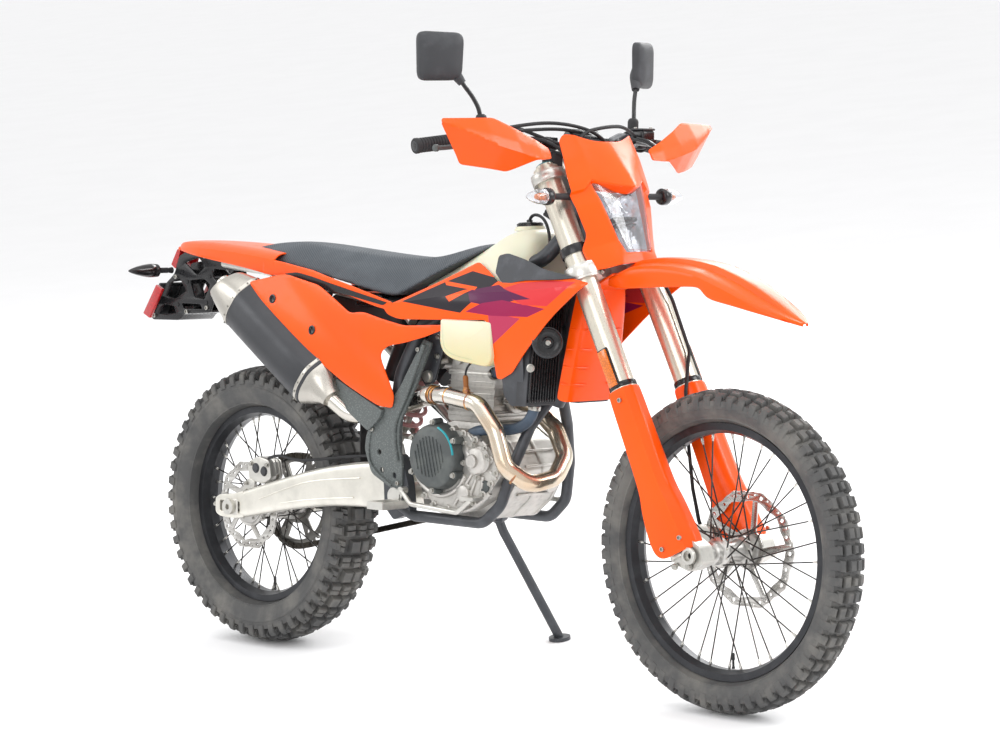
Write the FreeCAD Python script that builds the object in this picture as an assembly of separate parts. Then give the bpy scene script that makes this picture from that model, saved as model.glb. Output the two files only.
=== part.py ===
import FreeCAD, Part
import math
import os
from functools import cache

V = FreeCAD.Vector

# Trail motorcycle. X points forward, Y to the left, Z up, in millimetres.
# Every piece is drawn upright over mid wheelbase, then leaned on the side stand.

# stance
wheelbase = 1487.0
lean_deg = 9.0
rake_deg = 27.0
fork_offset = 22.3
front_axle_z = 350.0
rear_axle_z = 340.0
steering_foot_x = 679.0

# fits
running_gap = 0.05
seat_gap = 0.3
plain_gap = 1.0

# front wheel
front_tyre_r = 350.0
front_tyre_half = 46.0
front_bead_r = 266.0
front_rim_half = 25.0
front_axle_r = 10.0
front_hub_half = 76.0
front_disc_r = 130.0
front_disc_y = 60.0
front_carrier_r = 36.0

# rear wheel
rear_tyre_r = 340.0
rear_tyre_half = 68.0
rear_bead_r = 229.0
rear_rim_half = 31.0
rear_axle_r = 12.5
rear_hub_half = 79.0
rear_disc_r = 110.0
rear_disc_y = 68.0
rear_carrier_r = 44.0

# tread lugs, each (inner, outer) from the middle of the tyre, then length
front_rows = 32
front_lug_high = 9.0
front_middle_lug = (-15.0, 15.0, 22.0)
front_side_lug = (19.0, 37.0, 21.0)
rear_rows = 26
rear_lug_high = 12.0
rear_middle_lug = (-21.0, 21.0, 27.0)
rear_side_lug = (27.0, 56.0, 27.0)

# both wheels
rim_depth = 12.0
rim_flange = 11.0
rim_wall = 4.0
disc_thick = 4.0
spoke_count = 36
spoke_r = 2.0

# chain drive
chain_pitch = 15.875
chain_y = 88.0
rear_teeth = 45
front_teeth = 14
sprocket_thick = 6.0
tooth_height = 4.5
link_half = 7.0
plate_thick = 2.2
roller_r = 4.4
links_per_bar = 3
rear_wrap_steps = 14
front_wrap_steps = 6
countershaft = (-85.0, 412.0)

# swingarm
pivot = (-172.0, 408.0)
pivot_r = 15.0
arm_out = 128.0
arm_in = 102.0

# fork
leg_y = 105.0
outer_tube_r = 28.0
inner_tube_r = 24.0
outer_tube_low = 366.0
fork_top = 903.0
lower_clamp_s = 629.0
lower_clamp_thick = 34.0
upper_clamp_s = 868.0
upper_clamp_thick = 24.0
clamp_ring_r = 38.0
stem_r = 15.0
head_tube_r = 27.0

# frame
spar_r = 17.0
down_tube_r = 20.0
cradle_r = 13.0
cradle_y = 110.0
plate_in = 98.0
plate_out = 120.0
subframe_r = 11.0
bend_r = 60.0

# handlebar
bar_r = 11.0
grip_r = 16.5
grip_in = 285.0
bar_end = 405.0
bar_centre = (265.0, 1190.0)
bar_rise = 46.0
mirror_centre = (180.0, 326.0, 1408.0)
mirror_yaw_deg = 24.0

# bodywork
panel_thick = 3.0
lamp_high = 820.0
lamp_low = 664.0
lamp_peak = 784.0
lamp_top_half = 62.0
lamp_foot_half = 30.0
blinker_f = 99.0
blinker_s = 811.0

# exhaust
header_r = 20.0
silencer_half_h = 66.0
silencer_half_w = 40.0

# stand
stand_pivot = (-96.0, 147.0, 352.0)
stand_r = 11.0
stand_tilt_deg = 19.5
stand_pin_r = 8.0
stand_foot = (-40.0, 300.0)
foot_r = 26.0
foot_thick = 8.0
sole_sink = 0.7


def unit(v):
    return v * (1.0 / v.Length)


def rounded_path(points, bend):
    pts = [V(*p) for p in points]
    edges = []
    here = pts[0]
    for i in range(1, len(pts) - 1):
        back = unit(pts[i - 1] - pts[i])
        on = unit(pts[i + 1] - pts[i])
        half = back.getAngle(on) / 2.0
        if half > math.radians(89.6):
            continue
        room = 0.48 * min((pts[i - 1] - pts[i]).Length, (pts[i + 1] - pts[i]).Length)
        cut = min(bend / math.tan(half), room)
        r = cut * math.tan(half)
        middle = unit(back + on)
        start = pts[i] + back * cut
        end = pts[i] + on * cut
        mid = pts[i] + middle * (r / math.sin(half) - r)
        if (start - here).Length > 0.01:
            edges.append(Part.makeLine(here, start))
        edges.append(Part.Arc(start, mid, end).toShape())
        here = end
    edges.append(Part.makeLine(here, pts[-1]))
    return Part.Wire(edges)


def rounded_loop(points, bend):
    pts = [V(*p) for p in points]
    count = len(pts)
    edges = []
    corners = []
    for i in range(count):
        before = pts[i - 1]
        after = pts[(i + 1) % count]
        back = unit(before - pts[i])
        on = unit(after - pts[i])
        half = back.getAngle(on) / 2.0
        if bend <= 0.01 or half > math.radians(89.6):
            corners.append((pts[i], None, pts[i]))
            continue
        room = 0.48 * min((before - pts[i]).Length, (after - pts[i]).Length)
        cut = min(bend / math.tan(half), room)
        r = cut * math.tan(half)
        mid = pts[i] + unit(back + on) * (r / math.sin(half) - r)
        corners.append((pts[i] + back * cut, mid, pts[i] + on * cut))
    for i in range(count):
        start, mid, end = corners[i]
        if mid is not None:
            edges.append(Part.Arc(start, mid, end).toShape())
        nxt = corners[(i + 1) % count][0]
        if (nxt - end).Length > 0.01:
            edges.append(Part.makeLine(end, nxt))
    return Part.Wire(edges)


def tube(points, r, bend=bend_r):
    path = rounded_path(points, bend)
    first = V(*points[0])
    way = V(*points[1]) - first
    ring = Part.Wire([Part.makeCircle(r, first, way)])
    return path.makePipeShell([ring], True, False)


def rod(p, q, r):
    a = V(*p)
    b = V(*q)
    return Part.makeCylinder(r, (b - a).Length, a, b - a)


def side_plate(outline, y0, y1, bend=6.0):
    loop = rounded_loop([(x, y0, z) for x, z in outline], bend)
    return Part.Face(loop).extrude(V(0, y1 - y0, 0))


def plan_plate(outline, z0, z1, bend=6.0):
    loop = rounded_loop([(x, y, z0) for x, y in outline], bend)
    return Part.Face(loop).extrude(V(0, 0, z1 - z0))


def front_plate(outline, x0, x1, bend=6.0):
    loop = rounded_loop([(x0, y, z) for y, z in outline], bend)
    return Part.Face(loop).extrude(V(x1 - x0, 0, 0))


def mirrored(shape):
    return shape.mirror(V(0, 0, 0), V(0, 1, 0))


def pair(shape):
    return [shape, mirrored(shape)]


def fused(shapes):
    whole = shapes[0]
    if len(shapes) > 1:
        whole = whole.fuse(shapes[1:])
    return whole.removeSplitter()


def largest(shape):
    return max(shape.Solids, key=lambda solid: solid.Volume)


def less(shape, cutters):
    for cutter in cutters:
        shape = shape.cut(cutter)
    return shape


def turned(profile, x, z):
    loop = rounded_loop([(x + r, y, z) for r, y in profile], 0.0)
    return Part.Face(loop).revolve(V(x, 0, z), V(0, 1, 0), 360)


def across(x, z, r, y0, y1):
    return Part.makeCylinder(r, y1 - y0, V(x, y0, z), V(0, 1, 0))


# the steering axis, with f forward of it and s up along it
rake = math.radians(rake_deg)
fork_f = V(math.cos(rake), 0, math.sin(rake))
fork_s = V(-math.sin(rake), 0, math.cos(rake))
fork_o = V(steering_foot_x, 0, front_axle_z)


def fork(f, y, s):
    p = fork_o + fork_f * f + fork_s * s
    return (p.x, y, p.z)


def along_fork(f, y, s0, s1, r):
    return rod(fork(f, y, s0), fork(f, y, s1), r)


front_axle = (wheelbase / 2.0, front_axle_z)
rear_axle = (-wheelbase / 2.0, rear_axle_z)


# wheels

def tyre_profile(r, half, bead_r, rim_half, lug_high):
    # half of the section as (sideways, radius), from the bead to beside the middle lugs
    seat_half = rim_half - rim_wall - seat_gap
    shoulder = half * 0.86
    drop = half * 0.28
    crown_r = (shoulder ** 2 + drop ** 2) / (2 * drop)
    inner = half * 0.36
    crown = r - crown_r + math.sqrt(crown_r ** 2 - inner ** 2)
    return [(seat_half, bead_r), (seat_half, bead_r + rim_flange + 2), (half, bead_r + (r - bead_r) * 0.5),
            (shoulder, r - drop - lug_high * 0.8), (inner, crown - lug_high)]


def lug_faces(corners, wide, length, lug_high, out):
    # the strip of tread between four corners, with one lug standing on it
    a, b, c, d = corners
    middle = (a + b + c + d) * 0.25
    along = unit((b + c) - (a + d))
    sideways = unit((c + d) - (a + b))
    up = unit(along.cross(sideways))
    if up.dot(out) < 0:
        up = up * -1.0
    foot = []
    top = []
    for i, j in ((-1, -1), (1, -1), (1, 1), (-1, 1)):
        foot.append(middle + along * (i * length / 2) + sideways * (j * wide / 2))
        top.append(middle + along * (i * (length / 2 - 1)) + sideways * (j * (wide / 2 - 1)) + up * lug_high)
    outer = Part.makePolygon([a, b, c, d, a])
    hole = Part.makePolygon(foot + foot[:1])
    faces = [Part.Face([outer, hole]), Part.Face(Part.makePolygon(top + top[:1]))]
    for i in range(4):
        j = (i + 1) % 4
        faces.append(Part.Face(Part.makePolygon([foot[i], foot[j], top[j], top[i], foot[i]])))
    return faces


def tyre(axle, r, half, bead_r, rim_half, rows, lug_high, middle_lug, side_lug):
    x, z = axle
    side = tyre_profile(r, half, bead_r, rim_half, lug_high)
    profile = [(-y, reach) for y, reach in side] + [(y, reach) for y, reach in reversed(side)]
    steps = rows * 2
    turn = 2 * math.pi / steps
    spread = 1.0 / math.cos(turn / 2)

    def at(k, j):
        y, reach = profile[j]
        a = (k - 0.5) * turn
        return V(x + reach * spread * math.cos(a), y, z + reach * spread * math.sin(a))

    count = len(profile)
    middle = count // 2 - 1
    faces = []
    for k in range(steps):
        for j in range(count):
            n = (j + 1) % count
            corners = [at(k, j), at(k + 1, j), at(k + 1, n), at(k, n)]
            out = V(math.cos(k * turn), 0, math.sin(k * turn))
            if k % 2 == 0 and j == middle:
                inner, outer, length = middle_lug
                high = r - 0.3 - profile[middle][1]
                faces += lug_faces(corners, outer - inner, length, high, out)
            elif k % 2 == 1 and j in (middle - 1, middle + 1):
                inner, outer, length = side_lug
                faces += lug_faces(corners, outer - inner, length, lug_high, out)
            else:
                faces.append(Part.Face(Part.makePolygon(corners + corners[:1])))
    shell = Part.makeShell(faces)
    shell.sewShape()
    solid = Part.makeSolid(shell)
    if solid.Volume < 0:
        solid.reverse()
    return solid


def rim(axle, bead_r, rim_half):
    x, z = axle
    lip = bead_r + rim_flange
    inner = bead_r - rim_depth
    seat_half = rim_half - rim_wall
    profile = [
        (inner, -seat_half * 0.45), (bead_r - 4, -rim_half), (lip, -rim_half), (lip, -seat_half),
        (bead_r - seat_gap, -seat_half), (bead_r - seat_gap, seat_half), (lip, seat_half),
        (lip, rim_half), (bead_r - 4, rim_half), (inner, seat_half * 0.45),
    ]
    return turned(profile, x, z)


def spoke_set(axle, flange_r, flange_y, rim_r):
    x, z = axle
    rods = []
    each = spoke_count // 2
    for side in (-1, 1):
        for i in range(each):
            a = math.radians(360.0 * i / each + (10.0 if side > 0 else 0.0))
            swing = math.radians(48.0 if i % 2 else -48.0)
            lean_in = 3.0 if i % 2 else 0.0
            root = (x + flange_r * math.cos(a), side * (flange_y - lean_in), z + flange_r * math.sin(a))
            b = a + swing
            tip = (x + rim_r * math.cos(b), side * 6.0, z + rim_r * math.sin(b))
            rods.append(rod(root, tip, spoke_r))
    return rods


def hub(axle, half, axle_r, barrel_r, flange_r, flange_y, rim_r):
    x, z = axle
    body = across(x, z, barrel_r, -half, half)
    flanges = [across(x, z, flange_r, y - 3, y + 3) for y in (-flange_y, flange_y)]
    waist = across(x, z, barrel_r * 1.35, -flange_y, flange_y)
    solid = fused([body, waist] + flanges + spoke_set(axle, flange_r - 4, flange_y, rim_r))
    return solid.cut(across(x, z, axle_r + running_gap, -half - 1, half + 1))


def brake_disc(axle, r, y, hub_r):
    x, z = axle
    waves = 10
    disc = across(x, z, r - 5, y, y + disc_thick)
    lobes = []
    for i in range(waves):
        a = 2 * math.pi * i / waves
        lobes.append(across(x + (r - 17) * math.cos(a), z + (r - 17) * math.sin(a), 17, y, y + disc_thick))
    disc = fused([disc] + lobes)
    cuts = [across(x, z, hub_r, y - 1, y + disc_thick + 1)]
    for i in range(waves):
        a = 2 * math.pi * (i + 0.5) / waves
        mid_r = (hub_r + r) * 0.44
        cuts.append(across(x + mid_r * math.cos(a), z + mid_r * math.sin(a), 11, y - 1, y + disc_thick + 1))
    return disc.cut(cuts)


def sprocket_blank(centre, teeth, y):
    x, z = centre
    pitch_r = chain_pitch / (2 * math.sin(math.pi / teeth))
    points = []
    for i in range(teeth):
        a = 2 * math.pi * i / teeth
        step = 2 * math.pi / teeth
        for share, r in ((-0.30, pitch_r - roller_r - seat_gap), (-0.10, pitch_r + tooth_height),
                         (0.10, pitch_r + tooth_height), (0.30, pitch_r - roller_r - seat_gap)):
            t = a + share * step
            points.append((x + r * math.cos(t), y, z + r * math.sin(t)))
    loop = rounded_loop(points, 0.0)
    return Part.Face(loop).extrude(V(0, sprocket_thick, 0))


def rear_sprocket():
    x, z = rear_axle
    y = chain_y - sprocket_thick / 2
    wheel = sprocket_blank(rear_axle, rear_teeth, y)
    cuts = [across(x, z, rear_carrier_r, y - 1, y + sprocket_thick + 1)]
    for i in range(6):
        a = 2 * math.pi * i / 6
        cuts.append(across(x + 76 * math.cos(a), z + 76 * math.sin(a), 21, y - 1, y + sprocket_thick + 1))
    return wheel.cut(cuts)


def front_hub_node():
    x, z = front_axle
    core = hub(front_axle, front_hub_half, front_axle_r, 20.0, 33.0, 34.0, front_bead_r - rim_depth - 0.7)
    carrier = across(x, z, front_carrier_r, front_disc_y - 6, front_disc_y + disc_thick)
    carrier = carrier.cut(across(x, z, front_axle_r + running_gap, -200, 200))
    return fused([core, carrier])


def rear_hub_node():
    x, z = rear_axle
    core = hub(rear_axle, rear_hub_half, rear_axle_r, 27.0, 42.0, 38.0, rear_bead_r - rim_depth - 0.7)
    carrier = across(x, z, rear_carrier_r, 60, chain_y + sprocket_thick / 2)
    brake_side = across(x, z, rear_carrier_r, -rear_disc_y - disc_thick, -rear_disc_y + 6)
    bore = across(x, z, rear_axle_r + running_gap, -200, 200)
    ends = across(x, z, 27.0, rear_hub_half - 2, chain_y + 6)
    return fused([core, carrier.cut(bore), brake_side.cut(bore), ends.cut(bore)])


# steering body

def clamp(s, thick, front):
    outline = [(-24, -52), (-8, -112), (front, -112), (front - 8, -58), (34, -26),
               (34, 26), (front - 8, 58), (front, 112), (-8, 112), (-24, 52)]
    loop = rounded_loop([fork(f, y, s) for f, y in outline], 12.0)
    web = Part.Face(loop).extrude(fork_s * thick)
    rings = [along_fork(fork_offset, y, s, s + thick, clamp_ring_r) for y in (-leg_y, leg_y)]
    boss = along_fork(0, 0, s, s + thick, 32.0)
    keep = along_fork(fork_offset, 0, s, s + thick, 400.0)
    body = fused([web, boss] + rings).common(keep)
    holes = [along_fork(fork_offset, y, s - 1, s + thick + 1, outer_tube_r) for y in (-leg_y, leg_y)]
    return body.cut(holes)


def triple_clamps():
    low = clamp(lower_clamp_s, lower_clamp_thick, 52.0)
    high = clamp(upper_clamp_s, upper_clamp_thick, 50.0)
    stem = along_fork(0, 0, lower_clamp_s, upper_clamp_s + upper_clamp_thick + 10, stem_r)
    risers = []
    for y in (-45, 45):
        risers.append(along_fork(12.5, y, upper_clamp_s + upper_clamp_thick - 1, bar_s - 4, 14.0))
        block = rod(fork(12.5, y - 16, bar_s), fork(12.5, y + 16, bar_s), 20.0)
        risers.append(block)
    whole = fused([low, high, stem] + risers)
    return whole.cut(handlebar_solid())


bar_s = (V(bar_centre[0], 0, bar_centre[1]) - fork_o).dot(fork_s)


def bar_points():
    x, z = bar_centre
    right = [(x - 81, bar_end, z + 22), (x - 22, 190, z + bar_rise + 4), (x - 4, 128, z + 34), (x, 78, z)]
    return [(a, -b, c) for a, b, c in right] + [(a, b, c) for a, b, c in reversed(right)]


@cache
def handlebar_solid():
    return tube(bar_points(), bar_r, 55.0)


def on_bar(y):
    x, z = bar_centre
    outer = V(x - 81, bar_end, z + 22)
    inner = V(x - 22, 190, z + bar_rise + 4)
    share = (abs(y) - 190.0) / (bar_end - 190.0)
    p = inner + (outer - inner) * share
    return (p.x, math.copysign(p.y, y), p.z)


def bar_sleeve(y0, y1, r):
    ring = rod(on_bar(y0), on_bar(y1), r)
    return ring.cut(rod(on_bar(y0 - 5), on_bar(y1 + 5), bar_r))


def grips():
    return pair(bar_sleeve(grip_in, bar_end, grip_r))


def fork_uppers():
    leg = along_fork(fork_offset, leg_y, outer_tube_low, fork_top, outer_tube_r)
    cap = along_fork(fork_offset, leg_y, fork_top, fork_top + 8, 20.0)
    lip = along_fork(fork_offset, leg_y, outer_tube_low, outer_tube_low + 16, outer_tube_r + 2)
    return pair(fused([leg, cap, lip]))


@cache
def fork_lowers():
    leg = along_fork(fork_offset, leg_y, 30.0, outer_tube_low - seat_gap, inner_tube_r)
    boot = along_fork(fork_offset, leg_y, -20.0, 92.0, 28.0)
    outline = [(0, 92), (-8, 20), (8, -30), (36, -58), (80, -58), (86, -20), (62, 14), (50, 92)]
    loop = rounded_loop([fork(f, leg_y - 23, s) for f, s in outline], 10.0)
    lug = Part.Face(loop).extrude(V(0, 40, 0))
    whole = fused([leg, boot, lug])
    whole = whole.cut([across(front_axle[0], front_axle[1], front_axle_r, 0, 200),
                       across(front_axle[0], front_axle[1], 18.0, 0, leg_y - 23),
                       across(front_axle[0], front_axle[1], 18.5, leg_y + 17, 200)])
    return pair(whole)


@cache
def fork_guards():
    outer = along_fork(fork_offset, leg_y, 8.0, outer_tube_low - 6, 34.0)
    inner = along_fork(fork_offset, leg_y, 0.0, outer_tube_low + 6, 30.8)
    shell = outer.cut(inner)
    outline = [(-4, 8), (8, 366), (70, 366), (70, 8)]
    loop = rounded_loop([fork(f, leg_y - 60, s) for f, s in outline], 2.0)
    front_half = Part.Face(loop).extrude(V(0, 120, 0))
    whole = shell.common(front_half).cut(fork_lowers()[0])
    foot = along_fork(fork_offset, leg_y, 30.0, 60.0, 31.5)
    foot = foot.common(front_half).cut(fork_lowers()[0])
    return pair(fused([whole, foot]))


def front_axle_node():
    x, z = front_axle
    shaft = across(x, z, front_axle_r, -leg_y - 22, leg_y + 22)
    head = across(x, z, 17.0, leg_y + 17.3, leg_y + 26)
    spacer_l = across(x, z, 18.0, front_hub_half + seat_gap, leg_y - 23)
    spacer_r = across(x, z, 18.0, -(leg_y - 23), -(front_hub_half + seat_gap))
    shaft = fused([shaft, head, spacer_l, spacer_r])
    return shaft.cut(across(x, z, 6.0, -leg_y - 30, leg_y + 30))


def front_caliper():
    x, z = fork(-44.0, 0, 26.0)[0], fork(-44.0, 0, 26.0)[2]
    outline = [(-40, -34), (-44, 20), (-22, 44), (20, 40), (34, 0), (20, -36)]
    body = side_plate([(x + a, z + b) for a, b in outline], 47, 86, 9.0)
    slot = across(front_axle[0], front_axle[1], front_disc_r + 4, front_disc_y - 2, front_disc_y + disc_thick + 2)
    body = body.cut(slot)
    arm = side_plate([(x + 5, z - 20), (x + 5, z + 20), (x + 60, z + 30), (x + 60, z - 14)], 70, 84, 5.0)
    whole = fused([body, arm])
    return whole.cut([fork_lowers()[0], fork_guards()[0]])


def ridge_section(x, half, thick):
    # a closed section of a panel across the motorcycle, from half of its outline
    shrink = 1.0 - thick / max(y for y, z in half)
    inner = [(y * shrink, z - thick) for y, z in half[:-1]] + [(half[-1][0] * shrink, half[-1][1])]
    ring = [(-y, z) for y, z in reversed(half)] + half[1:]
    ring = ring + list(reversed(inner)) + [(-y, z) for y, z in inner[1:]]
    return Part.makePolygon([V(x, y, z) for y, z in ring + ring[:1]])


# along, crest height, half width, edge height, skirt height
front_fender_rows = [
    (440, 934, 58, 926, 912), (505, 969, 65, 950, 908), (560, 974, 67, 955, 912), (623, 974, 69, 955, 916),
    (690, 967, 72, 947, 915), (722, 960, 75, 938, 912), (735, 956, 76, 933, 895), (760, 948, 76, 925, 889),
    (800, 933, 73, 909, 882), (840, 913, 66, 890, 872), (880, 889, 54, 874, 860), (912, 868, 38, 859, 849),
    (934, 853, 20, 849, 842), (944, 846, 8, 844, 838),
]


def front_fender():
    sections = []
    for x, high, wide, edge, skirt in front_fender_rows:
        half = [(0, high), (wide * 0.46, high - 2), (wide, edge), (wide * 0.97, skirt)]
        sections.append(ridge_section(x, half, panel_thick))
    top = Part.makeLoft(sections, True, True)
    s0 = lower_clamp_s - seat_gap
    pad_loop = rounded_loop([fork(f, y, s0) for f, y in ((-24, -60), (66, -60), (66, 60), (-24, 60))], 8.0)
    pad = Part.Face(pad_loop).extrude(fork_s * -5.0)
    corners = [V(386, -64, 906), V(340, -82, 650), V(340, 82, 650), V(386, 64, 906)]
    flap = Part.Face(Part.makePolygon(corners + corners[:1])).extrude(V(panel_thick, 0, 0))
    ribs = [rod((387, y * 0.82, 900), (346, y, 690), 3.0) for y in (-48, -16, 16, 48)]
    legs = [along_fork(fork_offset, y, 300, 640, outer_tube_r + seat_gap) for y in (-leg_y, leg_y)]
    room = rounded_loop([fork(f, y, s0) for f, y in ((-90, -100), (100, -100), (100, 100), (-90, 100))], 2.0)
    above = Part.Face(room).extrude(fork_s * 60.0)
    above = above.common(plan_plate([(300, -120), (462, -120), (462, 120), (300, 120)], 850, 1050, 1.0))
    return less(fused([top, pad, flap] + ribs), legs + [above])


# height along the fork, middle, crease half width and reach, edge half width and reach
mask_rows = [
    (636, 112, 58, 100, 105, 64), (690, 126, 48, 106, 115, 68), (722, 138, 54, 112, 109, 88),
    (780, 160, 64, 120, 122, 98), (830, 152, 70, 123, 125, 100), (890, 138, 79, 122, 118, 107),
    (950, 122, 86, 117, 110, 112),
]
mask_outline = [(0, 915), (-42, 920), (-76, 934), (-108, 946), (-118, 934), (-128, 840), (-128, 798), (-112, 742),
                (-108, 716), (-119, 690), (-109, 644), (-82, 641), (-56, 655), (-34, 661)]


def mask_section(s, middle, crease_y, crease, edge_y, edge):
    t = panel_thick
    half = [(0, middle), (crease_y, crease), (edge_y, edge)]
    inner = [(edge_y - t, edge), (crease_y - t * 0.4, crease - t), (0, middle - t)]
    ring = [(-y, f) for y, f in reversed(half)] + half[1:]
    ring = ring + inner + [(-y, f) for y, f in reversed(inner[:-1])]
    return Part.makePolygon([V(*fork(f, y, s)) for y, f in ring + ring[:1]])


def mask_fill(s, middle, crease_y, crease, edge_y, edge):
    ring = [(-edge_y, edge), (-crease_y, crease), (0, middle), (crease_y, crease), (edge_y, edge), (-edge_y, edge)]
    return Part.makePolygon([V(*fork(f, y, s)) for y, f in ring])


def facing_plate(outline, f0, f1, bend):
    # a plate across the fork, from its outline as (sideways, along the fork)
    loop = rounded_loop([fork(f0, y, s) for y, s in outline], bend)
    return Part.Face(loop).extrude(fork_f * (f1 - f0))


def lamp_block(f0, f1, grow, bend):
    high, low, peak = lamp_high + grow, lamp_low - grow, lamp_peak + grow
    outline = [(-lamp_top_half - grow, high), (-lamp_foot_half - grow, low), (lamp_foot_half + grow, low),
               (lamp_top_half + grow, high), (0, peak)]
    return facing_plate(outline, f0, f1, bend)


@cache
def headlamp_mask():
    shell = Part.makeLoft([mask_section(*row) for row in mask_rows], True, True)
    filled = Part.makeLoft([mask_fill(*row) for row in mask_rows], True, True)
    outline = mask_outline + [(-y, s) for y, s in reversed(mask_outline[1:])]
    shell = shell.common(facing_plate(outline, 20, 220, 8.0))
    opening = lamp_block(60, 220, 3.0, 8.0)
    collar_wall = lamp_block(92, 200, 5.5, 9.0).cut(opening).common(filled)
    collar = along_fork(fork_offset, leg_y, 690, 712, outer_tube_r + 4)
    collar = collar.cut(along_fork(fork_offset, leg_y, 680, 720, outer_tube_r))
    band = rod(fork(fork_offset + 29.0, leg_y - 2, 701), fork(89, leg_y - 2, 701), 6.0)
    band = band.cut(along_fork(fork_offset, leg_y, 680, 720, outer_tube_r))
    return fused([shell.cut(opening), collar_wall] + pair(fused([collar, band])))


def headlamp():
    lens = lamp_block(76, 124, 0.0, 7.0)
    rim_ring = lamp_block(96, 114, 3.0, 8.0)
    return fused([lens, rim_ring])


# sideways, reach forward, lower edge, crease and upper edge heights
guard_rows = [(165, 359, 1193, 1198, 1204), (190, 363, 1185, 1204, 1216), (280, 357, 1163, 1225, 1257),
              (318, 349, 1167, 1234, 1274), (402, 320, 1178, 1255, 1273), (437, 303, 1250, 1262, 1269)]


def guard_section(y, x, low, crease, high):
    back = (high - crease) * 0.72
    t = panel_thick
    ring = [(x - 2, low), (x, crease), (x - back, high), (x - back - t, high - t * 0.4), (x - t, crease),
            (x - 2 - t, low)]
    return Part.makePolygon([V(a, y, b) for a, b in ring + ring[:1]])


def handguard(side):
    guard = Part.makeLoft([guard_section(*row) for row in guard_rows], True, True)
    arm = tube([on_bar(206), (300, 206, on_bar(206)[2]), (347, 205, 1209), (361.5, 212, 1205)], 6.0, 18.0)
    grip = bar_sleeve(201, 212, 18.0)
    whole = fused([guard, arm.cut(handlebar_solid()), grip])
    return whole if side > 0 else mirrored(whole)


def mirror_piece():
    base = on_bar(262)
    x, y, z = mirror_centre
    turn = math.radians(mirror_yaw_deg)
    neck = (x + 44 * math.sin(turn) + 2, y - 44 * math.cos(turn), z - 42)
    stem = tube([base, (base[0] + 4, 262, 1285), (neck[0] + 6, neck[1] - 6, neck[2] - 28), neck], 5.0, 30.0)
    view = [(-50, -40), (-54, 40), (-44, 52), (44, 54), (54, 44), (52, -44), (42, -54), (-36, -52)]
    head = front_plate([(y + a, z + b) for a, b in view], x - 6, x + 8, 14.0)
    back = Part.makeLoft([
        rounded_loop([(x + 8, y + a, z + b) for a, b in view], 14.0),
        rounded_loop([(x + 20, y + a * 0.6, z + b * 0.6) for a, b in view], 9.0),
    ], True, True)
    head = fused([head, back])
    head.rotate(V(x, y, z), V(0, 0, 1), mirror_yaw_deg)
    ring = bar_sleeve(254, 270, 17.0)
    return fused([stem.cut(rod(on_bar(240), on_bar(282), bar_r)), head, ring])


def control_piece(side):
    ring = bar_sleeve(214, 244, 17.5)
    x, y, z = on_bar(228)
    tank = plan_plate([(x + 14, 220), (x + 14, 260), (x + 50, 260), (x + 50, 220)], z - 14, z + 26, 7.0)
    a = on_bar(232)
    b = on_bar(390)
    lever_path = [(x + 34, 246, z - 6), (a[0] + 58, 262, a[2] - 4), (b[0] + 60, 380, b[2] - 6),
                  (b[0] + 54, 398, b[2] - 6)]
    lever = tube(lever_path, 5.5, 14.0)
    inside = rod(on_bar(190), on_bar(260), bar_r)
    whole = fused([ring, tank.cut(inside), lever])
    return whole if side > 0 else mirrored(whole)


def front_indicator():
    x, y, z = fork(blinker_f, 0, blinker_s)
    stem = rod((x, 112, z), (x, 196, z), 7.0)
    body = Part.makeCone(13.0, 19.0, 30.0, V(x, 192, z), V(0, 1, 0))
    lens = Part.makeCylinder(19.0, 30.0, V(x, 222, z), V(0, 1, 0))
    ball = Part.makeCone(19.0, 10.0, 10.0, V(x, 252, z), V(0, 1, 0))
    return largest(fused([stem, body, lens, ball]).cut(headlamp_mask()))


def brake_hose():
    x, y, z = on_bar(-228)
    return tube([(x + 34, -219.6, z + 19), (x + 34, -160, z + 17), fork(60, -90, 950), fork(84, 0, 910),
                 fork(84, 66, 860), fork(70, 84, 720), fork(67, 86, 640), fork(62, 106, 560), fork(60, 104, 440),
                 fork(40, 67, 350), fork(0, 66, 250), fork(-34, 66, 150), fork(-44, 66, 100)], 4.0, 24.0)


# chassis body

@cache
def frame_tubes(grow=0.0):
    head = along_fork(0, 0, lower_clamp_s + lower_clamp_thick + plain_gap, upper_clamp_s - plain_gap,
                      head_tube_r + grow)
    down = tube([fork(-10, 0, 745), (238, 0, 660), (226, 0, 640)], down_tube_r + grow, 60.0)
    spar = tube([fork(-4, 14, 800), (250, 62, 968), (40, 92, 884), (-110, 96, 800), (-176, 96, 690),
                 (-188, 106, 560), (-186, 106, 470)], spar_r + grow, 70.0)
    cradle = tube([(236, 8, 668), (206, 60, 590), (184, 92, 500), (160, 106, 410), (108, cradle_y, 366),
                   (-120, cradle_y, 366), (-176, cradle_y, 392)], cradle_r + grow, 50.0)
    brace = tube([(262, 0, 780), (170, 76, 924)], 12.0 + grow, 10.0)
    plate = side_plate([(-214, 500), (-150, 506), (-128, 440), (-120, 372), (-176, 352), (-206, 380)],
                       plate_in - grow, plate_out + grow, 12.0)
    tower = rod((-150, -100, 790), (-150, 100, 790), 13.0 + grow)
    return [head, down, spar, mirrored(spar), cradle, mirrored(cradle), brace, mirrored(brace),
            plate, mirrored(plate), tower]


def main_frame():
    whole = fused(frame_tubes())
    bore = along_fork(0, 0, 600, 920, stem_r + running_gap)
    return whole.cut([pivot_axle(), bore])


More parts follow.
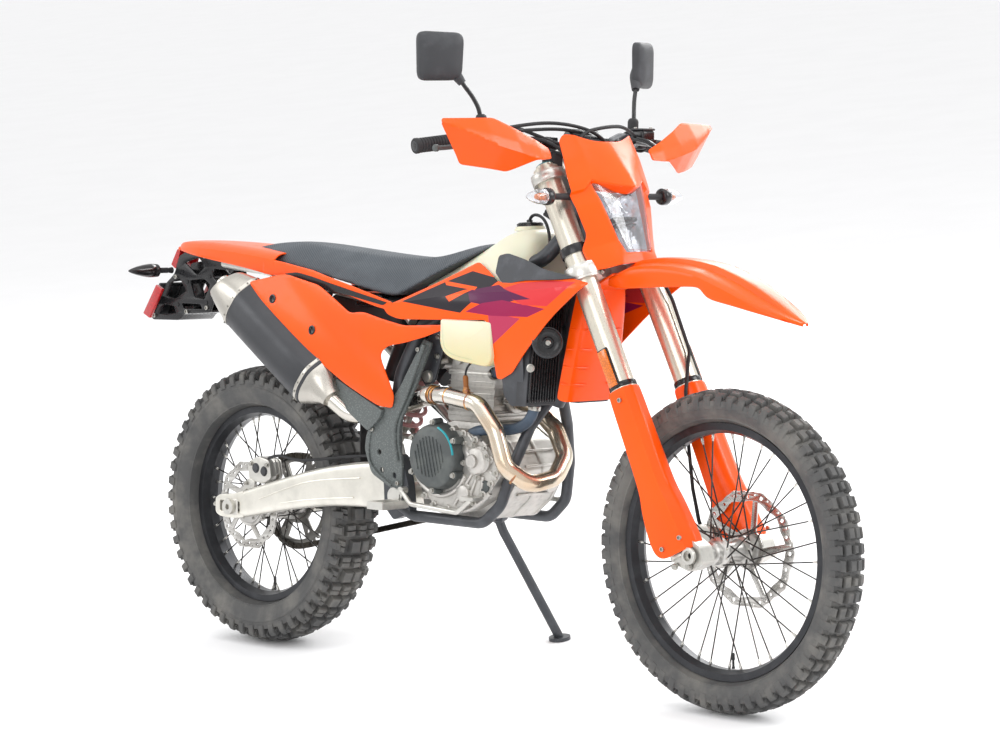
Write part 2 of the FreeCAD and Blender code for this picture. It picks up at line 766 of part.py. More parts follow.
@cache
def subframe():
    upper = tube([(-176, 86, 842), (-420, 92, 880), (-620, 84, 912), (-860, 52, 930)], subframe_r, 80.0)
    lower = tube([(-205, 112, 560), (-330, 104, 660), (-520, 98, 800), (-640, 84, 905)], subframe_r, 60.0)
    ties = [rod((-420, -90, 880), (-420, 90, 880), 8.0), rod((-640, -80, 914), (-640, 80, 914), 8.0),
            rod((-850, -52, 930), (-850, 52, 930), 8.0)]
    lug = rod((-140, 96, 812), (-190, 88, 845), 12.0)
    whole = fused(pair(upper) + pair(lower) + pair(lug) + ties)
    return less(whole, frame_tubes())


@cache
def frame_guard():
    outline = [(-222, 446), (-160, 438), (-138, 470), (-150, 512), (-157, 586), (-111, 660), (-66, 735),
               (-100, 752), (-176, 650), (-247, 610), (-256, 580), (-216, 540), (-208, 500)]
    return less(side_plate(outline, plate_out, plate_out + 9.0, 8.0), frame_tubes() + [subframe(), pivot_axle()])


@cache
def swingarm():
    side = [(-240, 480), (-180, 446), (-150, 408), (-176, 376), (-300, 356), (-496, 348), (-745, 312),
            (-812, 312), (-812, 364), (-740, 368), (-496, 446)]
    thick = side_plate(side, 20, 140, 14.0)
    plan = [(-140, 56), (-140, 92), (-230, 94), (-400, 126), (-500, arm_out), (-820, arm_out),
            (-820, arm_in), (-440, arm_in), (-370, 98), (-290, 62)]
    footprint = plan_plate(plan, 250, 560, 16.0)
    arm = thick.common(footprint)
    bridge = side_plate([(-240, 476), (-330, 462), (-350, 420), (-330, 370), (-240, 368)], -80, 80, 16.0)
    shaft = across(pivot[0], pivot[1], pivot_r, -200, 200)
    half = rear_axle_r + running_gap
    low = rear_axle[1] - half
    high = rear_axle[1] + half
    slot = side_plate([(-715, low), (-715, high), (-790, high), (-790, low)], 0, 200, 6.0)
    room_half = link_half + 4.0
    room = belt(room_half, chain_y - 11, chain_y + 11).cut(belt(-room_half, chain_y - 12, chain_y + 12))
    tunnel = across(pivot[0], pivot[1], 30.0, -92, 92)
    pocket_view = [(-300, 446), (-480, 424), (-640, 362), (-500, 370), (-310, 382)]
    pocket = side_plate(pocket_view, arm_out - 3, arm_out + 2, 12.0)
    whole = fused([arm, mirrored(arm), bridge, tunnel])
    return whole.cut([shaft, slot, mirrored(slot), room, pocket, mirrored(pocket)])


def rear_axle_node():
    x, z = rear_axle
    shaft = across(x, z, rear_axle_r, -arm_out - 12, arm_out + 12)
    nut = across(x, z, 19.0, -arm_out - 14, -arm_out)
    head = across(x, z, 19.0, arm_out, arm_out + 8)
    inner_l = across(x, z, 20.0, chain_y + 6 + seat_gap, arm_in)
    inner_r = across(x, z, 20.0, -arm_in, -rear_hub_half - seat_gap)
    return fused([shaft, nut, head, inner_l, inner_r]).cut(across(x, z, 7.0, -200, 200))


@cache
def pivot_axle():
    x, z = pivot
    shaft = across(x, z, pivot_r, -plate_out - 4, plate_out + 4)
    ends = [across(x, z, 20.0, -plate_out - 5, -plate_out), across(x, z, 20.0, plate_out, plate_out + 5)]
    return fused([shaft] + ends)


def chain_path():
    fx, fz = countershaft
    rx, rz = rear_axle
    rf = chain_pitch / (2 * math.sin(math.pi / front_teeth))
    rr = chain_pitch / (2 * math.sin(math.pi / rear_teeth))
    slope = math.atan2(fz - rz, fx - rx)
    lean = math.asin((rr - rf) / math.hypot(fx - rx, fz - rz))
    return fx, fz, rx, rz, rf, rr, slope + math.pi / 2 - lean, slope - math.pi / 2 + lean


def belt(offset, y0, y1):
    fx, fz, rx, rz, rf, rr, up, down = chain_path()
    rf = rf + offset
    rr = rr + offset

    def at(cx, cz, r, a):
        return V(cx + r * math.cos(a), y0, cz + r * math.sin(a))

    back = math.pi + (up + down) / 2.0
    ahead = (up + down) / 2.0
    edges = [
        Part.makeLine(at(rx, rz, rr, up), at(fx, fz, rf, up)),
        Part.Arc(at(fx, fz, rf, up), at(fx, fz, rf, ahead), at(fx, fz, rf, down)).toShape(),
        Part.makeLine(at(fx, fz, rf, down), at(rx, rz, rr, down)),
        Part.Arc(at(rx, rz, rr, down), at(rx, rz, rr, back), at(rx, rz, rr, up)).toShape(),
    ]
    return Part.Face(Part.Wire(edges)).extrude(V(0, y1 - y0, 0))


def chain_loop(offset, y):
    # the chain's line as a polygon, shifted out by the offset
    fx, fz, rx, rz, rf, rr, up, down = chain_path()
    points = []
    for i in range(front_wrap_steps + 1):
        a = up + (down - up) * i / front_wrap_steps
        points.append(V(fx + (rf + offset) * math.cos(a), y, fz + (rf + offset) * math.sin(a)))
    around = 2 * math.pi + down - up
    for i in range(rear_wrap_steps + 1):
        a = down - around * i / rear_wrap_steps
        points.append(V(rx + (rr + offset) * math.cos(a), y, rz + (rr + offset) * math.sin(a)))
    return Part.makePolygon(points + points[:1])


def chain():
    gap = sprocket_thick / 2 + 1.4
    rails = []
    for y0, y1 in ((chain_y - gap - plate_thick, chain_y - gap), (chain_y + gap, chain_y + gap + plate_thick)):
        band = Part.Face(chain_loop(link_half, y0)).extrude(V(0, y1 - y0, 0))
        rails.append(band.cut(Part.Face(chain_loop(-link_half, y0 - 1)).extrude(V(0, y1 - y0 + 2, 0))))
    fx, fz, rx, rz, rf, rr, up, down = chain_path()
    bars = []
    for a in (up, down):
        p = V(rx + rr * math.cos(a), 0, rz + rr * math.sin(a))
        q = V(fx + rf * math.cos(a), 0, fz + rf * math.sin(a))
        way = unit(q - p)
        over = V(way.z, 0, -way.x)
        for i in range(4, int((q - p).Length / chain_pitch) - 1, links_per_bar):
            c = p + way * (i * chain_pitch)
            ring = [c + way * (u * roller_r) + over * (v * roller_r) for u, v in ((-1, -1), (1, -1), (1, 1), (-1, 1))]
            ring = [V(point.x, chain_y - gap, point.z) for point in ring]
            bars.append(Part.Face(Part.makePolygon(ring + ring[:1])).extrude(V(0, 2 * gap, 0)))
    drive = sprocket_blank(countershaft, front_teeth, chain_y - sprocket_thick / 2)
    drive = drive.cut(across(countershaft[0], countershaft[1], 14, 0, 200))
    return fused(rails + bars), drive


@cache
def crankcase():
    side = [(-128, 452), (-112, 384), (-40, 374), (96, 372), (150, 416), (196, 488), (150, 552), (84, 588),
            (-24, 588), (-96, 556)]
    core = side_plate(side, -76, 74, 18.0)
    right = [(-60, 420), (-30, 392), (60, 388), (130, 424), (180, 482), (140, 540), (70, 572), (-20, 576), (-76, 530)]
    cover = side_plate(right, -124, -74, 16.0)
    left = across(46, 478, 66, 72, 100)
    left_cap = across(46, 478, 52, 98, 106)
    box = side_plate([(-120, 470), (-120, 390), (-60, 378), (-20, 400), (-20, 470), (-60, 486)], 100, 112, 12.0)
    stem = across(countershaft[0], countershaft[1], 14, 72, 101)
    pump = across(118, 512, 30, -132, -120)
    whole = fused([core, cover, left, left_cap, stem, pump])
    return less(whole, frame_tubes())


def clutch_cover():
    x, z = 2.0, 512.0
    drum = across(x, z, 76, -156, -124)
    step = across(x, z, 67, -162, -155)
    cap = across(x, z, 52, -164, -161)
    ribs = []
    for i in (-2, -1, 0, 1, 2):
        reach = math.sqrt(46.0 ** 2 - (i * 15.0) ** 2)
        ribs.append(Part.makeBox(5.0, 3.0, 2 * reach, V(x + i * 15.0 - 2.5, -166.0, z - reach)))
    ears = []
    for i in range(6):
        a = math.radians(30 + 60 * i)
        ears.append(across(x + 74 * math.cos(a), z + 74 * math.sin(a), 8.0, -158, -124))
    return fused([drum, step, cap] + ribs + ears)


@cache
def cylinder():
    base = side_plate([(-58, 588), (86, 588), (98, 700), (96, 800), (-30, 806), (-46, 700)], -62, 62, 12.0)
    cover = side_plate([(-24, 806), (92, 800), (84, 836), (-16, 840)], -70, 70, 12.0)
    bands = [side_plate([(-56, z), (94, z), (94, z + 5), (-56, z + 5)], -65, 65, 1.0) for z in (606, 626, 646, 666)]
    head_joint = side_plate([(-50, 696), (98, 692), (98, 704), (-48, 708)], -68, 68, 3.0)
    plugs = [across(x, z, 11, -70, 70) for x, z in ((-18, 730), (72, 730), (26, 770))]
    return fused([base, cover, head_joint] + bands + plugs)


def throttle_body():
    inlet = rod((-44, -4, 722), (-110, -8, 730), 27.0)
    body = rod((-66, -6, 725), (-98, -8, 729), 33.0)
    wheel = across(-82, 727, 22, -66, -30)
    return less(fused([inlet, body, wheel]), [cylinder()])


def header_pipe():
    path = [(84, 0, 642), (150, 6, 632), (206, 22, 578), (246, 12, 520), (256, -30, 474), (240, -96, 462),
            (200, -134, 500), (176, -140, 580), (120, -142, 640), (20, -142, 652), (-50, -128, 650),
            (-120, -72, 638), (-200, -60, 616), (-268, -72, 588), (-322, -124, 588), (-385, -156, 645)]
    pipe = tube(path, header_r, 46.0)
    return less(pipe, [cylinder(), silencer()])


@cache
def silencer(grow=0.0):
    front = V(-388.0, -158.0, 652.0)
    rear = V(-700.0, -158.0, 862.0)
    way = unit(rear - front)
    side = V(0, 1, 0)
    up = way.cross(side)
    if up.z < 0:
        up = up * -1.0

    def ring(share, w, h, slant=0.0):
        c = front + (rear - front) * share
        pts = []
        for a, b in ((-1, -0.45), (-0.6, -1), (0.6, -1), (1, -0.5), (1, 0.55), (0.8, 1), (0.1, 1), (-0.85, 0.4)):
            p = c + side * (a * (w + grow)) + up * (b * (h + grow)) + way * (slant * b)
            pts.append((p.x, p.y, p.z))
        return rounded_loop(pts, 16.0)

    nose = Part.makeLoft([ring(-0.12, 22, 22), ring(0.06, silencer_half_w, silencer_half_h)], True, True)
    can = Part.makeLoft([ring(0.06, silencer_half_w, silencer_half_h),
                         ring(0.92, silencer_half_w, silencer_half_h)], True, True)
    tail = Part.makeLoft([ring(0.92, silencer_half_w, silencer_half_h), ring(1.12, 34, 44, -14)], True, True)
    whole = fused([nose, can, tail])
    mouth = rod(tuple(rear + way * 12), tuple(rear + way * 120), 22.0)
    return whole.cut(mouth)


@cache
def radiator():
    view = [(254, 899), (286, 899), (262, 640), (230, 640)]
    core = side_plate(view, 40, 134, 4.0)
    tank = side_plate([(250, 912), (290, 912), (288, 880), (250, 880)], 44, 130, 8.0)
    stay = [rod((262, 20, 860), (262, 46, 860), 7.0), rod((236, 14, 690), (236, 46, 690), 7.0)]
    return less(fused([core, tank] + stay), frame_tubes())


def radiator_guard():
    plate = side_plate([(285.5, 880), (291, 880), (269, 650), (263.5, 650)], 42, 132, 1.5)
    slots = []
    for i in range(9):
        z = 662 + 24 * i
        slots.append(Part.makeBox(60, 82, 17, V(250, 46, z)))
    return plate.cut(slots).cut(radiator())


def shell_panel(outline, y_mid, z_mid, big_r, slant_deg, thick):
    a = math.radians(slant_deg)
    way = V(math.cos(a), math.sin(a), 0)
    inward = V(math.sin(a), -math.cos(a), 0)
    base = V(0, y_mid, z_mid) + inward * big_r - way * 1200
    outer = Part.makeCylinder(big_r, 2400, base, way)
    inner = Part.makeCylinder(big_r - thick, 2400, base, way)
    loop = rounded_loop([(x, 60, z) for x, z in outline], 10.0)
    block = Part.Face(loop).extrude(V(0, 160, 0))
    return outer.common(block).cut(inner)


def shroud():
    outline = [(-205, 872), (60, 905), (176, 912), (250, 922), (377, 931), (474, 921), (424, 886), (358, 832),
               (300, 790), (280, 730), (258, 660), (212, 640), (196, 668), (178, 740), (156, 806), (146, 822),
               (-10, 818), (-168, 820), (-215, 838)]
    panel = shell_panel(outline, 151.0, 810.0, 1100.0, 2.4, 3.0)
    stays = [across(x, z, 7.0, 134, 190) for x, z in ((268, 872), (250, 690))]
    inner = shell_panel([(150, 600), (150, 950), (420, 950), (420, 600)], 149.5, 810.0, 1100.0, 2.4, 200.0)
    stays = [stay.common(inner) for stay in stays]
    return fused([panel] + stays)


@cache
def fuel_tank():
    side = [(-176, 846), (-150, 905), (-60, 942), (60, 992), (120, 1026), (190, 1032), (228, 986), (236, 900),
            (216, 790), (206, 726), (170, 722), (60, 760), (10, 812), (-60, 826)]
    body = side_plate(side, -140, 140, 24.0)
    front = [(-140, 720), (-140, 860), (-118, 930), (-70, 1000), (-40, 1032), (40, 1032), (70, 1000),
             (118, 930), (140, 860), (140, 720)]
    body = body.common(front_plate(front, -220, 280, 22.0))
    plan = [(-190, -84), (-60, -112), (20, -140), (210, -140), (236, -116), (236, 116), (210, 140), (20, 140),
            (-60, 112), (-190, 84)]
    body = body.common(plan_plate(plan, 700, 1060, 20.0))
    tunnel = side_plate([(-200, 700), (-200, 846), (-40, 880), (150, 930), (250, 960), (250, 700)], -80, 80, 10.0)
    body = body.cut(tunnel)
    return less(body, frame_tubes(3.0))


def fuel_cap():
    return Part.makeCylinder(30.0, 34.0, V(142, 0, 1014), V(0, 0, 1)).cut(fuel_tank())


def seat():
    side = [(-760, 956), (-752, 984), (-600, 972), (-420, 962), (-160, 958), (-60, 972), (30, 998), (86, 1008),
            (96, 996), (40, 972), (-60, 930), (-150, 894), (-172, 866), (-300, 884), (-450, 912), (-640, 938)]
    body = side_plate(side, -140, 140, 7.0)
    plan = [(-762, -70), (-640, -92), (-420, -128), (-200, -126), (-100, -96), (0, -66), (96, -48),
            (96, 48), (0, 66), (-100, 96), (-200, 126), (-420, 128), (-640, 92), (-762, 70)]
    body = body.common(plan_plate(plan, 800, 1100, 24.0))
    front = [(-140, 840), (-132, 905), (-92, 962), (-50, 1012), (50, 1012), (92, 962), (132, 905), (140, 840)]
    body = body.common(front_plate(front, -800, 120, 18.0))
    return less(body, [fuel_tank(), rear_fender()])


def side_panel():
    outline = [(-634, 894), (-606, 826), (-501, 746), (-388, 656), (-202, 623), (-181, 636), (-227, 733),
               (-150, 772), (-158, 838), (-376, 878), (-482, 908)]
    panel = shell_panel(outline, 178.0, 760.0, 600.0, 3.0, 3.0)
    holes = [across(-552, 854, 9, 60, 240), across(-412, 785, 9, 60, 240)]
    stays = [across(x, z, 7.0, y, 190) for x, y, z in ((-330, 100, 661), (-600, 78, 872), (-300, 88, 860))]
    inner = shell_panel([(-760, 560), (-760, 960), (-60, 960), (-60, 560)], 176.5, 760.0, 600.0, 3.0, 200.0)
    stays = [stay.common(inner).cut(subframe()) for stay in stays]
    return fused([panel.cut(holes)] + stays)


# along, crest height, half width on top, half width below, lower edge
rear_fender_rows = [(-600, 966, 95, 118, 908), (-720, 972, 84, 110, 924), (-840, 979, 70, 94, 936),
                    (-960, 983, 54, 73, 948), (-1040, 981, 36, 46, 956)]


@cache
def rear_fender():
    sections = []
    for x, high, inner, outer, low in rear_fender_rows:
        half = [(0, high), (inner, high - 2), (outer, high - 18), (outer - 1, low)]
        sections.append(ridge_section(x, half, panel_thick))
    return Part.makeLoft(sections, True, True)


@cache
def plate_bracket():
    side = [(-1030, 928), (-1080, 920), (-1150, 790), (-1140, 770), (-1100, 780), (-1000, 880)]
    body = side_plate(side, -55, 55, 10.0)
    hollow = side_plate([(-1036, 905), (-1074, 903), (-1128, 802), (-1100, 800), (-1010, 884)], -50, 50, 8.0)
    stalk = side_plate([(-1000, 990), (-1044, 990), (-1072, 910), (-1022, 900)], -26, 26, 6.0)
    return largest(less(fused([body.cut(hollow), stalk]), [rear_fender(), tail_lamp()]))


@cache
def tail_lamp():
    return side_plate([(-1052, 962), (-1066, 960), (-1090, 921.5), (-1072.3, 910.3)], -34, 34, 3.0)


def rear_indicator():
    stem = rod((-1062, 50, 906), (-1062, 112, 906), 6.0)
    shell = Part.makeLoft([
        rounded_loop([(-1044, 108, 894), (-1080, 108, 894), (-1080, 108, 920), (-1044, 108, 920)], 8.0),
        rounded_loop([(-1050, 200, 902), (-1064, 200, 902), (-1064, 200, 914), (-1050, 200, 914)], 4.0),
    ], True, True)
    return fused([stem, shell]).cut(plate_bracket())


def shock_absorber():
    body = rod((-156, 0, 748), (-250, 0, 582), 27.0)
    shaft = rod((-240, 0, 600), (-296, 0, 500), 9.0)
    turns = []
    for i in range(7):
        share = 0.06 + 0.14 * i
        a = V(-156 - 94 * share, 0, 748 - 166 * share)
        b = V(-156 - 94 * (share + 0.055), 0, 748 - 166 * (share + 0.055))
        turns.append(rod(tuple(a), tuple(b), 35.0))
    ear = side_plate([(-166, 806), (-134, 806), (-134, 752), (-172, 740)], -14, 14, 6.0)
    low_ear = side_plate([(-282, 520), (-308, 506), (-296, 478), (-272, 480)], -14, 14, 6.0)
    return less(fused([body, shaft, ear, low_ear] + turns), frame_tubes() + [swingarm()])


def mud_flap():
    sheet = Part.makeBox(3.0, 130.0, 200.0, V(-351.5, -65.0, 420.0))
    return sheet.cut(swingarm())


def footpeg():
    tread = Part.makeBox(52.0, 76.0, 18.0, V(-172.0, 132.0, 384.0))
    cuts = []
    for i in range(3):
        cuts.append(Part.makeBox(10.0, 58.0, 40.0, V(-165.0 + 14.5 * i, 141.0, 370.0)))
    neck = Part.makeBox(24.0, 15.0, 16.0, V(-148.0, plate_out, 385.0))
    return less(fused([tread.cut(cuts), neck]), frame_tubes())


stand_tilt = math.radians(stand_tilt_deg)
stand_axis = V(0, math.cos(stand_tilt), math.sin(stand_tilt))


def along_stand(reach0, reach1, r):
    o = V(*stand_pivot)
    return rod(tuple(o + stand_axis * reach0), tuple(o + stand_axis * reach1), r)


def side_stand_parts():
    px, py, pz = stand_pivot
    ground = math.tan(math.radians(lean_deg))
    fx, fy = stand_foot
    fz = fy * ground
    lean = math.radians(lean_deg)
    up = V(0, -math.sin(lean), math.cos(lean))
    sole = V(fx, fy, fz) - up * sole_sink
    pad = Part.makeCylinder(foot_r, foot_thick, sole, up)
    eye = along_stand(-11, 11, 20.0)
    leg = tube([(px, py, pz - 12), (px + 4, py + 11, pz - 40), tuple(sole + up * 5.0)], stand_r, 20.0)
    below = Part.makeCylinder(300.0, 60.0, sole - up * 60.0, up)
    cheeks = [along_stand(-40, -11, 60.0), along_stand(11, 40, 22.0)]
    return less(fused([pad, eye, leg]), [below, along_stand(-30, 30, stand_pin_r + running_gap)] + cheeks)


def stand_bracket():
    px, py, pz = stand_pivot
    plate = rod((px, 112, pz + 6), (px, py, pz + 6), 22.0)
    plate = less(plate, frame_tubes() + [along_stand(-11.4, 60, 90.0)])
    pin = along_stand(-16, 14, stand_pin_r)
    head = along_stand(11.4, 17, 13.0)
    return fused([plate, pin, head])


def rear_caliper():
    outline = [(-30, -28), (-36, 18), (0, 34), (44, 26), (50, -20), (20, -34)]
    x, z = rear_axle[0] + 58.0, rear_axle[1] + 92.0
    body = side_plate([(x + a, z + b) for a, b in outline], -96, -54, 8.0)
    slot = across(rear_axle[0], rear_axle[1], rear_disc_r + 4, -rear_disc_y - disc_thick - 2, -rear_disc_y + 2)
    arm = side_plate([(x - 70, z - 70), (x - 70, z - 110), (x - 30, z - 100), (x + 30, z - 20), (x, z)], -98, -90, 6.0)
    whole = fused([body.cut(slot), arm])
    shaft = across(rear_axle[0], rear_axle[1], 20.0, -200, 0)
    return whole.cut([shaft, swingarm()])


def foot_controls():
    pedal = tube([(-136, -133, 424), (-104, -136, 396), (50, -136, 388), (96, -138, 420)], 6.0, 24.0)
    boss = rod((-136, -plate_out, 424), (-136, -138, 424), 9.0)
    pad = Part.makeBox(40.0, 30.0, 8.0, V(84.0, -160.0, 420.0))
    gear = tube([(-8, 118, 430), (40, 128, 410), (120, 132, 404)], 6.0, 16.0)
    toe = rod((118, 128, 404), (118, 158, 404), 8.0)
    hub_stub = rod((-8, 70, 430), (-8, 124, 430), 8.0)
    brake = less(fused([pedal, pad, boss]), frame_tubes() + [mirrored(frame_guard())])
    return [brake, less(fused([gear, toe, hub_stub]), [crankcase()])]


def coolant_hoses():
    low = tube([(118, -112, 538), (150, -104, 592), (196, -84, 636), (232, -84, 650)], 13.0, 30.0)
    return less(low, frame_tubes() + [mirrored(radiator()), crankcase()])


def build():
    shapes = {}
    shapes["front_tyre"] = tyre(front_axle, front_tyre_r, front_tyre_half, front_bead_r, front_rim_half,
                                front_rows, front_lug_high, front_middle_lug, front_side_lug)
    shapes["front_rim"] = rim(front_axle, front_bead_r, front_rim_half)
    shapes["front_hub"] = front_hub_node()
    shapes["front_disc"] = brake_disc(front_axle, front_disc_r, front_disc_y, front_carrier_r)
    shapes["rear_tyre"] = tyre(rear_axle, rear_tyre_r, rear_tyre_half, rear_bead_r, rear_rim_half,
                               rear_rows, rear_lug_high, rear_middle_lug, rear_side_lug)
    shapes["rear_rim"] = rim(rear_axle, rear_bead_r, rear_rim_half)
    shapes["rear_hub"] = rear_hub_node()
    shapes["rear_disc"] = brake_disc(rear_axle, rear_disc_r, -rear_disc_y - disc_thick, rear_carrier_r)
    shapes["rear_sprocket"] = rear_sprocket()
    shapes["triple_clamps"] = triple_clamps()
    shapes["handlebar"] = handlebar_solid()
    shapes["grips"] = grips()
    shapes["fork_upper_tubes"] = fork_uppers()
    shapes["fork_lowers"] = fork_lowers()
    shapes["fork_guards"] = fork_guards()
    shapes["front_axle"] = front_axle_node()
    shapes["front_caliper"] = front_caliper()
    shapes["front_fender"] = front_fender()
    shapes["headlamp_mask"] = headlamp_mask()
    shapes["headlamp"] = headlamp()
    shapes["handguards"] = [handguard(1), handguard(-1)]
    shapes["mirrors"] = pair(mirror_piece())
    shapes["hand_controls"] = [control_piece(1), control_piece(-1)]
    shapes["front_indicators"] = pair(front_indicator())
    shapes["brake_hose"] = brake_hose()
    shapes["main_frame"] = main_frame()
    shapes["subframe"] = subframe()
    shapes["frame_guards"] = pair(frame_guard())
    shapes["swingarm"] = swingarm()
    shapes["rear_axle"] = rear_axle_node()
    shapes["swingarm_pivot"] = pivot_axle()
    loop, drive = chain()
    shapes["chain"] = loop
    shapes["drive_sprocket"] = drive
    shapes["crankcase"] = crankcase()
    shapes["clutch_cover"] = clutch_cover()
    shapes["cylinder"] = cylinder()
    shapes["throttle_body"] = throttle_body()
    shapes["header_pipe"] = header_pipe()
    shapes["silencer"] = silencer()
    shapes["radiators"] = pair(radiator())
    shapes["radiator_guards"] = pair(radiator_guard())
    shapes["radiator_shrouds"] = pair(shroud())
    shapes["fuel_tank"] = fuel_tank()
    shapes["fuel_cap"] = fuel_cap()
    shapes["seat"] = seat()
    panel = side_panel()
    shapes["side_panels"] = [panel, mirrored(panel).cut(silencer(2.0))]
    shapes["rear_fender"] = rear_fender()
    shapes["plate_bracket"] = plate_bracket()
    shapes["tail_lamp"] = tail_lamp()
    shapes["rear_indicators"] = pair(rear_indicator())
    shapes["shock_absorber"] = shock_absorber()
    shapes["mud_flap"] = mud_flap()
    shapes["footpegs"] = pair(footpeg())
    shapes["foot_controls"] = foot_controls()
    shapes["rear_caliper"] = rear_caliper()
    shapes["coolant_hoses"] = coolant_hoses()
    shapes["stand_bracket"] = stand_bracket()
    shapes["side_stand"] = side_stand_parts()
    return shapes


def export(shapes):
    solids = {}
    for name, shape in shapes.items():
        parts = shape if isinstance(shape, list) else [shape]
        found = []
        for part in parts:
            found = found + part.Solids
        solids[name] = found
    for name in solids:
        solids[name] = [s.rotate(V(0, 0, 0), V(1, 0, 0), -lean_deg) for s in solids[name]]
    whole = Part.makeCompound([s for group in solids.values() for s in group])
    box = whole.optimalBoundingBox(False, False)
    shift = V(-(box.XMin + box.XMax) / 2, -(box.YMin + box.YMax) / 2, -box.ZMin)
    os.makedirs("parts", exist_ok=True)
    for name, group in solids.items():
        moved = [s.translate(shift) for s in group]
        piece = moved[0] if len(moved) == 1 else Part.makeCompound(moved)
        piece.exportStep("parts/" + name + ".step")
    print("shift", round(shift.x, 4), round(shift.y, 4), round(shift.z, 4))
    print("size", round(box.XLength, 2), round(box.YLength, 2), round(box.ZLength, 2))
    return solids


if __name__ == "__main__":
    export(build())
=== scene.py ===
import math

import bmesh
import bpy
import numpy as np
from mathutils import Matrix, Vector
from mathutils.geometry import delaunay_2d_cdt


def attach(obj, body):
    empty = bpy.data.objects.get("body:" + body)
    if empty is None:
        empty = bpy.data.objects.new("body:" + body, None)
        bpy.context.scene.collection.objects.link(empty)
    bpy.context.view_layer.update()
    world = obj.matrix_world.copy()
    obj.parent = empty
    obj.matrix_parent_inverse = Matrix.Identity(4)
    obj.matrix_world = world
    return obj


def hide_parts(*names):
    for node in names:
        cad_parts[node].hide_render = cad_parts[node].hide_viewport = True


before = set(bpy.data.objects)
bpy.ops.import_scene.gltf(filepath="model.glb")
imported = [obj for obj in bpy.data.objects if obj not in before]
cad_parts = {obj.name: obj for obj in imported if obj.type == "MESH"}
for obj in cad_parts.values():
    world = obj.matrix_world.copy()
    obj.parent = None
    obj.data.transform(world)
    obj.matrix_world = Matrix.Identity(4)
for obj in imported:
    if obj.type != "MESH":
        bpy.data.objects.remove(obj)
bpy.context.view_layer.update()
print("frame loaded:", len(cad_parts), "nodes")

# The motorcycle is drawn upright in millimetres, x forward, y left, and leaned at the end.
stance = {
    "leanDegrees": 9.0,
    "shift": (0.0277672, -0.1970292, 0.0018938),
    "frontAxle": (743.5, 350.0),
    "rearAxle": (-743.5, 340.0),
    "rakeDegrees": 27.0,
    "steeringFoot": (679.0, 350.0),
    "legY": 105.0,
    "legLead": 22.3,
}
unlean = Matrix.Rotation(-math.radians(stance["leanDegrees"]), 4, "X")
leaned = Matrix.Translation(stance["shift"]) @ unlean @ Matrix.Scale(0.001, 4)
rake = math.radians(stance["rakeDegrees"])


def forkPoint(f, y, s):
    # f is ahead of the steering axis, s is up along it
    x = stance["steeringFoot"][0] + math.cos(rake) * f - math.sin(rake) * s
    z = stance["steeringFoot"][1] + math.sin(rake) * f + math.cos(rake) * s
    return (x, y, z)


# materials

class Value:
    # a socket that can be used in sums
    def __init__(self, finish, socket):
        self.finish = finish
        self.socket = socket

    def maths(self, operation, other, flipped=False):
        pair = [other, self] if flipped else [self, other]
        return self.finish.node("ShaderNodeMath", {"operation": operation}, pair)

    def __add__(self, other):
        return self.maths("ADD", other)

    def __radd__(self, other):
        return self.maths("ADD", other, True)

    def __sub__(self, other):
        return self.maths("SUBTRACT", other)

    def __rsub__(self, other):
        return self.maths("SUBTRACT", other, True)

    def __mul__(self, other):
        return self.maths("MULTIPLY", other)

    def __rmul__(self, other):
        return self.maths("MULTIPLY", other, True)

    def __truediv__(self, other):
        return self.maths("DIVIDE", other)

    def __pow__(self, other):
        return self.maths("POWER", other)

    def __gt__(self, other):
        return self.maths("GREATER_THAN", other)

    def __lt__(self, other):
        return self.maths("LESS_THAN", other)


def paint(red, green, blue):
    # an 8 bit screen colour as the linear one that shaders take
    return tuple(((c / 255.0 + 0.055) / 1.055) ** 2.4 if c > 10 else c / 255.0 / 12.92 for c in (red,
                                            green, blue)) + (1.0,)


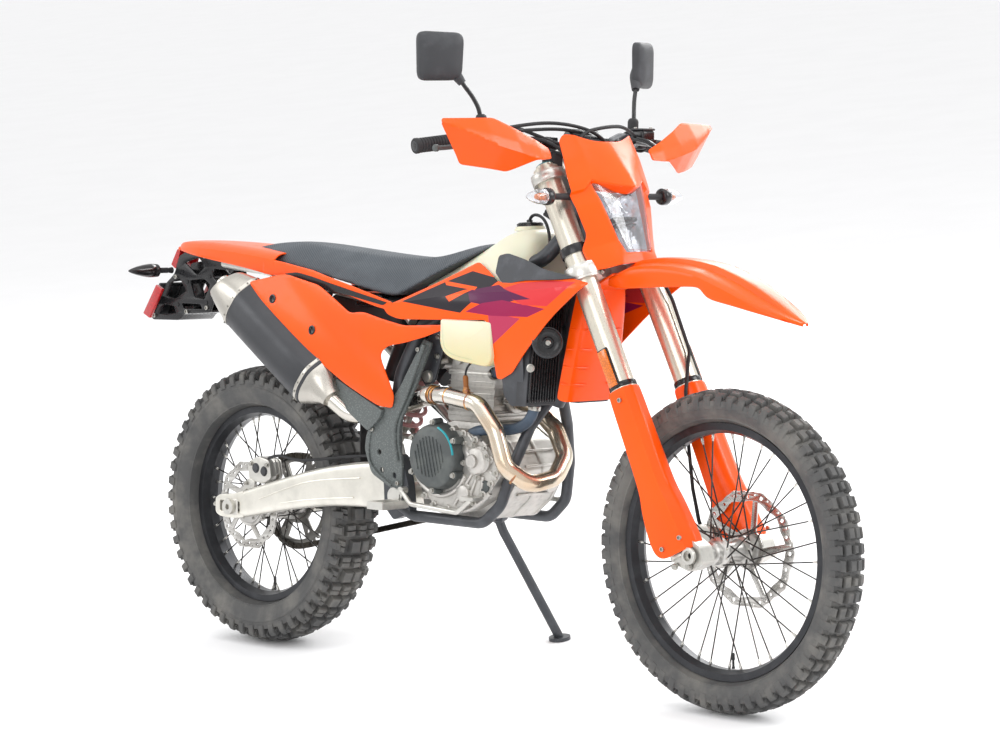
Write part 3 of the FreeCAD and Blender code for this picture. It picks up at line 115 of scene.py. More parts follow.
class Finish:
    def __init__(self, name, **constants):
        self.material = bpy.data.materials.new(name)
        self.material.use_nodes = True
        self.tree = self.material.node_tree
        self.shader = self.tree.nodes["Principled BSDF"]
        self.set(**constants)

    def set(self, **values):
        names = {"colour": "Base Color", "roughness": "Roughness", "metallic": "Metallic",
                 "coat": "Coat Weight",
                 "coatRoughness": "Coat Roughness", "specular": "Specular IOR Level",
                 "glow": "Emission Strength",
                 "glowColour": "Emission Color", "clearness": "Transmission Weight", "ior": "IOR",
                 "alpha": "Alpha",
                 "depth": "Subsurface Weight", "depthScale": "Subsurface Scale", "anisotropy": "Anisotropic",
                 "sheen": "Sheen Weight", "normal": "Normal"}
        for key, value in values.items():
            self.feed(self.shader.inputs[names[key]], value)
        return self

    def feed(self, socket, value):
        if isinstance(value, Value):
            self.tree.links.new(value.socket, socket)
        elif value is not None:
            socket.default_value = value

    def node(self, kind, settings=None, inputs=None, output=0):
        made = self.tree.nodes.new(kind)
        for key, value in (settings or {}).items():
            if key == "stops":
                ramp = made.color_ramp
                while len(ramp.elements) < len(value):
                    ramp.elements.new(0.5)
                for element, (place, tone) in zip(ramp.elements, value):
                    element.position = place
                    element.color = tone
            elif key == "interpolation":
                made.color_ramp.interpolation = value
            else:
                setattr(made, key, value)
        given = inputs.items() if isinstance(inputs, dict) else enumerate(inputs or [])
        for key, value in given:
            self.feed(made.inputs[key], value)
        return Value(self, made.outputs[output])

    def place(self, scale=(1.0, 1.0, 1.0)):
        # upright coordinates of the motorcycle, in metres
        own = self.node("ShaderNodeTexCoord", output="Object")
        back = unlean.inverted().to_3x3() @ Vector(stance["shift"])
        turned = self.node("ShaderNodeMapping", {}, {
            "Vector": own, "Location": tuple(-back), "Rotation": (math.radians(stance["leanDegrees"]),
                                            0.0, 0.0)})
        if tuple(scale) == (1.0, 1.0, 1.0):
            return turned
        return self.node("ShaderNodeMapping", {}, {"Vector": turned, "Scale": scale})

    def axes(self, vector=None):
        split = self.node("ShaderNodeSeparateXYZ", {}, [vector or self.place()])
        outputs = split.socket.node.outputs
        return Value(self, outputs[0]), Value(self, outputs[1]), Value(self, outputs[2])

    def noise(self, scale, detail=3.0, roughness=0.55, vector=None, distortion=0.0):
        return self.node("ShaderNodeTexNoise", {}, {
            "Vector": vector or self.place(), "Scale": scale, "Detail": detail, "Roughness": roughness,
            "Distortion": distortion})

    def cells(self, scale, vector=None, feature="F1"):
        return self.node("ShaderNodeTexVoronoi", {"feature": feature},
                         {"Vector": vector or self.place(), "Scale": scale})

    def mix(self, factor, first, second, kind="MIX"):
        return self.node("ShaderNodeMix", {"data_type": "RGBA", "blend_type": kind},
                         {0: factor, 6: first, 7: second}, 2)

    def span(self, value, low, high, first=0.0, second=1.0, smooth=True):
        kind = "SMOOTHSTEP" if smooth else "LINEAR"
        return self.node("ShaderNodeMapRange", {"interpolation_type": kind},
                         [value, low, high, first, second])

    def bump(self, height, strength=0.3, distance=0.001, normal=None):
        return self.node("ShaderNodeBump", {}, {
            "Height": height, "Strength": strength, "Distance": distance, "Normal": normal})


def mouldedPlastic(name, tone, roughness=0.32, grain=0.15, coat=0.12, wander=0.10):
    f = Finish(name, coatRoughness=0.16, specular=0.26)
    cloudy = f.noise(5.0, 2.0)
    fine = f.noise(900.0, 2.0)
    worn = f.noise(38.0, 4.0, 0.7)
    dark = tuple(c * (1.0 - wander) for c in tone[:3]) + (1.0,)
    f.set(colour=f.mix(f.span(cloudy, 0.35, 0.65), tone, dark),
          roughness=roughness + (f.span(worn, 0.5, 0.75) * 0.12 + (fine - 0.5) * 0.06),
          coat=coat - f.span(worn, 0.55, 0.8) * coat * 0.5,
          normal=f.bump(fine, grain, 0.00015, f.bump(cloudy, 0.06, 0.004)))
    return f.material


def grainedPlastic(name, tone, roughness=0.55, size=1400.0, depth=0.35):
    f = Finish(name, specular=0.4)
    pits = f.cells(size)
    broad = f.noise(14.0, 4.0, 0.6)
    dusty = tuple(min(1.0, c * 1.9 + 0.006) for c in tone[:3]) + (1.0,)
    f.set(colour=f.mix(f.span(broad, 0.45, 0.8), tone, dusty),
          roughness=roughness + (broad - 0.5) * 0.25,
          normal=f.bump(pits, depth, 0.0002))
    return f.material


def castMetal(name, tone, roughness=0.42, grain=420.0, depth=0.35, metallic=0.85, grime=0.5):
    f = Finish(name)
    sand = f.noise(grain, 3.0, 0.6)
    broad = f.noise(16.0, 5.0, 0.6)
    pool = f.noise(55.0, 3.0, 0.7)
    dull = tuple(c * 0.62 for c in tone[:3]) + (1.0,)
    f.set(colour=f.mix(f.span(pool, 0.46, 0.78) * grime, f.mix(f.span(broad, 0.4, 0.7), tone,
                                            tuple(c * 0.86 for c in tone[:3]) + (1.0,)), dull),
          roughness=roughness + (broad - 0.5) * 0.2 + (sand - 0.5) * 0.1,
          metallic=metallic - f.span(pool, 0.5, 0.8) * 0.25,
          normal=f.bump(sand, depth, 0.0004, f.bump(broad, 0.12, 0.004)))
    return f.material


def drawnMetal(name, tone, roughness=0.26, lines=(40.0, 40.0, 900.0), metallic=0.95):
    f = Finish(name)
    streak = f.noise(1.0, 2.0, 0.5, f.place(lines))
    broad = f.noise(9.0, 3.0)
    f.set(colour=f.mix(f.span(broad, 0.35, 0.7), tone, tuple(c * 0.9 for c in tone[:3]) + (1.0,)),
          roughness=roughness + (streak - 0.5) * 0.18 + (broad - 0.5) * 0.08,
          metallic=metallic - f.span(broad, 0.6, 0.85) * 0.08,
          normal=f.bump(streak, 0.06, 0.0003))
    return f.material


def powderCoat(name, tone, roughness=0.42, metallic=0.25):
    f = Finish(name, specular=0.5)
    peel = f.noise(700.0, 2.0)
    broad = f.noise(18.0, 4.0, 0.6)
    f.set(colour=f.mix(f.span(broad, 0.4, 0.75), tone, tuple(c * 1.35 + 0.004 for c in tone[:3]) + (1.0,)),
          roughness=roughness + (broad - 0.5) * 0.2,
          metallic=metallic - f.span(broad, 0.55, 0.8) * 0.1,
          normal=f.bump(peel, 0.12, 0.0003))
    return f.material


def tyreRubber(name):
    f = Finish(name, specular=0.35)
    fine = f.noise(650.0, 3.0, 0.6)
    broad = f.noise(12.0, 4.0, 0.6)
    scuffs = f.noise(1.0, 3.0, 0.6, f.place((60.0, 260.0, 60.0)))
    f.set(colour=f.mix(f.span(broad, 0.4, 0.75), paint(74, 74, 74), paint(106, 104, 100)),
          roughness=0.62 + (scuffs - 0.5) * 0.3 + (fine - 0.5) * 0.1,
          normal=f.bump(fine, 0.25, 0.0005, f.bump(scuffs, 0.1, 0.0008)))
    return f.material


def softRubber(name, tone, roughness=0.6):
    f = Finish(name, specular=0.35)
    fine = f.noise(520.0, 3.0)
    broad = f.noise(24.0, 3.0)
    f.set(colour=f.mix(f.span(broad, 0.35, 0.75), tone, tuple(c * 1.7 + 0.004 for c in tone[:3]) + (1.0,)),
          roughness=roughness + (broad - 0.5) * 0.25, normal=f.bump(fine, 0.3, 0.0003))
    return f.material


def groundDisc(name, axle):
    f = Finish(name)
    x, _, z = f.axes()
    dx = x - axle[0] / 1000.0
    dz = z - axle[1] / 1000.0
    radius = (dx * dx + dz * dz) ** 0.5
    rings = f.noise(1.0, 2.0, 0.5, f.node("ShaderNodeCombineXYZ", {}, [radius * 2600.0, 0.0, 0.0]))
    broad = f.noise(20.0, 3.0)
    f.set(colour=f.mix(f.span(broad, 0.4, 0.7), paint(196, 194, 190), paint(160, 157, 152)),
          roughness=0.24 + (rings - 0.5) * 0.25, metallic=0.96 - f.span(broad, 0.6, 0.8) * 0.1,
          normal=f.bump(rings, 0.12, 0.0002))
    return f.material


def agedTank(name):
    f = Finish(name, depthScale=0.02, specular=0.4, coatRoughness=0.2)
    f.set(depth=0.25)
    z = f.axes()[2]
    cloudy = f.noise(7.0, 3.0)
    fine = f.noise(600.0, 2.0)
    # darker and yellower towards the bottom
    lowerShare = f.span(z + (cloudy - 0.5) * 0.03, 0.70, 0.86)
    f.set(colour=f.mix(lowerShare, paint(204, 194, 146), paint(216, 211, 188)),
          roughness=0.36 + (cloudy - 0.5) * 0.15, coat=0.15 + (cloudy - 0.5) * 0.1,
          normal=f.bump(fine, 0.08, 0.0003, f.bump(cloudy, 0.1, 0.006)))
    return f.material


def tintedPipe(name):
    f = Finish(name)
    x = f.axes()[0]
    streak = f.noise(1.0, 2.0, 0.5, f.place((260.0, 260.0, 260.0)))
    cloudy = f.noise(9.0, 4.0, 0.6)
    heat = f.span(x + (cloudy - 0.5) * 0.09, 0.0, 0.22)
    warm = f.mix(f.span(cloudy, 0.42, 0.62), paint(212, 200, 180), paint(206, 178, 146))
    f.set(colour=f.mix(heat * 0.75, paint(206, 202, 194), warm),
          roughness=0.2 + (streak - 0.5) * 0.12 + (cloudy - 0.5) * 0.1, metallic=0.97 - heat * 0.05,
          normal=f.bump(streak, 0.04, 0.0004))
    return f.material


def goldenWeld(name):
    f = Finish(name)
    ripple = f.noise(900.0, 2.0)
    band = f.noise(60.0, 2.0)
    f.set(colour=f.mix(f.span(band, 0.35, 0.65), paint(206, 150, 84), paint(150, 104, 84)),
          roughness=0.32 + (ripple - 0.5) * 0.2, metallic=0.95 - (band - 0.5) * 0.1,
          normal=f.bump(ripple, 0.5, 0.0006))
    return f.material


def ribbedSeat(name):
    f = Finish(name, specular=0.3)
    x, y, z = f.axes()
    # small raised squares in rows across the cover
    u = f.node("ShaderNodeMath", {"operation": "SINE"}, [(x + z * 0.35) * 900.0])
    v = f.node("ShaderNodeMath", {"operation": "SINE"}, [(z * 0.9 + y * 0.55 - x * 0.12) * 900.0])
    grid = f.span(u * v, -0.35, 0.5)
    fine = f.noise(1500.0, 2.0)
    broad = f.noise(9.0, 3.0)
    # the raised squares are painted lighter than the grooves between them, a painted highlight on the relief
    f.set(colour=f.mix(grid * 0.55, f.mix(f.span(broad, 0.35, 0.7), paint(62, 67, 72), paint(76, 81, 86)),
                       paint(96, 102, 108)), roughness=0.66 - grid * 0.12 + (broad - 0.5) * 0.15,
          normal=f.bump(grid, 0.45, 0.0008, f.bump(fine, 0.15, 0.0002)))
    return f.material


def lampGlass(name):
    f = Finish(name, clearness=0.96, ior=1.35, specular=0.5, coatRoughness=0.03)
    dust = f.noise(60.0, 3.0)
    fine = f.noise(9.0, 2.0)
    f.set(colour=f.mix(f.span(dust, 0.5, 0.9), (0.97, 0.98, 1.0, 1.0), (0.9, 0.92, 0.95, 1.0)),
          roughness=0.03 + f.span(dust, 0.5, 0.9) * 0.05, normal=f.bump(fine, 0.04, 0.002))
    return f.material


def brightReflector(name, tone=(0.9, 0.92, 0.95, 1.0), glowing=0.0, facetDepth=0.35):
    f = Finish(name, glow=glowing, glowColour=(0.9, 0.94, 1.0, 1.0))
    facets = f.cells(70.0)
    f.set(colour=f.mix(f.span(facets, 0.0, 0.6), tone, tuple(c * 0.55 for c in tone[:3]) + (1.0,)),
          roughness=0.12 + facets * 0.1, metallic=0.95 - facets * 0.05,
          normal=f.bump(facets, facetDepth, 0.003))
    return f.material


def prismLens(name, tone, glowing=0.05):
    f = Finish(name, coatRoughness=0.05, specular=0.6)
    grid = f.cells(240.0, f.place((1.0, 1.0, 1.0)), "DISTANCE_TO_EDGE")
    broad = f.noise(30.0, 2.0)
    f.set(colour=f.mix(f.span(grid, 0.0, 0.35), tuple(c * 0.55 for c in tone[:3]) + (1.0,), tone),
          roughness=0.14 + (broad - 0.5) * 0.08, coat=0.6 - (broad - 0.5) * 0.2,
          normal=f.bump(grid, 0.25, 0.0008))
    # a faint glow on these lenses, which are not lit: painted glow
    f.set(glow=glowing)
    f.set(glowColour=f.mix(f.span(broad, 0.3, 0.7), tone, tuple(c * 0.7 for c in tone[:3]) + (1.0,)))
    return f.material


shards = [
    # finish, then the corners of each plain shard in millimetres along and up; a later one lies on top
    ("night", [(-128, 861), (-9, 908), (68, 935), (180, 920), (138, 884), (75, 842), (39, 845)]),
    ("dusk", [(166, 846), (267, 836), (175, 774)]),
    ("haze", [(95, 893), (184, 908), (276, 882), (220, 868), (145, 863), (108, 867)]),
    ("plum", [(75, 838), (145, 866), (209, 875), (345, 860), (267, 832), (174, 839)]),
    ("crimson", [(188, 896), (252, 914), (350, 922), (434, 921), (351, 866), (276, 866)]),
    ("haze", [(180, 906), (232, 895), (300, 880), (252, 876), (196, 886)]),
    ("base", [(-12, 911), (116, 901), (113, 894), (2, 902)]),
    ("base", [(116, 900), (76, 893), (24, 877), (39, 866)]),
]


def shardPanel(name, base):
    # plain shards of black, purple and crimson over the orange panel
    f = Finish(name, coatRoughness=0.1, specular=0.2)
    x, _, z = f.axes()
    along, up = x * 1000.0, z * 1000.0
    fine = f.noise(900.0, 2.0)
    cloudy = f.noise(5.0, 2.0)
    worn = f.noise(36.0, 4.0, 0.7)

    def patch(corners):
        # one inside a convex outline that runs clockwise or the other way
        turn = sum((q[0] - p[0]) * (q[1] + p[1]) for p, q in zip(corners, corners[1:] + corners[:1]))
        area = None
        for p, q in zip(corners, corners[1:] + corners[:1]):
            way = Vector((q[0] - p[0], q[1] - p[1])).normalized() * (1.0 if turn > 0 else -1.0)
            reach = (along - p[0]) * way.y - (up - p[1]) * way.x
            edge = f.span(reach, -0.4, 0.4, smooth=False)
            area = edge if area is None else area * edge
        return area

    tones = {"night": paint(34, 30, 36), "haze": paint(84, 24, 66), "plum": paint(142, 22, 70),
             "crimson": paint(202, 50, 54),
             "dusk": paint(172, 50, 82), "base": base}
    tone = f.mix(f.span(cloudy, 0.35, 0.65), base, tuple(c * 0.92 for c in base[:3]) + (1.0,))
    for key, corners in shards:
        tone = f.mix(patch(corners), tone, tones[key])
    f.set(colour=tone, roughness=0.3 + f.span(worn, 0.5, 0.75) * 0.1 + (fine - 0.5) * 0.05,
          coat=0.12 - f.span(worn, 0.55, 0.8) * 0.08, normal=f.bump(fine, 0.1, 0.00012))
    return f.material


def knurledPlastic(name, tone):
    # moulded grip pattern of small raised pips
    f = Finish(name, specular=0.35)
    pips = f.cells(230.0, f.place((1.0, 0.3, 1.0)))
    broad = f.noise(18.0, 3.0)
    # the hollows between the pips are painted darker, painted shade in the recesses
    f.set(colour=f.mix(f.span(pips, 0.1, 0.5), tone, tuple(c * 0.6 for c in tone[:3]) + (1.0,)),
          roughness=0.55 + (broad - 0.5) * 0.16, normal=f.bump(f.span(pips, 0.15, 0.45, 1.0, 0.0), 0.6,
                                            0.0007))
    return f.material


def coverCoat(name):
    f = Finish(name)
    fine = f.noise(900.0, 3.0)
    broad = f.noise(20.0, 3.0)
    f.set(colour=f.mix(f.span(broad, 0.4, 0.7), paint(78, 82, 82), paint(96, 100, 98)),
          roughness=0.5 + (broad - 0.5) * 0.2, metallic=0.45 + (broad - 0.5) * 0.1,
          normal=f.bump(fine, 0.3, 0.0003))
    return f.material


orange = paint(250, 84, 2)
finishes = {
    "tyre": tyreRubber("tyreRubber"),
    "rim": powderCoat("rimBlack", paint(50, 51, 54), 0.34, 0.6),
    "spoke": drawnMetal("spokeSteel", paint(70, 68, 66), 0.34),
    "nipple": drawnMetal("nippleSilver", paint(206, 204, 198), 0.28),
    "frontDisc": groundDisc("frontDiscSteel", stance["frontAxle"]),
    "rearDisc": groundDisc("rearDiscSteel", stance["rearAxle"]),
    "sprocket": drawnMetal("sprocketSteel", paint(120, 118, 114), 0.32),
    "chain": drawnMetal("chainSteel", paint(70, 66, 60), 0.38),
    "hub": castMetal("hubSilver", paint(196, 194, 190), 0.34, 500.0, 0.2),
    # the bowl glows faintly, a painted reflection of the studio light in the chrome
    "lampBowl": brightReflector("lampBowlChrome", (0.74, 0.75, 0.79, 1.0), 0.16),
    "fork": drawnMetal("forkSilver", paint(212, 206, 192), 0.3, (500.0, 500.0, 30.0), 0.8),
    "cast": castMetal("castSilver", paint(206, 204, 198), 0.36, 420.0, 0.3, 0.85, 0.5),
    "arm": castMetal("swingarmSilver", paint(222, 219, 210), 0.36, 380.0, 0.2, 0.8, 0.15),
    "frame": powderCoat("frameGrey", paint(62, 64, 68), 0.4, 0.35),
    "engine": castMetal("engineGrey", paint(196, 193, 188), 0.42, 460.0, 0.45, 0.8, 0.75),
    "cover": coverCoat("coverBlack"),
    "orange": mouldedPlastic("orangePlastic", orange),
    "shards": shardPanel("panelShards", orange),
    "dark": grainedPlastic("darkPlastic", paint(50, 51, 54)),
    "grey": grainedPlastic("greyPlastic", paint(62, 64, 68), 0.6, 1200.0, 0.5),
    "gloss": mouldedPlastic("blackGloss", paint(34, 34, 36), 0.26, 0.1, 0.3, 0.3),
    "tank": agedTank("tankWhite"),
    "seat": ribbedSeat("seatCover"),
    "grip": softRubber("gripRubber", paint(30, 30, 32)),
    "hose": softRubber("hoseBlueGrey", paint(58, 70, 84), 0.45),
    "pipe": tintedPipe("pipeSteel"),
    "weld": goldenWeld("pipeWeld"),
    "sleeve": drawnMetal("silencerGrey", paint(66, 67, 70), 0.42, (60.0, 60.0, 60.0), 0.55),
    "endCap": drawnMetal("endCapSteel", paint(190, 186, 178), 0.3, (300.0, 300.0, 300.0), 0.9),
    "bolt": drawnMetal("boltSteel", paint(176, 174, 168), 0.3, (200.0, 200.0, 200.0), 0.92),
    "glass": lampGlass("clearLens"),
    "reflector": brightReflector("lampReflector"),
    "amber": prismLens("amberLens", paint(236, 120, 18)),
    "red": prismLens("redLens", paint(196, 22, 26)),
    "smoke": mouldedPlastic("smokeLens", paint(26, 24, 26), 0.14, 0.05, 0.6, 0.2),
    "mirror": brightReflector("mirrorGlass", (0.8, 0.84, 0.88, 1.0), 0.0, 0.01),
    "knurl": knurledPlastic("knurledGrey", paint(112, 118, 117)),
    "teal": mouldedPlastic("tealEnamel", paint(40, 148, 158), 0.3, 0.1, 0.3, 0.2),
    "brown": mouldedPlastic("sensorBrown", paint(150, 92, 44), 0.4, 0.2, 0.1, 0.2),
    "spring": mouldedPlastic("springEnamel", paint(206, 150, 150), 0.3, 0.1, 0.4, 0.2),
}

nodeFinishes = {
    "front_tyre": "tyre", "rear_tyre": "tyre", "front_rim": "rim", "rear_rim": "rim", "front_hub": "spoke",
    "rear_hub": "spoke", "front_disc": "frontDisc", "rear_disc": "rearDisc", "rear_sprocket": "sprocket",
    "triple_clamps": "cast", "handlebar": "frame", "grips": "grip", "fork_upper_tubes": "fork",
    "fork_lowers": "cast", "fork_guards": "orange", "front_axle": "cast", "front_caliper": "cast",
    "front_fender": "orange", "headlamp_mask": "orange", "headlamp": "glass", "handguards": "orange",
    "mirrors": "dark", "hand_controls": "dark", "front_indicators": "dark", "brake_hose": "grip",
    "main_frame": "frame", "subframe": "cast", "frame_guards": "grey", "swingarm": "arm",
                "rear_axle": "cast",
    "swingarm_pivot": "cast", "chain": "chain", "drive_sprocket": "sprocket", "crankcase": "engine",
    "clutch_cover": "cover", "cylinder": "engine", "throttle_body": "engine", "header_pipe": "pipe",
    "silencer": "sleeve", "radiators": "dark", "radiator_guards": "dark", "radiator_shrouds": "shards",
    "fuel_tank": "tank", "fuel_cap": "dark", "seat": "seat", "side_panels": "orange",
                "rear_fender": "orange",
    "plate_bracket": "dark", "tail_lamp": "red", "rear_indicators": "smoke", "shock_absorber": "cast",
    "mud_flap": "grip", "footpegs": "cast", "foot_controls": "cast", "rear_caliper": "engine",
    "coolant_hoses": "hose", "stand_bracket": "frame", "side_stand": "frame",
}
for nodeName, finishName in nodeFinishes.items():
    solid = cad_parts.get(nodeName)
    if solid is not None:
        solid.data.materials.clear()
        solid.data.materials.append(finishes[finishName])
print("finishes made:", len(finishes))


# mesh helpers

def newObject(name, verts, faces, materials):
    mesh = bpy.data.meshes.new(name)
    mesh.from_pydata([tuple(v) for v in verts], [], faces)
    for material in materials:
        mesh.materials.append(material)
    mesh.update()
    obj = bpy.data.objects.new(name, mesh)
    bpy.context.scene.collection.objects.link(obj)
    return obj


def addModifier(obj, kind, **settings):
    modifier = obj.modifiers.new(kind.title(), kind)
    for key, value in settings.items():
        setattr(modifier, key, value)
    return modifier


def baked(obj):
    # turns the modifiers into plain mesh
    bpy.context.view_layer.update()
    graph = bpy.context.evaluated_depsgraph_get()
    mesh = bpy.data.meshes.new_from_object(obj.evaluated_get(graph))
    obj.modifiers.clear()
    old = obj.data
    obj.data = mesh
    bpy.data.meshes.remove(old)
    return obj


def settle(obj, body, nodes=(), sharp=38.0, upright=True):
    # millimetres over mid wheelbase become metres in the leaned frame
    baked(obj)
    obj.data.transform(obj.matrix_world)
    obj.matrix_world = Matrix.Identity(4)
    if upright:
        obj.data.transform(leaned)
    obj.data.shade_smooth()
    if sharp:
        obj.data.set_sharp_from_angle(angle=math.radians(sharp))
    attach(obj, body)
    if nodes:
        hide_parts(*nodes)
    return obj


def merged(name, objects):
    # several finished objects as one
    target = bmesh.new()
    slots = []
    for obj in objects:
        baked(obj)
        start = len(target.faces)
        obj.data.transform(obj.matrix_world)
        target.from_mesh(obj.data)
        target.faces.ensure_lookup_table()
        places = []
        for material in obj.data.materials:
            if material not in slots:
                slots.append(material)
            places.append(slots.index(material))
        for face in target.faces[start:]:
            face.material_index = places[face.material_index] if places else 0
    mesh = bpy.data.meshes.new(name)
    target.to_mesh(mesh)
    target.free()
    for material in slots:
        mesh.materials.append(material)
    for obj in objects:
        data = obj.data
        bpy.data.objects.remove(obj)
        bpy.data.meshes.remove(data)
    whole = bpy.data.objects.new(name, mesh)
    bpy.context.scene.collection.objects.link(whole)
    return whole


def flipped(obj):
    # the same piece on the other side
    mesh = obj.data.copy()
    mesh.transform(Matrix.Scale(-1.0, 4, (0.0, 1.0, 0.0)))
    mesh.flip_normals()
    twin = bpy.data.objects.new(obj.name + "Twin", mesh)
    twin.matrix_world = obj.matrix_world
    bpy.context.scene.collection.objects.link(twin)
    return twin


def outwards(mesh):
    work = bmesh.new()
    work.from_mesh(mesh)
    bmesh.ops.remove_doubles(work, verts=work.verts, dist=0.001)
    bmesh.ops.recalc_face_normals(work, faces=work.faces)
    work.to_mesh(mesh)
    work.free()


def lattice(rows, closed=False, ends=False):
    # quads through rows of points, each row round a section
    count = len(rows[0])
    verts = [p for row in rows for p in row]
    faces = []
    steps = count if closed else count - 1
    for i in range(len(rows) - 1):
        for j in range(steps):
            k = (j + 1) % count
            faces.append((i * count + j, i * count + k, (i + 1) * count + k, (i + 1) * count + j))
    if ends:
        faces.append(tuple(range(count))[::-1])
        faces.append(tuple((len(rows) - 1) * count + j for j in range(count)))
    return verts, faces


def softened(outline, bend, steps=5):
    # a closed outline with its corners rounded; a third number is that corner's own bend
    points = []
    count = len(outline)
    for i in range(count):
        here = Vector(outline[i][:2])
        own = outline[i][2] if len(outline[i]) > 2 else bend
        before = Vector(outline[i - 1][:2]) - here
        after = Vector(outline[(i + 1) % count][:2]) - here
        cutA = min(own, before.length * 0.48)
        cutB = min(own, after.length * 0.48)
        if own < 0.3:
            points.append(here)
            continue
        a = here + before.normalized() * cutA
        b = here + after.normalized() * cutB
        for k in range(steps + 1):
            t = k / steps
            points.append(a * (1 - t) ** 2 + here * (2 * t * (1 - t)) + b * t * t)
    return points


def stepped(points, spacing, closed=True):
    # adds points so that none is further than spacing from the next
    result = []
    count = len(points)
    for i in range(count if closed else count - 1):
        a = points[i]
        b = points[(i + 1) % count]
        parts = max(1, int(math.ceil((b - a).length / spacing)))
        for k in range(parts):
            result.append(a + (b - a) * (k / parts))
    if not closed:
        result.append(points[-1])
    return result


def insidePolygon(points, loop):
    # which of the points lie in the loop
    xs, ys = points[:, 0], points[:, 1]
    found = np.zeros(len(points), bool)
    count = len(loop)
    for i in range(count):
        ax, ay = loop[i]
        bx, by = loop[(i + 1) % count]
        crosses = (ay > ys) != (by > ys)
        with np.errstate(divide="ignore", invalid="ignore"):
            reach = (bx - ax) * (ys - ay) / (by - ay) + ax
        found ^= crosses & (xs < reach)
    return found


def skin(name, outline, lift, spacing=7.0, bend=10.0, creases=(), holes=(), wall=2.6, facing=(0, -1, 0),
         material=None, rim=0.0):
    # a flat outline filled with triangles and lifted into a curved panel with a wall
    border = stepped(softened(outline, bend), spacing)
    loops = [stepped(softened(hole, 3.0), spacing * 0.6) for hole in holes]
    lines = [stepped([Vector(p) for p in crease], spacing, False) for crease in creases]
    points = []
    edges = []
    for loop in [border] + loops:
        first = len(points)
        points += loop
        edges += [(first + i, first + (i + 1) % len(loop)) for i in range(len(loop))]
    for line in lines:
        first = len(points)
        points += line
        edges += [(first + i, first + i + 1) for i in range(len(line) - 1)]
    fixed = np.array([tuple(p) for p in points])
    low = fixed.min(0)
    high = fixed.max(0)
    grid = []
    rowStep = spacing * 0.866
    for j in range(int((high[1] - low[1]) / rowStep) + 2):
        for i in range(int((high[0] - low[0]) / spacing) + 2):
            grid.append((low[0] + (i + 0.5 * (j % 2)) * spacing, low[1] + j * rowStep))
    grid = np.array(grid)
    outlineArray = np.array([tuple(p) for p in border])
    keep = insidePolygon(grid, outlineArray)
    for loop in loops:
        keep &= ~insidePolygon(grid, np.array([tuple(p) for p in loop]))
    grid = grid[keep]
    near = np.min(((grid[:, None, :] - fixed[None, :, :]) ** 2).sum(2), axis=1)
    grid = grid[near > (spacing * 0.55) ** 2]
    points += [Vector(p) for p in grid]
    flat, _, triangles, _, _, _ = delaunay_2d_cdt(points, edges, [], 0, 1e-4)
    centres = np.array([[sum(flat[i][k] for i in t) / len(t) for k in (0, 1)] for t in triangles])
    inside = insidePolygon(centres, outlineArray)
    for loop in loops:
        inside &= ~insidePolygon(centres, np.array([tuple(p) for p in loop]))
    verts = [Vector(lift(p[0], p[1])) for p in flat]
    faces = []
    aim = Vector(facing)
    for t, ok in zip(triangles, inside):
        if ok:
            a, b, c = (verts[i] for i in t)
            if (b - a).cross(c - a).dot(aim) < 0:
                t = t[::-1]
            faces.append(tuple(t))
    obj = newObject(name, verts, faces, [material])
    work = bmesh.new()
    work.from_mesh(obj.data)
    loose = [v for v in work.verts if not v.link_faces]
    bmesh.ops.delete(work, geom=loose, context="VERTS")
    work.to_mesh(obj.data)
    work.free()
    addModifier(obj, "SOLIDIFY", thickness=wall, offset=-1.0)
    if rim:
        addModifier(obj, "BEVEL", width=rim, segments=2, limit_method="ANGLE", angle_limit=math.radians(60))
    return obj


def tubeAlong(name, points, radius, material, sides=12, order=3, steps=10):
    # a round tube on a smooth curve through its control points
    curve = bpy.data.curves.new(name, "CURVE")
    curve.dimensions = "3D"
    spline = curve.splines.new("NURBS")
    spline.points.add(len(points) - 1)
    for target, point in zip(spline.points, points):
        target.co = tuple(point[:3]) + (1.0,)
        target.radius = point[3] if len(point) > 3 else 1.0
    spline.order_u = order
    spline.use_endpoint_u = True
    spline.resolution_u = steps
    curve.bevel_depth = radius
    curve.bevel_resolution = max(1, sides // 4)
    curve.use_fill_caps = True
    curve.materials.append(material)
    obj = bpy.data.objects.new(name, curve)
    bpy.context.scene.collection.objects.link(obj)
    bpy.context.view_layer.update()
    graph = bpy.context.evaluated_depsgraph_get()
    mesh = bpy.data.meshes.new_from_object(obj.evaluated_get(graph))
    bpy.data.objects.remove(obj)
    bpy.data.curves.remove(curve)
    solid = bpy.data.objects.new(name, mesh)
    bpy.context.scene.collection.objects.link(solid)
    return solid


def block(name, centre, size, material, bevel=2.0, turn=None, segments=3, taper=1.0):
    # a small chamfered block; taper narrows its top
    x, y, z = (s / 2.0 for s in size)
    verts = [(-x, -y, -z), (x, -y, -z), (x, y, -z), (-x, y, -z),
             (-x * taper, -y * taper, z), (x * taper, -y * taper, z), (x * taper, y * taper, z),
             (-x * taper, y * taper, z)]
    faces = [(0, 3, 2, 1), (4, 5, 6, 7), (0, 1, 5, 4), (1, 2, 6, 5), (2, 3, 7, 6), (3, 0, 4, 7)]
    obj = newObject(name, verts, faces, [material])
    place = Matrix.Translation(centre) @ (turn.to_4x4() if turn is not None else Matrix.Identity(4))
    obj.data.transform(place)
    if bevel:
        addModifier(obj, "BEVEL", width=bevel, segments=segments, limit_method="ANGLE",
                    angle_limit=math.radians(30))
    return obj


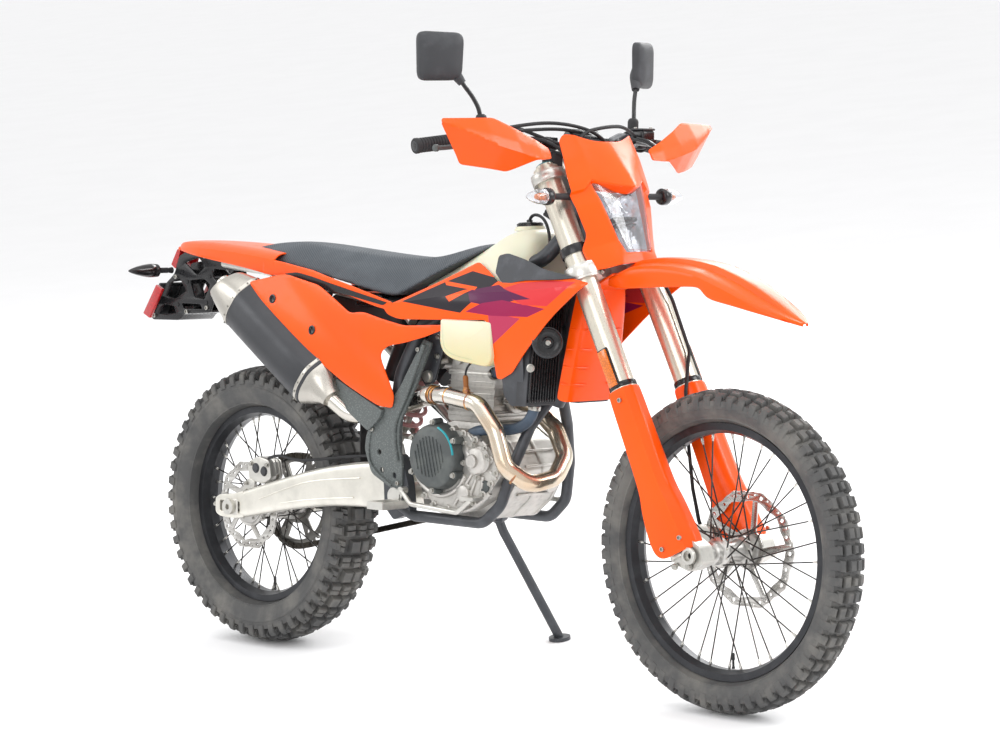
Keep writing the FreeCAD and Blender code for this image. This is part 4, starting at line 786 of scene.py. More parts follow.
def plate(name, outline, low, high, material, plane="xz", bend=6.0, bevel=1.2):
    # a flat outline with thickness; plane names the two axes of the outline
    loop = softened(outline, bend)
    order = {"xz": lambda p, d: (p[0], d, p[1]), "yz": lambda p, d: (d, p[0], p[1]), "xy": lambda p,
             d: (p[0], p[1], d)}[plane]
    count = len(loop)
    verts = [order(p, low) for p in loop] + [order(p, high) for p in loop]
    faces = [tuple(range(count)), tuple(range(2 * count - 1, count - 1, -1))]
    faces += [(i, i + count, (i + 1) % count + count, (i + 1) % count) for i in range(count)]
    obj = newObject(name, verts, faces, [material])
    outwards(obj.data)
    if bevel:
        addModifier(obj, "BEVEL", width=bevel, segments=2, limit_method="ANGLE",
                    angle_limit=math.radians(40))
    return obj


def cutPlate(name, outer, holes, low, high, material, bend=3.0, bevel=0.6):
    # a flat shape in the side view with openings cut through it, from y low to y high
    flat = bpy.data.curves.new(name, "CURVE")
    flat.dimensions = "2D"
    flat.fill_mode = "BOTH"
    for loop in [outer] + list(holes):
        points = softened(loop, bend)
        spline = flat.splines.new("POLY")
        spline.points.add(len(points) - 1)
        for point, place in zip(spline.points, points):
            point.co = (place[0], place[1], 0.0, 1.0)
        spline.use_cyclic_u = True
    flat.extrude = (high - low) / 2 - bevel
    flat.bevel_depth = bevel
    flat.bevel_resolution = 1
    flat.offset = -bevel
    holder = bpy.data.objects.new(name, flat)
    bpy.context.collection.objects.link(holder)
    shape = bpy.data.meshes.new_from_object(holder.evaluated_get(bpy.context.evaluated_depsgraph_get()))
    middle = (low + high) / 2
    verts = [(v.co.x, middle - v.co.z, v.co.y) for v in shape.vertices]
    faces = [tuple(f.vertices) for f in shape.polygons]
    bpy.data.objects.remove(holder)
    bpy.data.curves.remove(flat)
    bpy.data.meshes.remove(shape)
    obj = newObject(name, verts, faces, [material])
    work = bmesh.new()
    work.from_mesh(obj.data)
    bmesh.ops.remove_doubles(work, verts=work.verts, dist=0.01)
    work.to_mesh(obj.data)
    work.free()
    outwards(obj.data)
    return obj


def roundHole(x, z, r, steps=14):
    return [(x + r * math.cos(a), z + r * math.sin(a), 0.01) for a in np.linspace(0, 2 * math.pi,
                                            steps + 1)[:-1]]


def lathe(name, profile, centre, axis, material, sides=48, closed=True):
    # a profile of (radius, along) turned about an axis
    way = Vector(axis).normalized()
    first = way.orthogonal().normalized()
    second = way.cross(first)
    rows = []
    for i in range(sides):
        a = 2 * math.pi * i / sides
        out = first * math.cos(a) + second * math.sin(a)
        rows.append([Vector(centre) + out * r + way * d for r, d in profile])
    rows.append(rows[0])
    verts, faces = lattice(rows, closed)
    obj = newObject(name, verts, faces, [material])
    outwards(obj.data)
    return obj


# geometry nodes for what repeats

def startTree(name, inputs):
    tree = bpy.data.node_groups.new(name, "GeometryNodeTree")
    tree.interface.new_socket(name="Geometry", in_out="INPUT", socket_type="NodeSocketGeometry")
    for label, kind in inputs:
        tree.interface.new_socket(name=label, in_out="INPUT", socket_type=kind)
    tree.interface.new_socket(name="Geometry", in_out="OUTPUT", socket_type="NodeSocketGeometry")
    return tree, tree.nodes.new("NodeGroupInput"), tree.nodes.new("NodeGroupOutput")


def add(tree, kind, settings=None, **inputs):
    made = tree.nodes.new(kind)
    for key, value in (settings or {}).items():
        setattr(made, key, value)
    for key, value in inputs.items():
        numbered = key[0] == "i" and key[1:].isdigit()
        socket = made.inputs[int(key[1:]) if numbered else key.replace("_", " ")]
        if isinstance(value, bpy.types.NodeSocket):
            tree.links.new(value, socket)
        else:
            socket.default_value = value
    return made


def runTree(name, tree, values, start=None):
    # an evaluated copy of what the tree makes, as one plain mesh
    obj = start or newObject(name, [(0, 0, 0)], [], [])
    obj.name = name
    modifier = obj.modifiers.new(name, "NODES")
    modifier.node_group = tree
    for item in tree.interface.items_tree:
        if item.item_type == "SOCKET" and item.in_out == "INPUT" and item.name in values:
            modifier[item.identifier] = values[item.name]
    baked(obj)
    return obj


def ringTree():
    # copies of one part turned about the wheel's axle
    tree, given, result = startTree("ringOfParts", [
        ("Part", "NodeSocketObject"), ("Count", "NodeSocketInt"), ("Phase", "NodeSocketFloat"),
        ("Centre", "NodeSocketVector"), ("Finish", "NodeSocketMaterial")])
    part = add(tree, "GeometryNodeObjectInfo", {"transform_space": "ORIGINAL"}, Object=given.outputs["Part"])
    spots = add(tree, "GeometryNodeMeshLine", {}, Count=given.outputs["Count"], Offset=(0.0, 0.0, 0.0))
    index = add(tree, "GeometryNodeInputIndex")
    share = add(tree, "ShaderNodeMath", {"operation": "DIVIDE"}, i0=index.outputs[0],
                i1=given.outputs["Count"])
    angle = add(tree, "ShaderNodeMath", {"operation": "MULTIPLY_ADD"}, i0=share.outputs[0], i1=2 * math.pi,
                i2=given.outputs["Phase"])
    turn = add(tree, "ShaderNodeCombineXYZ", {}, i0=0.0, i1=angle.outputs[0], i2=0.0)
    copies = add(tree, "GeometryNodeInstanceOnPoints", {}, Points=spots.outputs[0],
                 Instance=part.outputs["Geometry"], Rotation=turn.outputs[0])
    plain = add(tree, "GeometryNodeRealizeInstances", {}, Geometry=copies.outputs[0])
    moved = add(tree, "GeometryNodeTransform", {}, Geometry=plain.outputs[0],
                Translation=given.outputs["Centre"])
    painted = add(tree, "GeometryNodeSetMaterial", {}, Geometry=moved.outputs[0],
                  Material=given.outputs["Finish"])
    tree.links.new(painted.outputs[0], result.inputs[0])
    return tree


def spotTree():
    # one part on each point, aimed along the point's own direction and sized by the point
    tree, given, result = startTree("partsOnSpots", [("Part", "NodeSocketObject"),
                                            ("Finish", "NodeSocketMaterial")])
    part = add(tree, "GeometryNodeObjectInfo", {"transform_space": "ORIGINAL"}, Object=given.outputs["Part"])
    aim = add(tree, "GeometryNodeInputNamedAttribute", {"data_type": "FLOAT_VECTOR"}, Name="aim")
    size = add(tree, "GeometryNodeInputNamedAttribute", {"data_type": "FLOAT"}, Name="size")
    turn = add(tree, "FunctionNodeAlignRotationToVector", {"axis": "Z"}, Vector=aim.outputs[0])
    copies = add(tree, "GeometryNodeInstanceOnPoints", {}, Points=given.outputs["Geometry"],
                 Instance=part.outputs["Geometry"], Rotation=turn.outputs[0], Scale=size.outputs[0])
    plain = add(tree, "GeometryNodeRealizeInstances", {}, Geometry=copies.outputs[0])
    painted = add(tree, "GeometryNodeSetMaterial", {}, Geometry=plain.outputs[0],
                  Material=given.outputs["Finish"])
    tree.links.new(painted.outputs[0], result.inputs[0])
    return tree


partRing = ringTree()
partSpots = spotTree()


def ringOf(name, part, count, phase, axle, finish):
    return runTree(name, partRing, {"Part": part, "Count": count, "Phase": phase,
                                    "Centre": (axle[0], 0.0, axle[1]), "Finish": finish})


def onSpots(name, part, spots, finish):
    # spots are (place, direction, size)
    cloud = newObject(name, [s[0] for s in spots], [], [])
    cloud.data.attributes.new("aim", "FLOAT_VECTOR", "POINT")
    cloud.data.attributes.new("size", "FLOAT", "POINT")
    ways = [c for spot in spots for c in Vector(spot[1]).normalized()]
    cloud.data.attributes["aim"].data.foreach_set("vector", ways)
    cloud.data.attributes["size"].data.foreach_set("value", [spot[2] for spot in spots])
    return runTree(name, partSpots, {"Part": part, "Finish": finish}, cloud)


def discard(*objects):
    for obj in objects:
        data = obj.data
        bpy.data.objects.remove(obj)
        bpy.data.meshes.remove(data)


# wheels

frontWheel = {"radius": 349.7, "half": 46.0, "bead": 266.0, "seatHalf": 20.6, "lugDepth": 12.0, "rows": 32,
              "sides": 128, "beltWidth": 0.84}
rearWheel = {"radius": 339.7, "half": 68.0, "bead": 229.0, "seatHalf": 26.6, "lugDepth": 15.0, "rows": 26,
             "sides": 128, "beltWidth": 0.84}


def crownArc(wheel):
    reach = wheel["half"] * 0.86
    drop = wheel["half"] * 0.28
    return (reach * reach + drop * drop) / (2 * drop)


def crownHeight(wheel, y):
    arc = crownArc(wheel)
    return wheel["radius"] - arc + math.sqrt(arc * arc - y * y)


def tyreCarcass(name, wheel, axle):
    half = wheel["half"]
    bead = wheel["bead"]
    edge = half * wheel["beltWidth"]
    belly = bead + (wheel["radius"] - bead) * 0.48
    side = [(bead, wheel["seatHalf"]), (bead + 12, wheel["seatHalf"]), (bead + 14, wheel["seatHalf"] + 6),
            (bead + 18, half * 0.72), (bead + 20, half * 0.80), (bead + 23, half * 0.80),
            (bead + 25, half * 0.83), (belly - 6, half * 0.925), (belly + 2, half * 0.95),
            (belly + 4, half * 0.97), (belly + 7, half * 0.97), (belly + 9, half * 0.945),
            (belly + (wheel["radius"] - belly) * 0.42, half * 0.92)]
    crown = []
    for i in range(9):
        y = edge * (1 - i / 8)
        crown.append((crownHeight(wheel, y) - wheel["lugDepth"], y))
    profile = side + crown + [(r, -y) for r, y in reversed(crown[:-1])] + [(r, -y) for r,
                                            y in reversed(side)]
    return lathe(name, profile, (axle[0], 0, axle[1]), (0, 1, 0), finishes["tyre"], wheel["sides"])


def treadBlock(name, wheel, y, width, length, slit=0.0, skew=0.0):
    # a tapered lug that stands on the crown at y, seen at the front of the wheel
    arc = crownArc(wheel)
    tilt = math.asin(max(-1.0, min(1.0, y / arc)))
    out = Vector((math.cos(tilt), math.sin(tilt), 0))
    sideways = Vector((-math.sin(tilt), math.cos(tilt), 0))
    top = Vector((crownHeight(wheel, y) - 0.3, y, 0))
    depth = wheel["lugDepth"]
    parts = [(0.0, length)] if not slit else [(-(length + slit) / 4, (length - slit) / 2),
                                            ((length + slit) / 4, (length - slit) / 2)]
    verts = []
    faces = []
    for middle, span in parts:
        first = len(verts)
        for down, grow in ((depth + 3.0, 2.6), (depth * 0.55, 1.0), (1.3, 0.0), (0.0, -1.1)):
            for a, b in ((-1, -1), (1, -1), (1, 1), (-1, 1)):
                w = width / 2 + grow
                l = span / 2 + grow * (0.6 if slit else 1.0)
                p = top - out * down + sideways * (a * w) + Vector((0, 0, middle + b * l + a * skew))
                verts.append(p)
        for k in range(3):
            for j in range(4):
                n = (j + 1) % 4
                faces.append((first + k * 4 + j, first + k * 4 + n, first + (k + 1) * 4 + n,
                              first + (k + 1) * 4 + j))
        faces.append((first + 12, first + 13, first + 14, first + 15))
        faces.append((first + 3, first + 2, first + 1, first))
    obj = newObject(name, verts, faces, [finishes["tyre"]])
    outwards(obj.data)
    return obj


def knobblyTyre(name, wheel, axle, body, node, rowA, rowB):
    pieces = [tyreCarcass(name + "Carcass", wheel, axle)]
    step = math.pi / wheel["rows"]
    for row, phase in ((rowA, 0.0), (rowB, step)):
        for i, (y, width, length, slit, skew) in enumerate(row):
            lug = treadBlock(name + "Lug", wheel, y, width, length, slit, skew)
            pieces.append(ringOf(name + "Ring", lug, wheel["rows"], phase, axle, finishes["tyre"]))
            discard(lug)
    # side lugs that reach down the shoulder
    h, top = wheel["half"], wheel["radius"]
    section = [(top - 44, 0.90), (top - 42, 0.975), (top - 34, 0.985), (top - 20, 0.955),
               (top - 13, 0.86), (top - 18, 0.74), (top - 40, 0.82)]
    for way in (-1, 1):
        verts = []
        for along, shrink in ((-9.0, 0.8), (-7.2, 1.0), (7.2, 1.0), (9.0, 0.8)):
            verts += [Vector((r if shrink == 1.0 else r - 1.0,
                              way * h * (y if shrink == 1.0 else y - 0.03), along)) for r, y in section]
        n = len(section)
        faces = [(i * n + j, i * n + (j + 1) % n, (i + 1) * n + (j + 1) % n,
                  (i + 1) * n + j) for i in range(3) for j in range(n)]
        faces += [tuple(range(n)), tuple(3 * n + j for j in range(n))]
        lug = newObject(name + "SideLug", verts, faces, [finishes["tyre"]])
        outwards(lug.data)
        for phase in (0.0, step):
            pieces.append(ringOf(name + "SideRing", lug, wheel["rows"], phase, axle, finishes["tyre"]))
        discard(lug)
    return settle(merged(name, pieces), body, [node], 30.0)


def mirroredRow(row):
    return row + [(-y, width, length, slit, -skew) for y, width, length, slit, skew in row if y]


frontA = mirroredRow([(10.0, 15.0, 21.0, 0.0, 0.0), (35.0, 12.0, 23.0, 0.0, 1.0)])
frontB = mirroredRow([(0.0, 11.0, 15.0, 0.0, 0.0), (22.5, 14.0, 22.0, 0.0, -1.0),
                      (39.0, 9.0, 18.0, 0.0, 1.0)])
rearA = mirroredRow([(15.0, 24.0, 27.0, 0.0, 0.0), (51.0, 16.0, 27.0, 2.4, 1.5)])
rearB = mirroredRow([(0.0, 20.0, 25.0, 2.4, 0.0), (33.0, 21.0, 27.0, 2.4, -1.0),
                     (56.0, 11.0, 22.0, 0.0, 1.0)])
knobblyTyre("frontTyre", frontWheel, stance["frontAxle"], "front_wheel", "front_tyre", frontA, frontB)
knobblyTyre("rearTyre", rearWheel, stance["rearAxle"], "rear_wheel", "rear_tyre", rearA, rearB)
print("tyres made")

lacing = {"spokes": 36, "nippleLength": 15.0, "spokeRadius": 1.9, "sweep": 60.0, "stagger": 4.4,
          "nippleY": 6.0}
frontHub = {
    "flangeRadius": 29.0, "flangeY": 34.0, "rimRadius": 253.3,
    "profile": [(10.8, -76), (15, -76), (17, -74.5), (17, -62), (21, -60), (24, -58), (24, -44),
                (26, -41), (33, -38), (34, -36.6), (34, -31.8), (32.6, -30), (25, -28), (21, -20),
                (19.5, 0), (21, 20), (25, 28), (32.6, 30), (34, 31.8), (34, 36.6), (33, 38), (26, 42),
                (26, 50), (35, 53.6), (36, 55), (36, 63.6), (34.6, 65.4), (22, 65.4), (20, 68), (20, 74),
                (17, 76), (10.8, 76)],
}
rearHub = {
    "flangeRadius": 38.0, "flangeY": 38.0, "rimRadius": 216.3,
    "profile": [(13.4, -79), (22, -79), (25, -77), (25, -73.4), (43, -73.4), (44, -72.2), (44, -63),
                (42, -61), (32, -59), (30, -46), (41, -43), (43, -41), (43, -35.6), (41, -33.6),
                (31, -31), (28, -20), (27, 0), (28, 20), (31, 31), (41, 33.6), (43, 35.6), (43, 41),
                (41, 43), (32, 46), (32, 58), (43, 60), (44, 61.4), (44, 90.2), (42, 91.6), (28, 91.6),
                (26.6, 94), (13.4, 94)],
}


def spokeEnds(axle, hub):
    # pairs of root and tip: each flange hole leans to the next but one rim hole, evenly round the rim
    ends = []
    each = lacing["spokes"] // 2
    for side in (-1, 1):
        for i in range(each):
            a = math.radians(360.0 * i / each + (10.0 if side > 0 else 0.0))
            b = a + math.radians(lacing["sweep"] if i % 2 else -lacing["sweep"])
            stagger = lacing["stagger"] if i % 2 else -lacing["stagger"]
            root = Vector((axle[0] + hub["flangeRadius"] * math.cos(a), side * (hub["flangeY"] + stagger),
                           axle[1] + hub["flangeRadius"] * math.sin(a)))
            tip = Vector((axle[0] + hub["rimRadius"] * math.cos(b), side * lacing["nippleY"],
                          axle[1] + hub["rimRadius"] * math.sin(b)))
            ends.append((root, tip, side * (1 if i % 2 else -1)))
    return ends


def wheelHub(name, node, axle, profile, ends, body):
    x, z = axle
    parts = [lathe("hubBarrel", profile, (x, 0, z), (0, 1, 0), finishes["hub"], 64)]
    spokes, heads = {}, []
    for root, tip, out in ends:
        reach = round((tip - root).length, 1)
        spokes.setdefault(reach, []).append((root, tip - root, 1.0))
        heads.append((root + Vector((0, out * 0.4, 0)), (0, out, 0), 1.0))
    r = lacing["spokeRadius"]
    for reach, spots in spokes.items():
        spoke = lathe("spokePart", [(0, -1.5), (r, -1.5), (r, 40), (r * 0.86, 48), (r * 0.86, reach - 8),
                                    (0, reach - 8)], (0, 0, 0), (0, 0, 1), finishes["spoke"], 8, False)
        parts.append(onSpots("spokeRun", spoke, spots, finishes["spoke"]))
        discard(spoke)
    head = lathe("spokeHead", [(0, -2.0), (2.4, -1.6), (3.4, 0.2), (3.0, 1.5), (0, 2.0)], (0, 0, 0),
                 (0, 0, 1), finishes["nipple"], 10, False)
    parts.append(onSpots("spokeHeads", head, heads, finishes["nipple"]))
    discard(head)
    return settle(merged(name, parts), body, [node], 30.0)


def nippleSet(name, ends, body):
    nipple = lathe("nipplePart", [(0.0, -1.0), (2.4, -1.0), (2.6, 0.0), (3.1, 1.0), (3.1, 9.0), (2.2, 10.0),
                                  (2.2, lacing["nippleLength"]), (0.0, lacing["nippleLength"])],
                   (0, 0, 0), (0, 0, 1), finishes["nipple"], 8, False)
    whole = onSpots(name, nipple, [(tip, root - tip, 1.0) for root, tip, _ in ends], finishes["nipple"])
    discard(nipple)
    return settle(whole, body)


frontEnds = spokeEnds(stance["frontAxle"], frontHub)
rearEnds = spokeEnds(stance["rearAxle"], rearHub)
nippleSet("frontNipples", frontEnds, "front_wheel")
nippleSet("rearNipples", rearEnds, "rear_wheel")
wheelHub("frontHub", "front_hub", stance["frontAxle"], frontHub["profile"], frontEnds, "front_wheel")
wheelHub("rearHub", "rear_hub", stance["rearAxle"], rearHub["profile"], rearEnds, "rear_wheel")

frontRotor = {"radius": 130.0, "bore": 36.2, "low": 60.0, "high": 64.0, "waves": 10, "arms": 5, "swell": 3.4}
rearRotor = {"radius": 110.0, "bore": 44.2, "low": -72.0, "high": -68.0, "waves": 10, "arms": 5,
             "swell": 3.4}


def waveRing(radius, waves, swell, steps=18):
    points = []
    for i in range(waves * steps):
        a = 2 * math.pi * i / (waves * steps)
        r = radius - swell + swell * math.cos(waves * a) ** 3
        points.append((r * math.cos(a), r * math.sin(a), 0.01))
    return points


def brakeDisc(name, node, axle, rotor, finish, body):
    # a wavy steel ring on slim arms, drilled between the waves
    x, z = axle
    radius, bore, waves, arms = rotor["radius"], rotor["bore"], rotor["waves"], rotor["arms"]
    shift = lambda loop: [(x + p[0], z + p[1]) + tuple(p[2:]) for p in loop]
    inner, outer = bore + 8.0, radius - 25.0
    ring = [(bore * math.cos(a), bore * math.sin(a), 0.01) for a in np.linspace(0, 2 * math.pi, 49)[:-1]]
    cuts = [shift(ring)]
    each = 2 * math.pi / arms
    for k in range(arms):
        start = k * each
        loop = []
        for i in range(9):
            a = start + (7.0 / outer) + (each - 14.0 / outer) * i / 8
            r = outer + 4.0 * math.cos(waves * a) ** 3
            loop.append((r * math.cos(a + 0.12), r * math.sin(a + 0.12), 1.5))
        for i in range(7):
            a = start + each - (8.0 / inner) - (each - 16.0 / inner) * i / 6
            loop.append((inner * math.cos(a - 0.05), inner * math.sin(a - 0.05), 1.5))
        cuts.append(shift(loop))
    for k in range(waves):
        for share, r, size in ((0.0, radius - 12.0, 4.4), (0.5, radius - 16.5, 3.6),
                               (0.25, radius - 9.5, 2.4), (0.75, radius - 9.5, 2.4)):
            a = 2 * math.pi * (k + share) / waves
            cuts.append(roundHole(x + r * math.cos(a), z + r * math.sin(a), size, 12))
    outline = shift(waveRing(radius, waves, rotor["swell"]))
    disc = cutPlate(name, outline, cuts, rotor["low"], rotor["high"], finishes[finish], 1.0, 0.3)
    return settle(disc, body, [node], 30.0)


brakeDisc("frontDisc", "front_disc", stance["frontAxle"], frontRotor, "frontDisc", "front_wheel")
brakeDisc("rearDisc", "rear_disc", stance["rearAxle"], rearRotor, "rearDisc", "rear_wheel")


sprocket = {"teeth": 45, "root": 108.9, "tip": 117.6, "bore": 44.2, "windows": 6, "windowOuter": 97,
            "windowInner": 56, "boltRadius": 84, "boltHole": 5.0, "low": 85.0, "high": 91.0}


def rearSprocket():
    x, z = stance["rearAxle"]

    def at(radius, a, bend):
        return (x + radius * math.cos(a), z + radius * math.sin(a), bend)

    loop = []
    for i in range(sprocket["teeth"]):
        for share, height in ((-0.30, "root"), (-0.12, "tip"), (0.12, "tip"), (0.30, "root")):
            loop.append(at(sprocket[height], 2 * math.pi * (i + share) / sprocket["teeth"], 1.4))
    cuts = [[at(sprocket["bore"], a, 0.01) for a in np.linspace(0, 2 * math.pi, 49)[:-1]]]
    each = 360 // sprocket["windows"]
    for k in range(sprocket["windows"]):
        ring = [at(sprocket["windowOuter"], math.radians(each * k + 9 + 7 * i), 3.0) for i in range(7)]
        ring += [at(sprocket["windowInner"], math.radians(each * k + 48 - 9 * i), 3.0) for i in range(5)]
        cuts.append(ring)
        hole = at(sprocket["boltRadius"], math.radians(each * k), 0.0)
        cuts.append(roundHole(hole[0], hole[1], sprocket["boltHole"], 14))
    plateOf = cutPlate("rearSprocket", loop, cuts, sprocket["low"], sprocket["high"],
                       finishes["sprocket"], 1.4, 0.5)
    return settle(plateOf, "rear_wheel", ["rear_sprocket"], 30.0)


rearSprocket()
print("hubs, spokes and discs made")

hexBolt = lathe("hexBoltPart", [(0.0, 0.0), (6.2, 0.0), (6.2, 1.0), (5.0, 1.3), (5.0, 5.0), (4.3, 5.8),
                                (0.0, 5.8)], (0, 0, 0), (0, 0, 1), finishes["bolt"], 12, False)
socketBolt = lathe("socketBoltPart", [(0.0, 1.4), (2.3, 1.4), (2.5, 4.2), (4.0, 4.2), (4.6, 3.6),
                                      (4.6, 0.0), (0.0, 0.0)], (0, 0, 0), (0, 0, 1), finishes["bolt"], 14,
                   False)


def boltCircle(axle, radius, count, y, way, size, phase=0.0):
    spots = []
    for i in range(count):
        a = 2 * math.pi * i / count + phase
        spots.append(((axle[0] + radius * math.cos(a), y, axle[1] + radius * math.sin(a)), (0, way, 0),
                      size))
    return spots


frontBolts = onSpots("frontHubBolts", socketBolt, boltCircle(stance["frontAxle"], 28.0, 6, 64.0, 1, 0.8),
                     finishes["bolt"])
settle(frontBolts, "front_wheel")
rearBolts = onSpots("rearHubBolts", socketBolt, boltCircle(stance["rearAxle"], 36.0, 6, 91.0, 1, 0.9)
                    + boltCircle(stance["rearAxle"], 36.0, 6, -72.0, -1, 0.8), finishes["bolt"])
settle(rearBolts, "rear_wheel")


def valveStem(name, axle, rimRadius, body):
    x, z = axle
    stem = lathe(name, [(0.0, 0.0), (3.6, 0.0), (3.6, 4.0), (2.6, 5.0), (2.6, 18.0), (3.8, 19.0),
                        (3.8, 31.0), (2.6, 34.0), (0.0, 34.0)], (x + 14, 3, z - rimRadius + 2),
                 (-0.05, 0, 1), finishes["grip"], 12, False)
    return settle(stem, body)


valveStem("frontValve", stance["frontAxle"], 254.0, "front_wheel")
valveStem("rearValve", stance["rearAxle"], 217.0, "rear_wheel")
print("wheels made")


# orange bodywork

def mirroredSection(half):
    # a section given from the middle to one edge, made whole
    return [(x, -y, z) for x, y, z in reversed(half[1:])] + half


def shellFrom(name, rows, material, wall=2.6, levels=2, sharpColumns=(), facing=(0, 0, 1), crease=0.75):
    verts, faces = lattice(rows)
    count = len(rows[0])
    a, b, c = (Vector(verts[i]) for i in faces[len(faces) // 2][:3])
    if (b - a).cross(c - a).dot(Vector(facing)) < 0:
        faces = [f[::-1] for f in faces]
    obj = newObject(name, verts, faces, [material])
    marks = obj.data.attributes.new("crease_edge", "FLOAT", "EDGE")
    for edge in obj.data.edges:
        i, j = edge.vertices
        if i % count == j % count and i % count in sharpColumns:
            marks.data[edge.index].value = crease
    addModifier(obj, "SUBSURF", levels=levels, render_levels=levels)
    addModifier(obj, "SOLIDIFY", thickness=wall, offset=-1.0)
    return obj


fender = {
    # x, height, half width, edge height, skirt height
    "rows": [(440, 934, 58, 926, 912), (470, 955, 62, 938, 908), (505, 969, 65, 950, 908),
             (560, 974, 67, 955, 912), (623, 974, 69, 955, 916), (690, 967, 72, 947, 918),
             (718, 961, 74, 939, 917), (732, 957, 75, 934, 897), (760, 948, 76, 925, 889),
             (800, 933, 73, 909, 882), (840, 913, 66, 890, 872), (880, 889, 54, 872, 862),
             (912, 867, 38, 857, 852), (934, 852, 20, 847, 845), (944, 845, 7, 843, 842)],
    "wall": 2.8,
}


def frontFender():
    rows = []
    for x, high, wide, edge, skirt in fender["rows"]:
        # a raised crown, a step down beside it, a ledge that faces up, and the skirt
        step = (high - edge) * 0.60
        ledge = high - step - (high - step - edge) * 0.35
        half = [(x, 0, high), (x, wide * 0.22, high - 0.3), (x, wide * 0.38, high - 1.4),
                (x, wide * 0.48, high - step), (x, wide * 0.70, ledge), (x, wide * 0.93, edge + 1.5),
                (x, wide, edge - 4), (x, wide * 0.985, skirt + 2), (x, wide * 0.97, skirt)]
        rows.append(mirroredSection(half))
    top = shellFrom("fenderTop", rows, finishes["orange"], fender["wall"], 2, (2, 3, 10, 14, 13, 6, 5, 11))
    flapRows = []
    for z, x, wide in ((908, 384, 60), (880, 381, 66), (820, 370, 72), (760, 360, 76), (700, 349, 80),
                       (664, 343, 82), (652, 341, 82)):
        half = [(x + 3, 0, z), (x + 2, wide * 0.5, z), (x, wide * 0.86, z), (x - 3, wide * 0.97, z),
                (x - 10, wide + 1, z), (x - 30, wide + 3, z + 4)]
        flapRows.append(mirroredSection(half))
    flap = shellFrom("fenderFlap", flapRows, finishes["orange"], 2.8, 2, (2, 3, 7, 8), (1, 0, 0))
    ribs = []
    for side in (-1, 1):
        for z in (690, 728, 768, 812):
            x = 341 + (z - 652) * 0.17
            wide = 82 - (z - 652) * 0.075
            ribs.append(tubeAlong("flapRib", [(x - 27, side * (wide + 4.5), z + 3),
                                            (x - 12, side * (wide + 3.5), z + 1),
                                            (x + 1.5, side * (wide - 6), z),
                                            (x + 4.5, side * (wide * 0.45), z - 1)], 2.3,
                                  finishes["orange"], 8))
    pad = plate("fenderPad", [(-24, -60), (66, -60), (66, 60), (-24, 60)], 0, 5, finishes["orange"], "xy",
                10.0)
    way = Matrix((Vector(forkPoint(1, 0, 0)) - Vector(forkPoint(0, 0, 0)), Vector((0, 1, 0)),
                  Vector(forkPoint(0, 0, 1)) - Vector(forkPoint(0, 0, 0)))).transposed().to_4x4()
    way.translation = forkPoint(0, 0, 623.5)
    pad.data.transform(way)
    whole = merged("frontFender", [top, flap, pad] + ribs)
    return settle(whole, "steering", ["front_fender"], 32.0)


frontFender()

mask = {
    # height along the fork: middle, crease half width, crease, edge half width, edge
    "s": [636, 650, 690, 722, 780, 830, 890, 950],
    "middle": [112, 115, 126, 138, 161, 153, 139, 124],
    "creaseY": [58, 55, 48, 54, 64, 70, 79, 88],
    "creaseF": [100, 102, 106, 112, 121, 124, 122, 118],
    "edgeY": [105, 108, 115, 109, 122, 125, 118, 110],
    "edgeF": [54, 56, 58, 76, 88, 93, 101, 104],
    "outline": [(0, 915, 60), (-42, 919, 40), (-78, 934, 14), (-108, 947, 8), (-119, 934, 6),
                (-128, 844, 30), (-126, 800, 20), (-113, 742, 16), (-107, 716, 10), (-118, 690, 8),
                (-109, 641, 6), (-84, 635, 6), (-60, 634, 8), (-36, 633, 8), (0, 633, 10)],
    "brow": ([0, 36, 82, 101, 130], [793, 804, 829, 813, 813]),
    "lamp": [(0, 793, 3), (-36, 804, 8), (-82, 829, 4), (-62, 742, 10), (-42, 656, 6), (0, 653, 8)],
}


def maskForward(y, s):
    at = lambda key: float(np.interp(s, mask["s"], mask[key]))
    reach = abs(y)
    inner, outer = at("creaseY"), at("edgeY")
    # the cheeks beside the lamp lie behind the upper plate, deepest under its lower edge
    under = float(np.interp(reach, *mask["brow"])) - s
    sunk = min(1.0, max(0.0, under / 3.0)) * float(np.interp(s, [650, 720, 810], [0.0, 3.0, 8.0]))
    if reach <= inner:
        return at("middle") + (at("creaseF") - at("middle")) * (reach / inner) ** 1.5 - sunk
    share = (reach - inner) / max(1.0, outer - inner)
    return at("creaseF") + (at("edgeF") - at("creaseF")) * share ** 1.15 - sunk


def wholeOutline(half):
    # mirrors an outline given on the right half, from the top middle to the bottom middle
    other = [(-p[0],) + tuple(p[1:]) for p in half[1:-1]]
    return half + other[::-1]


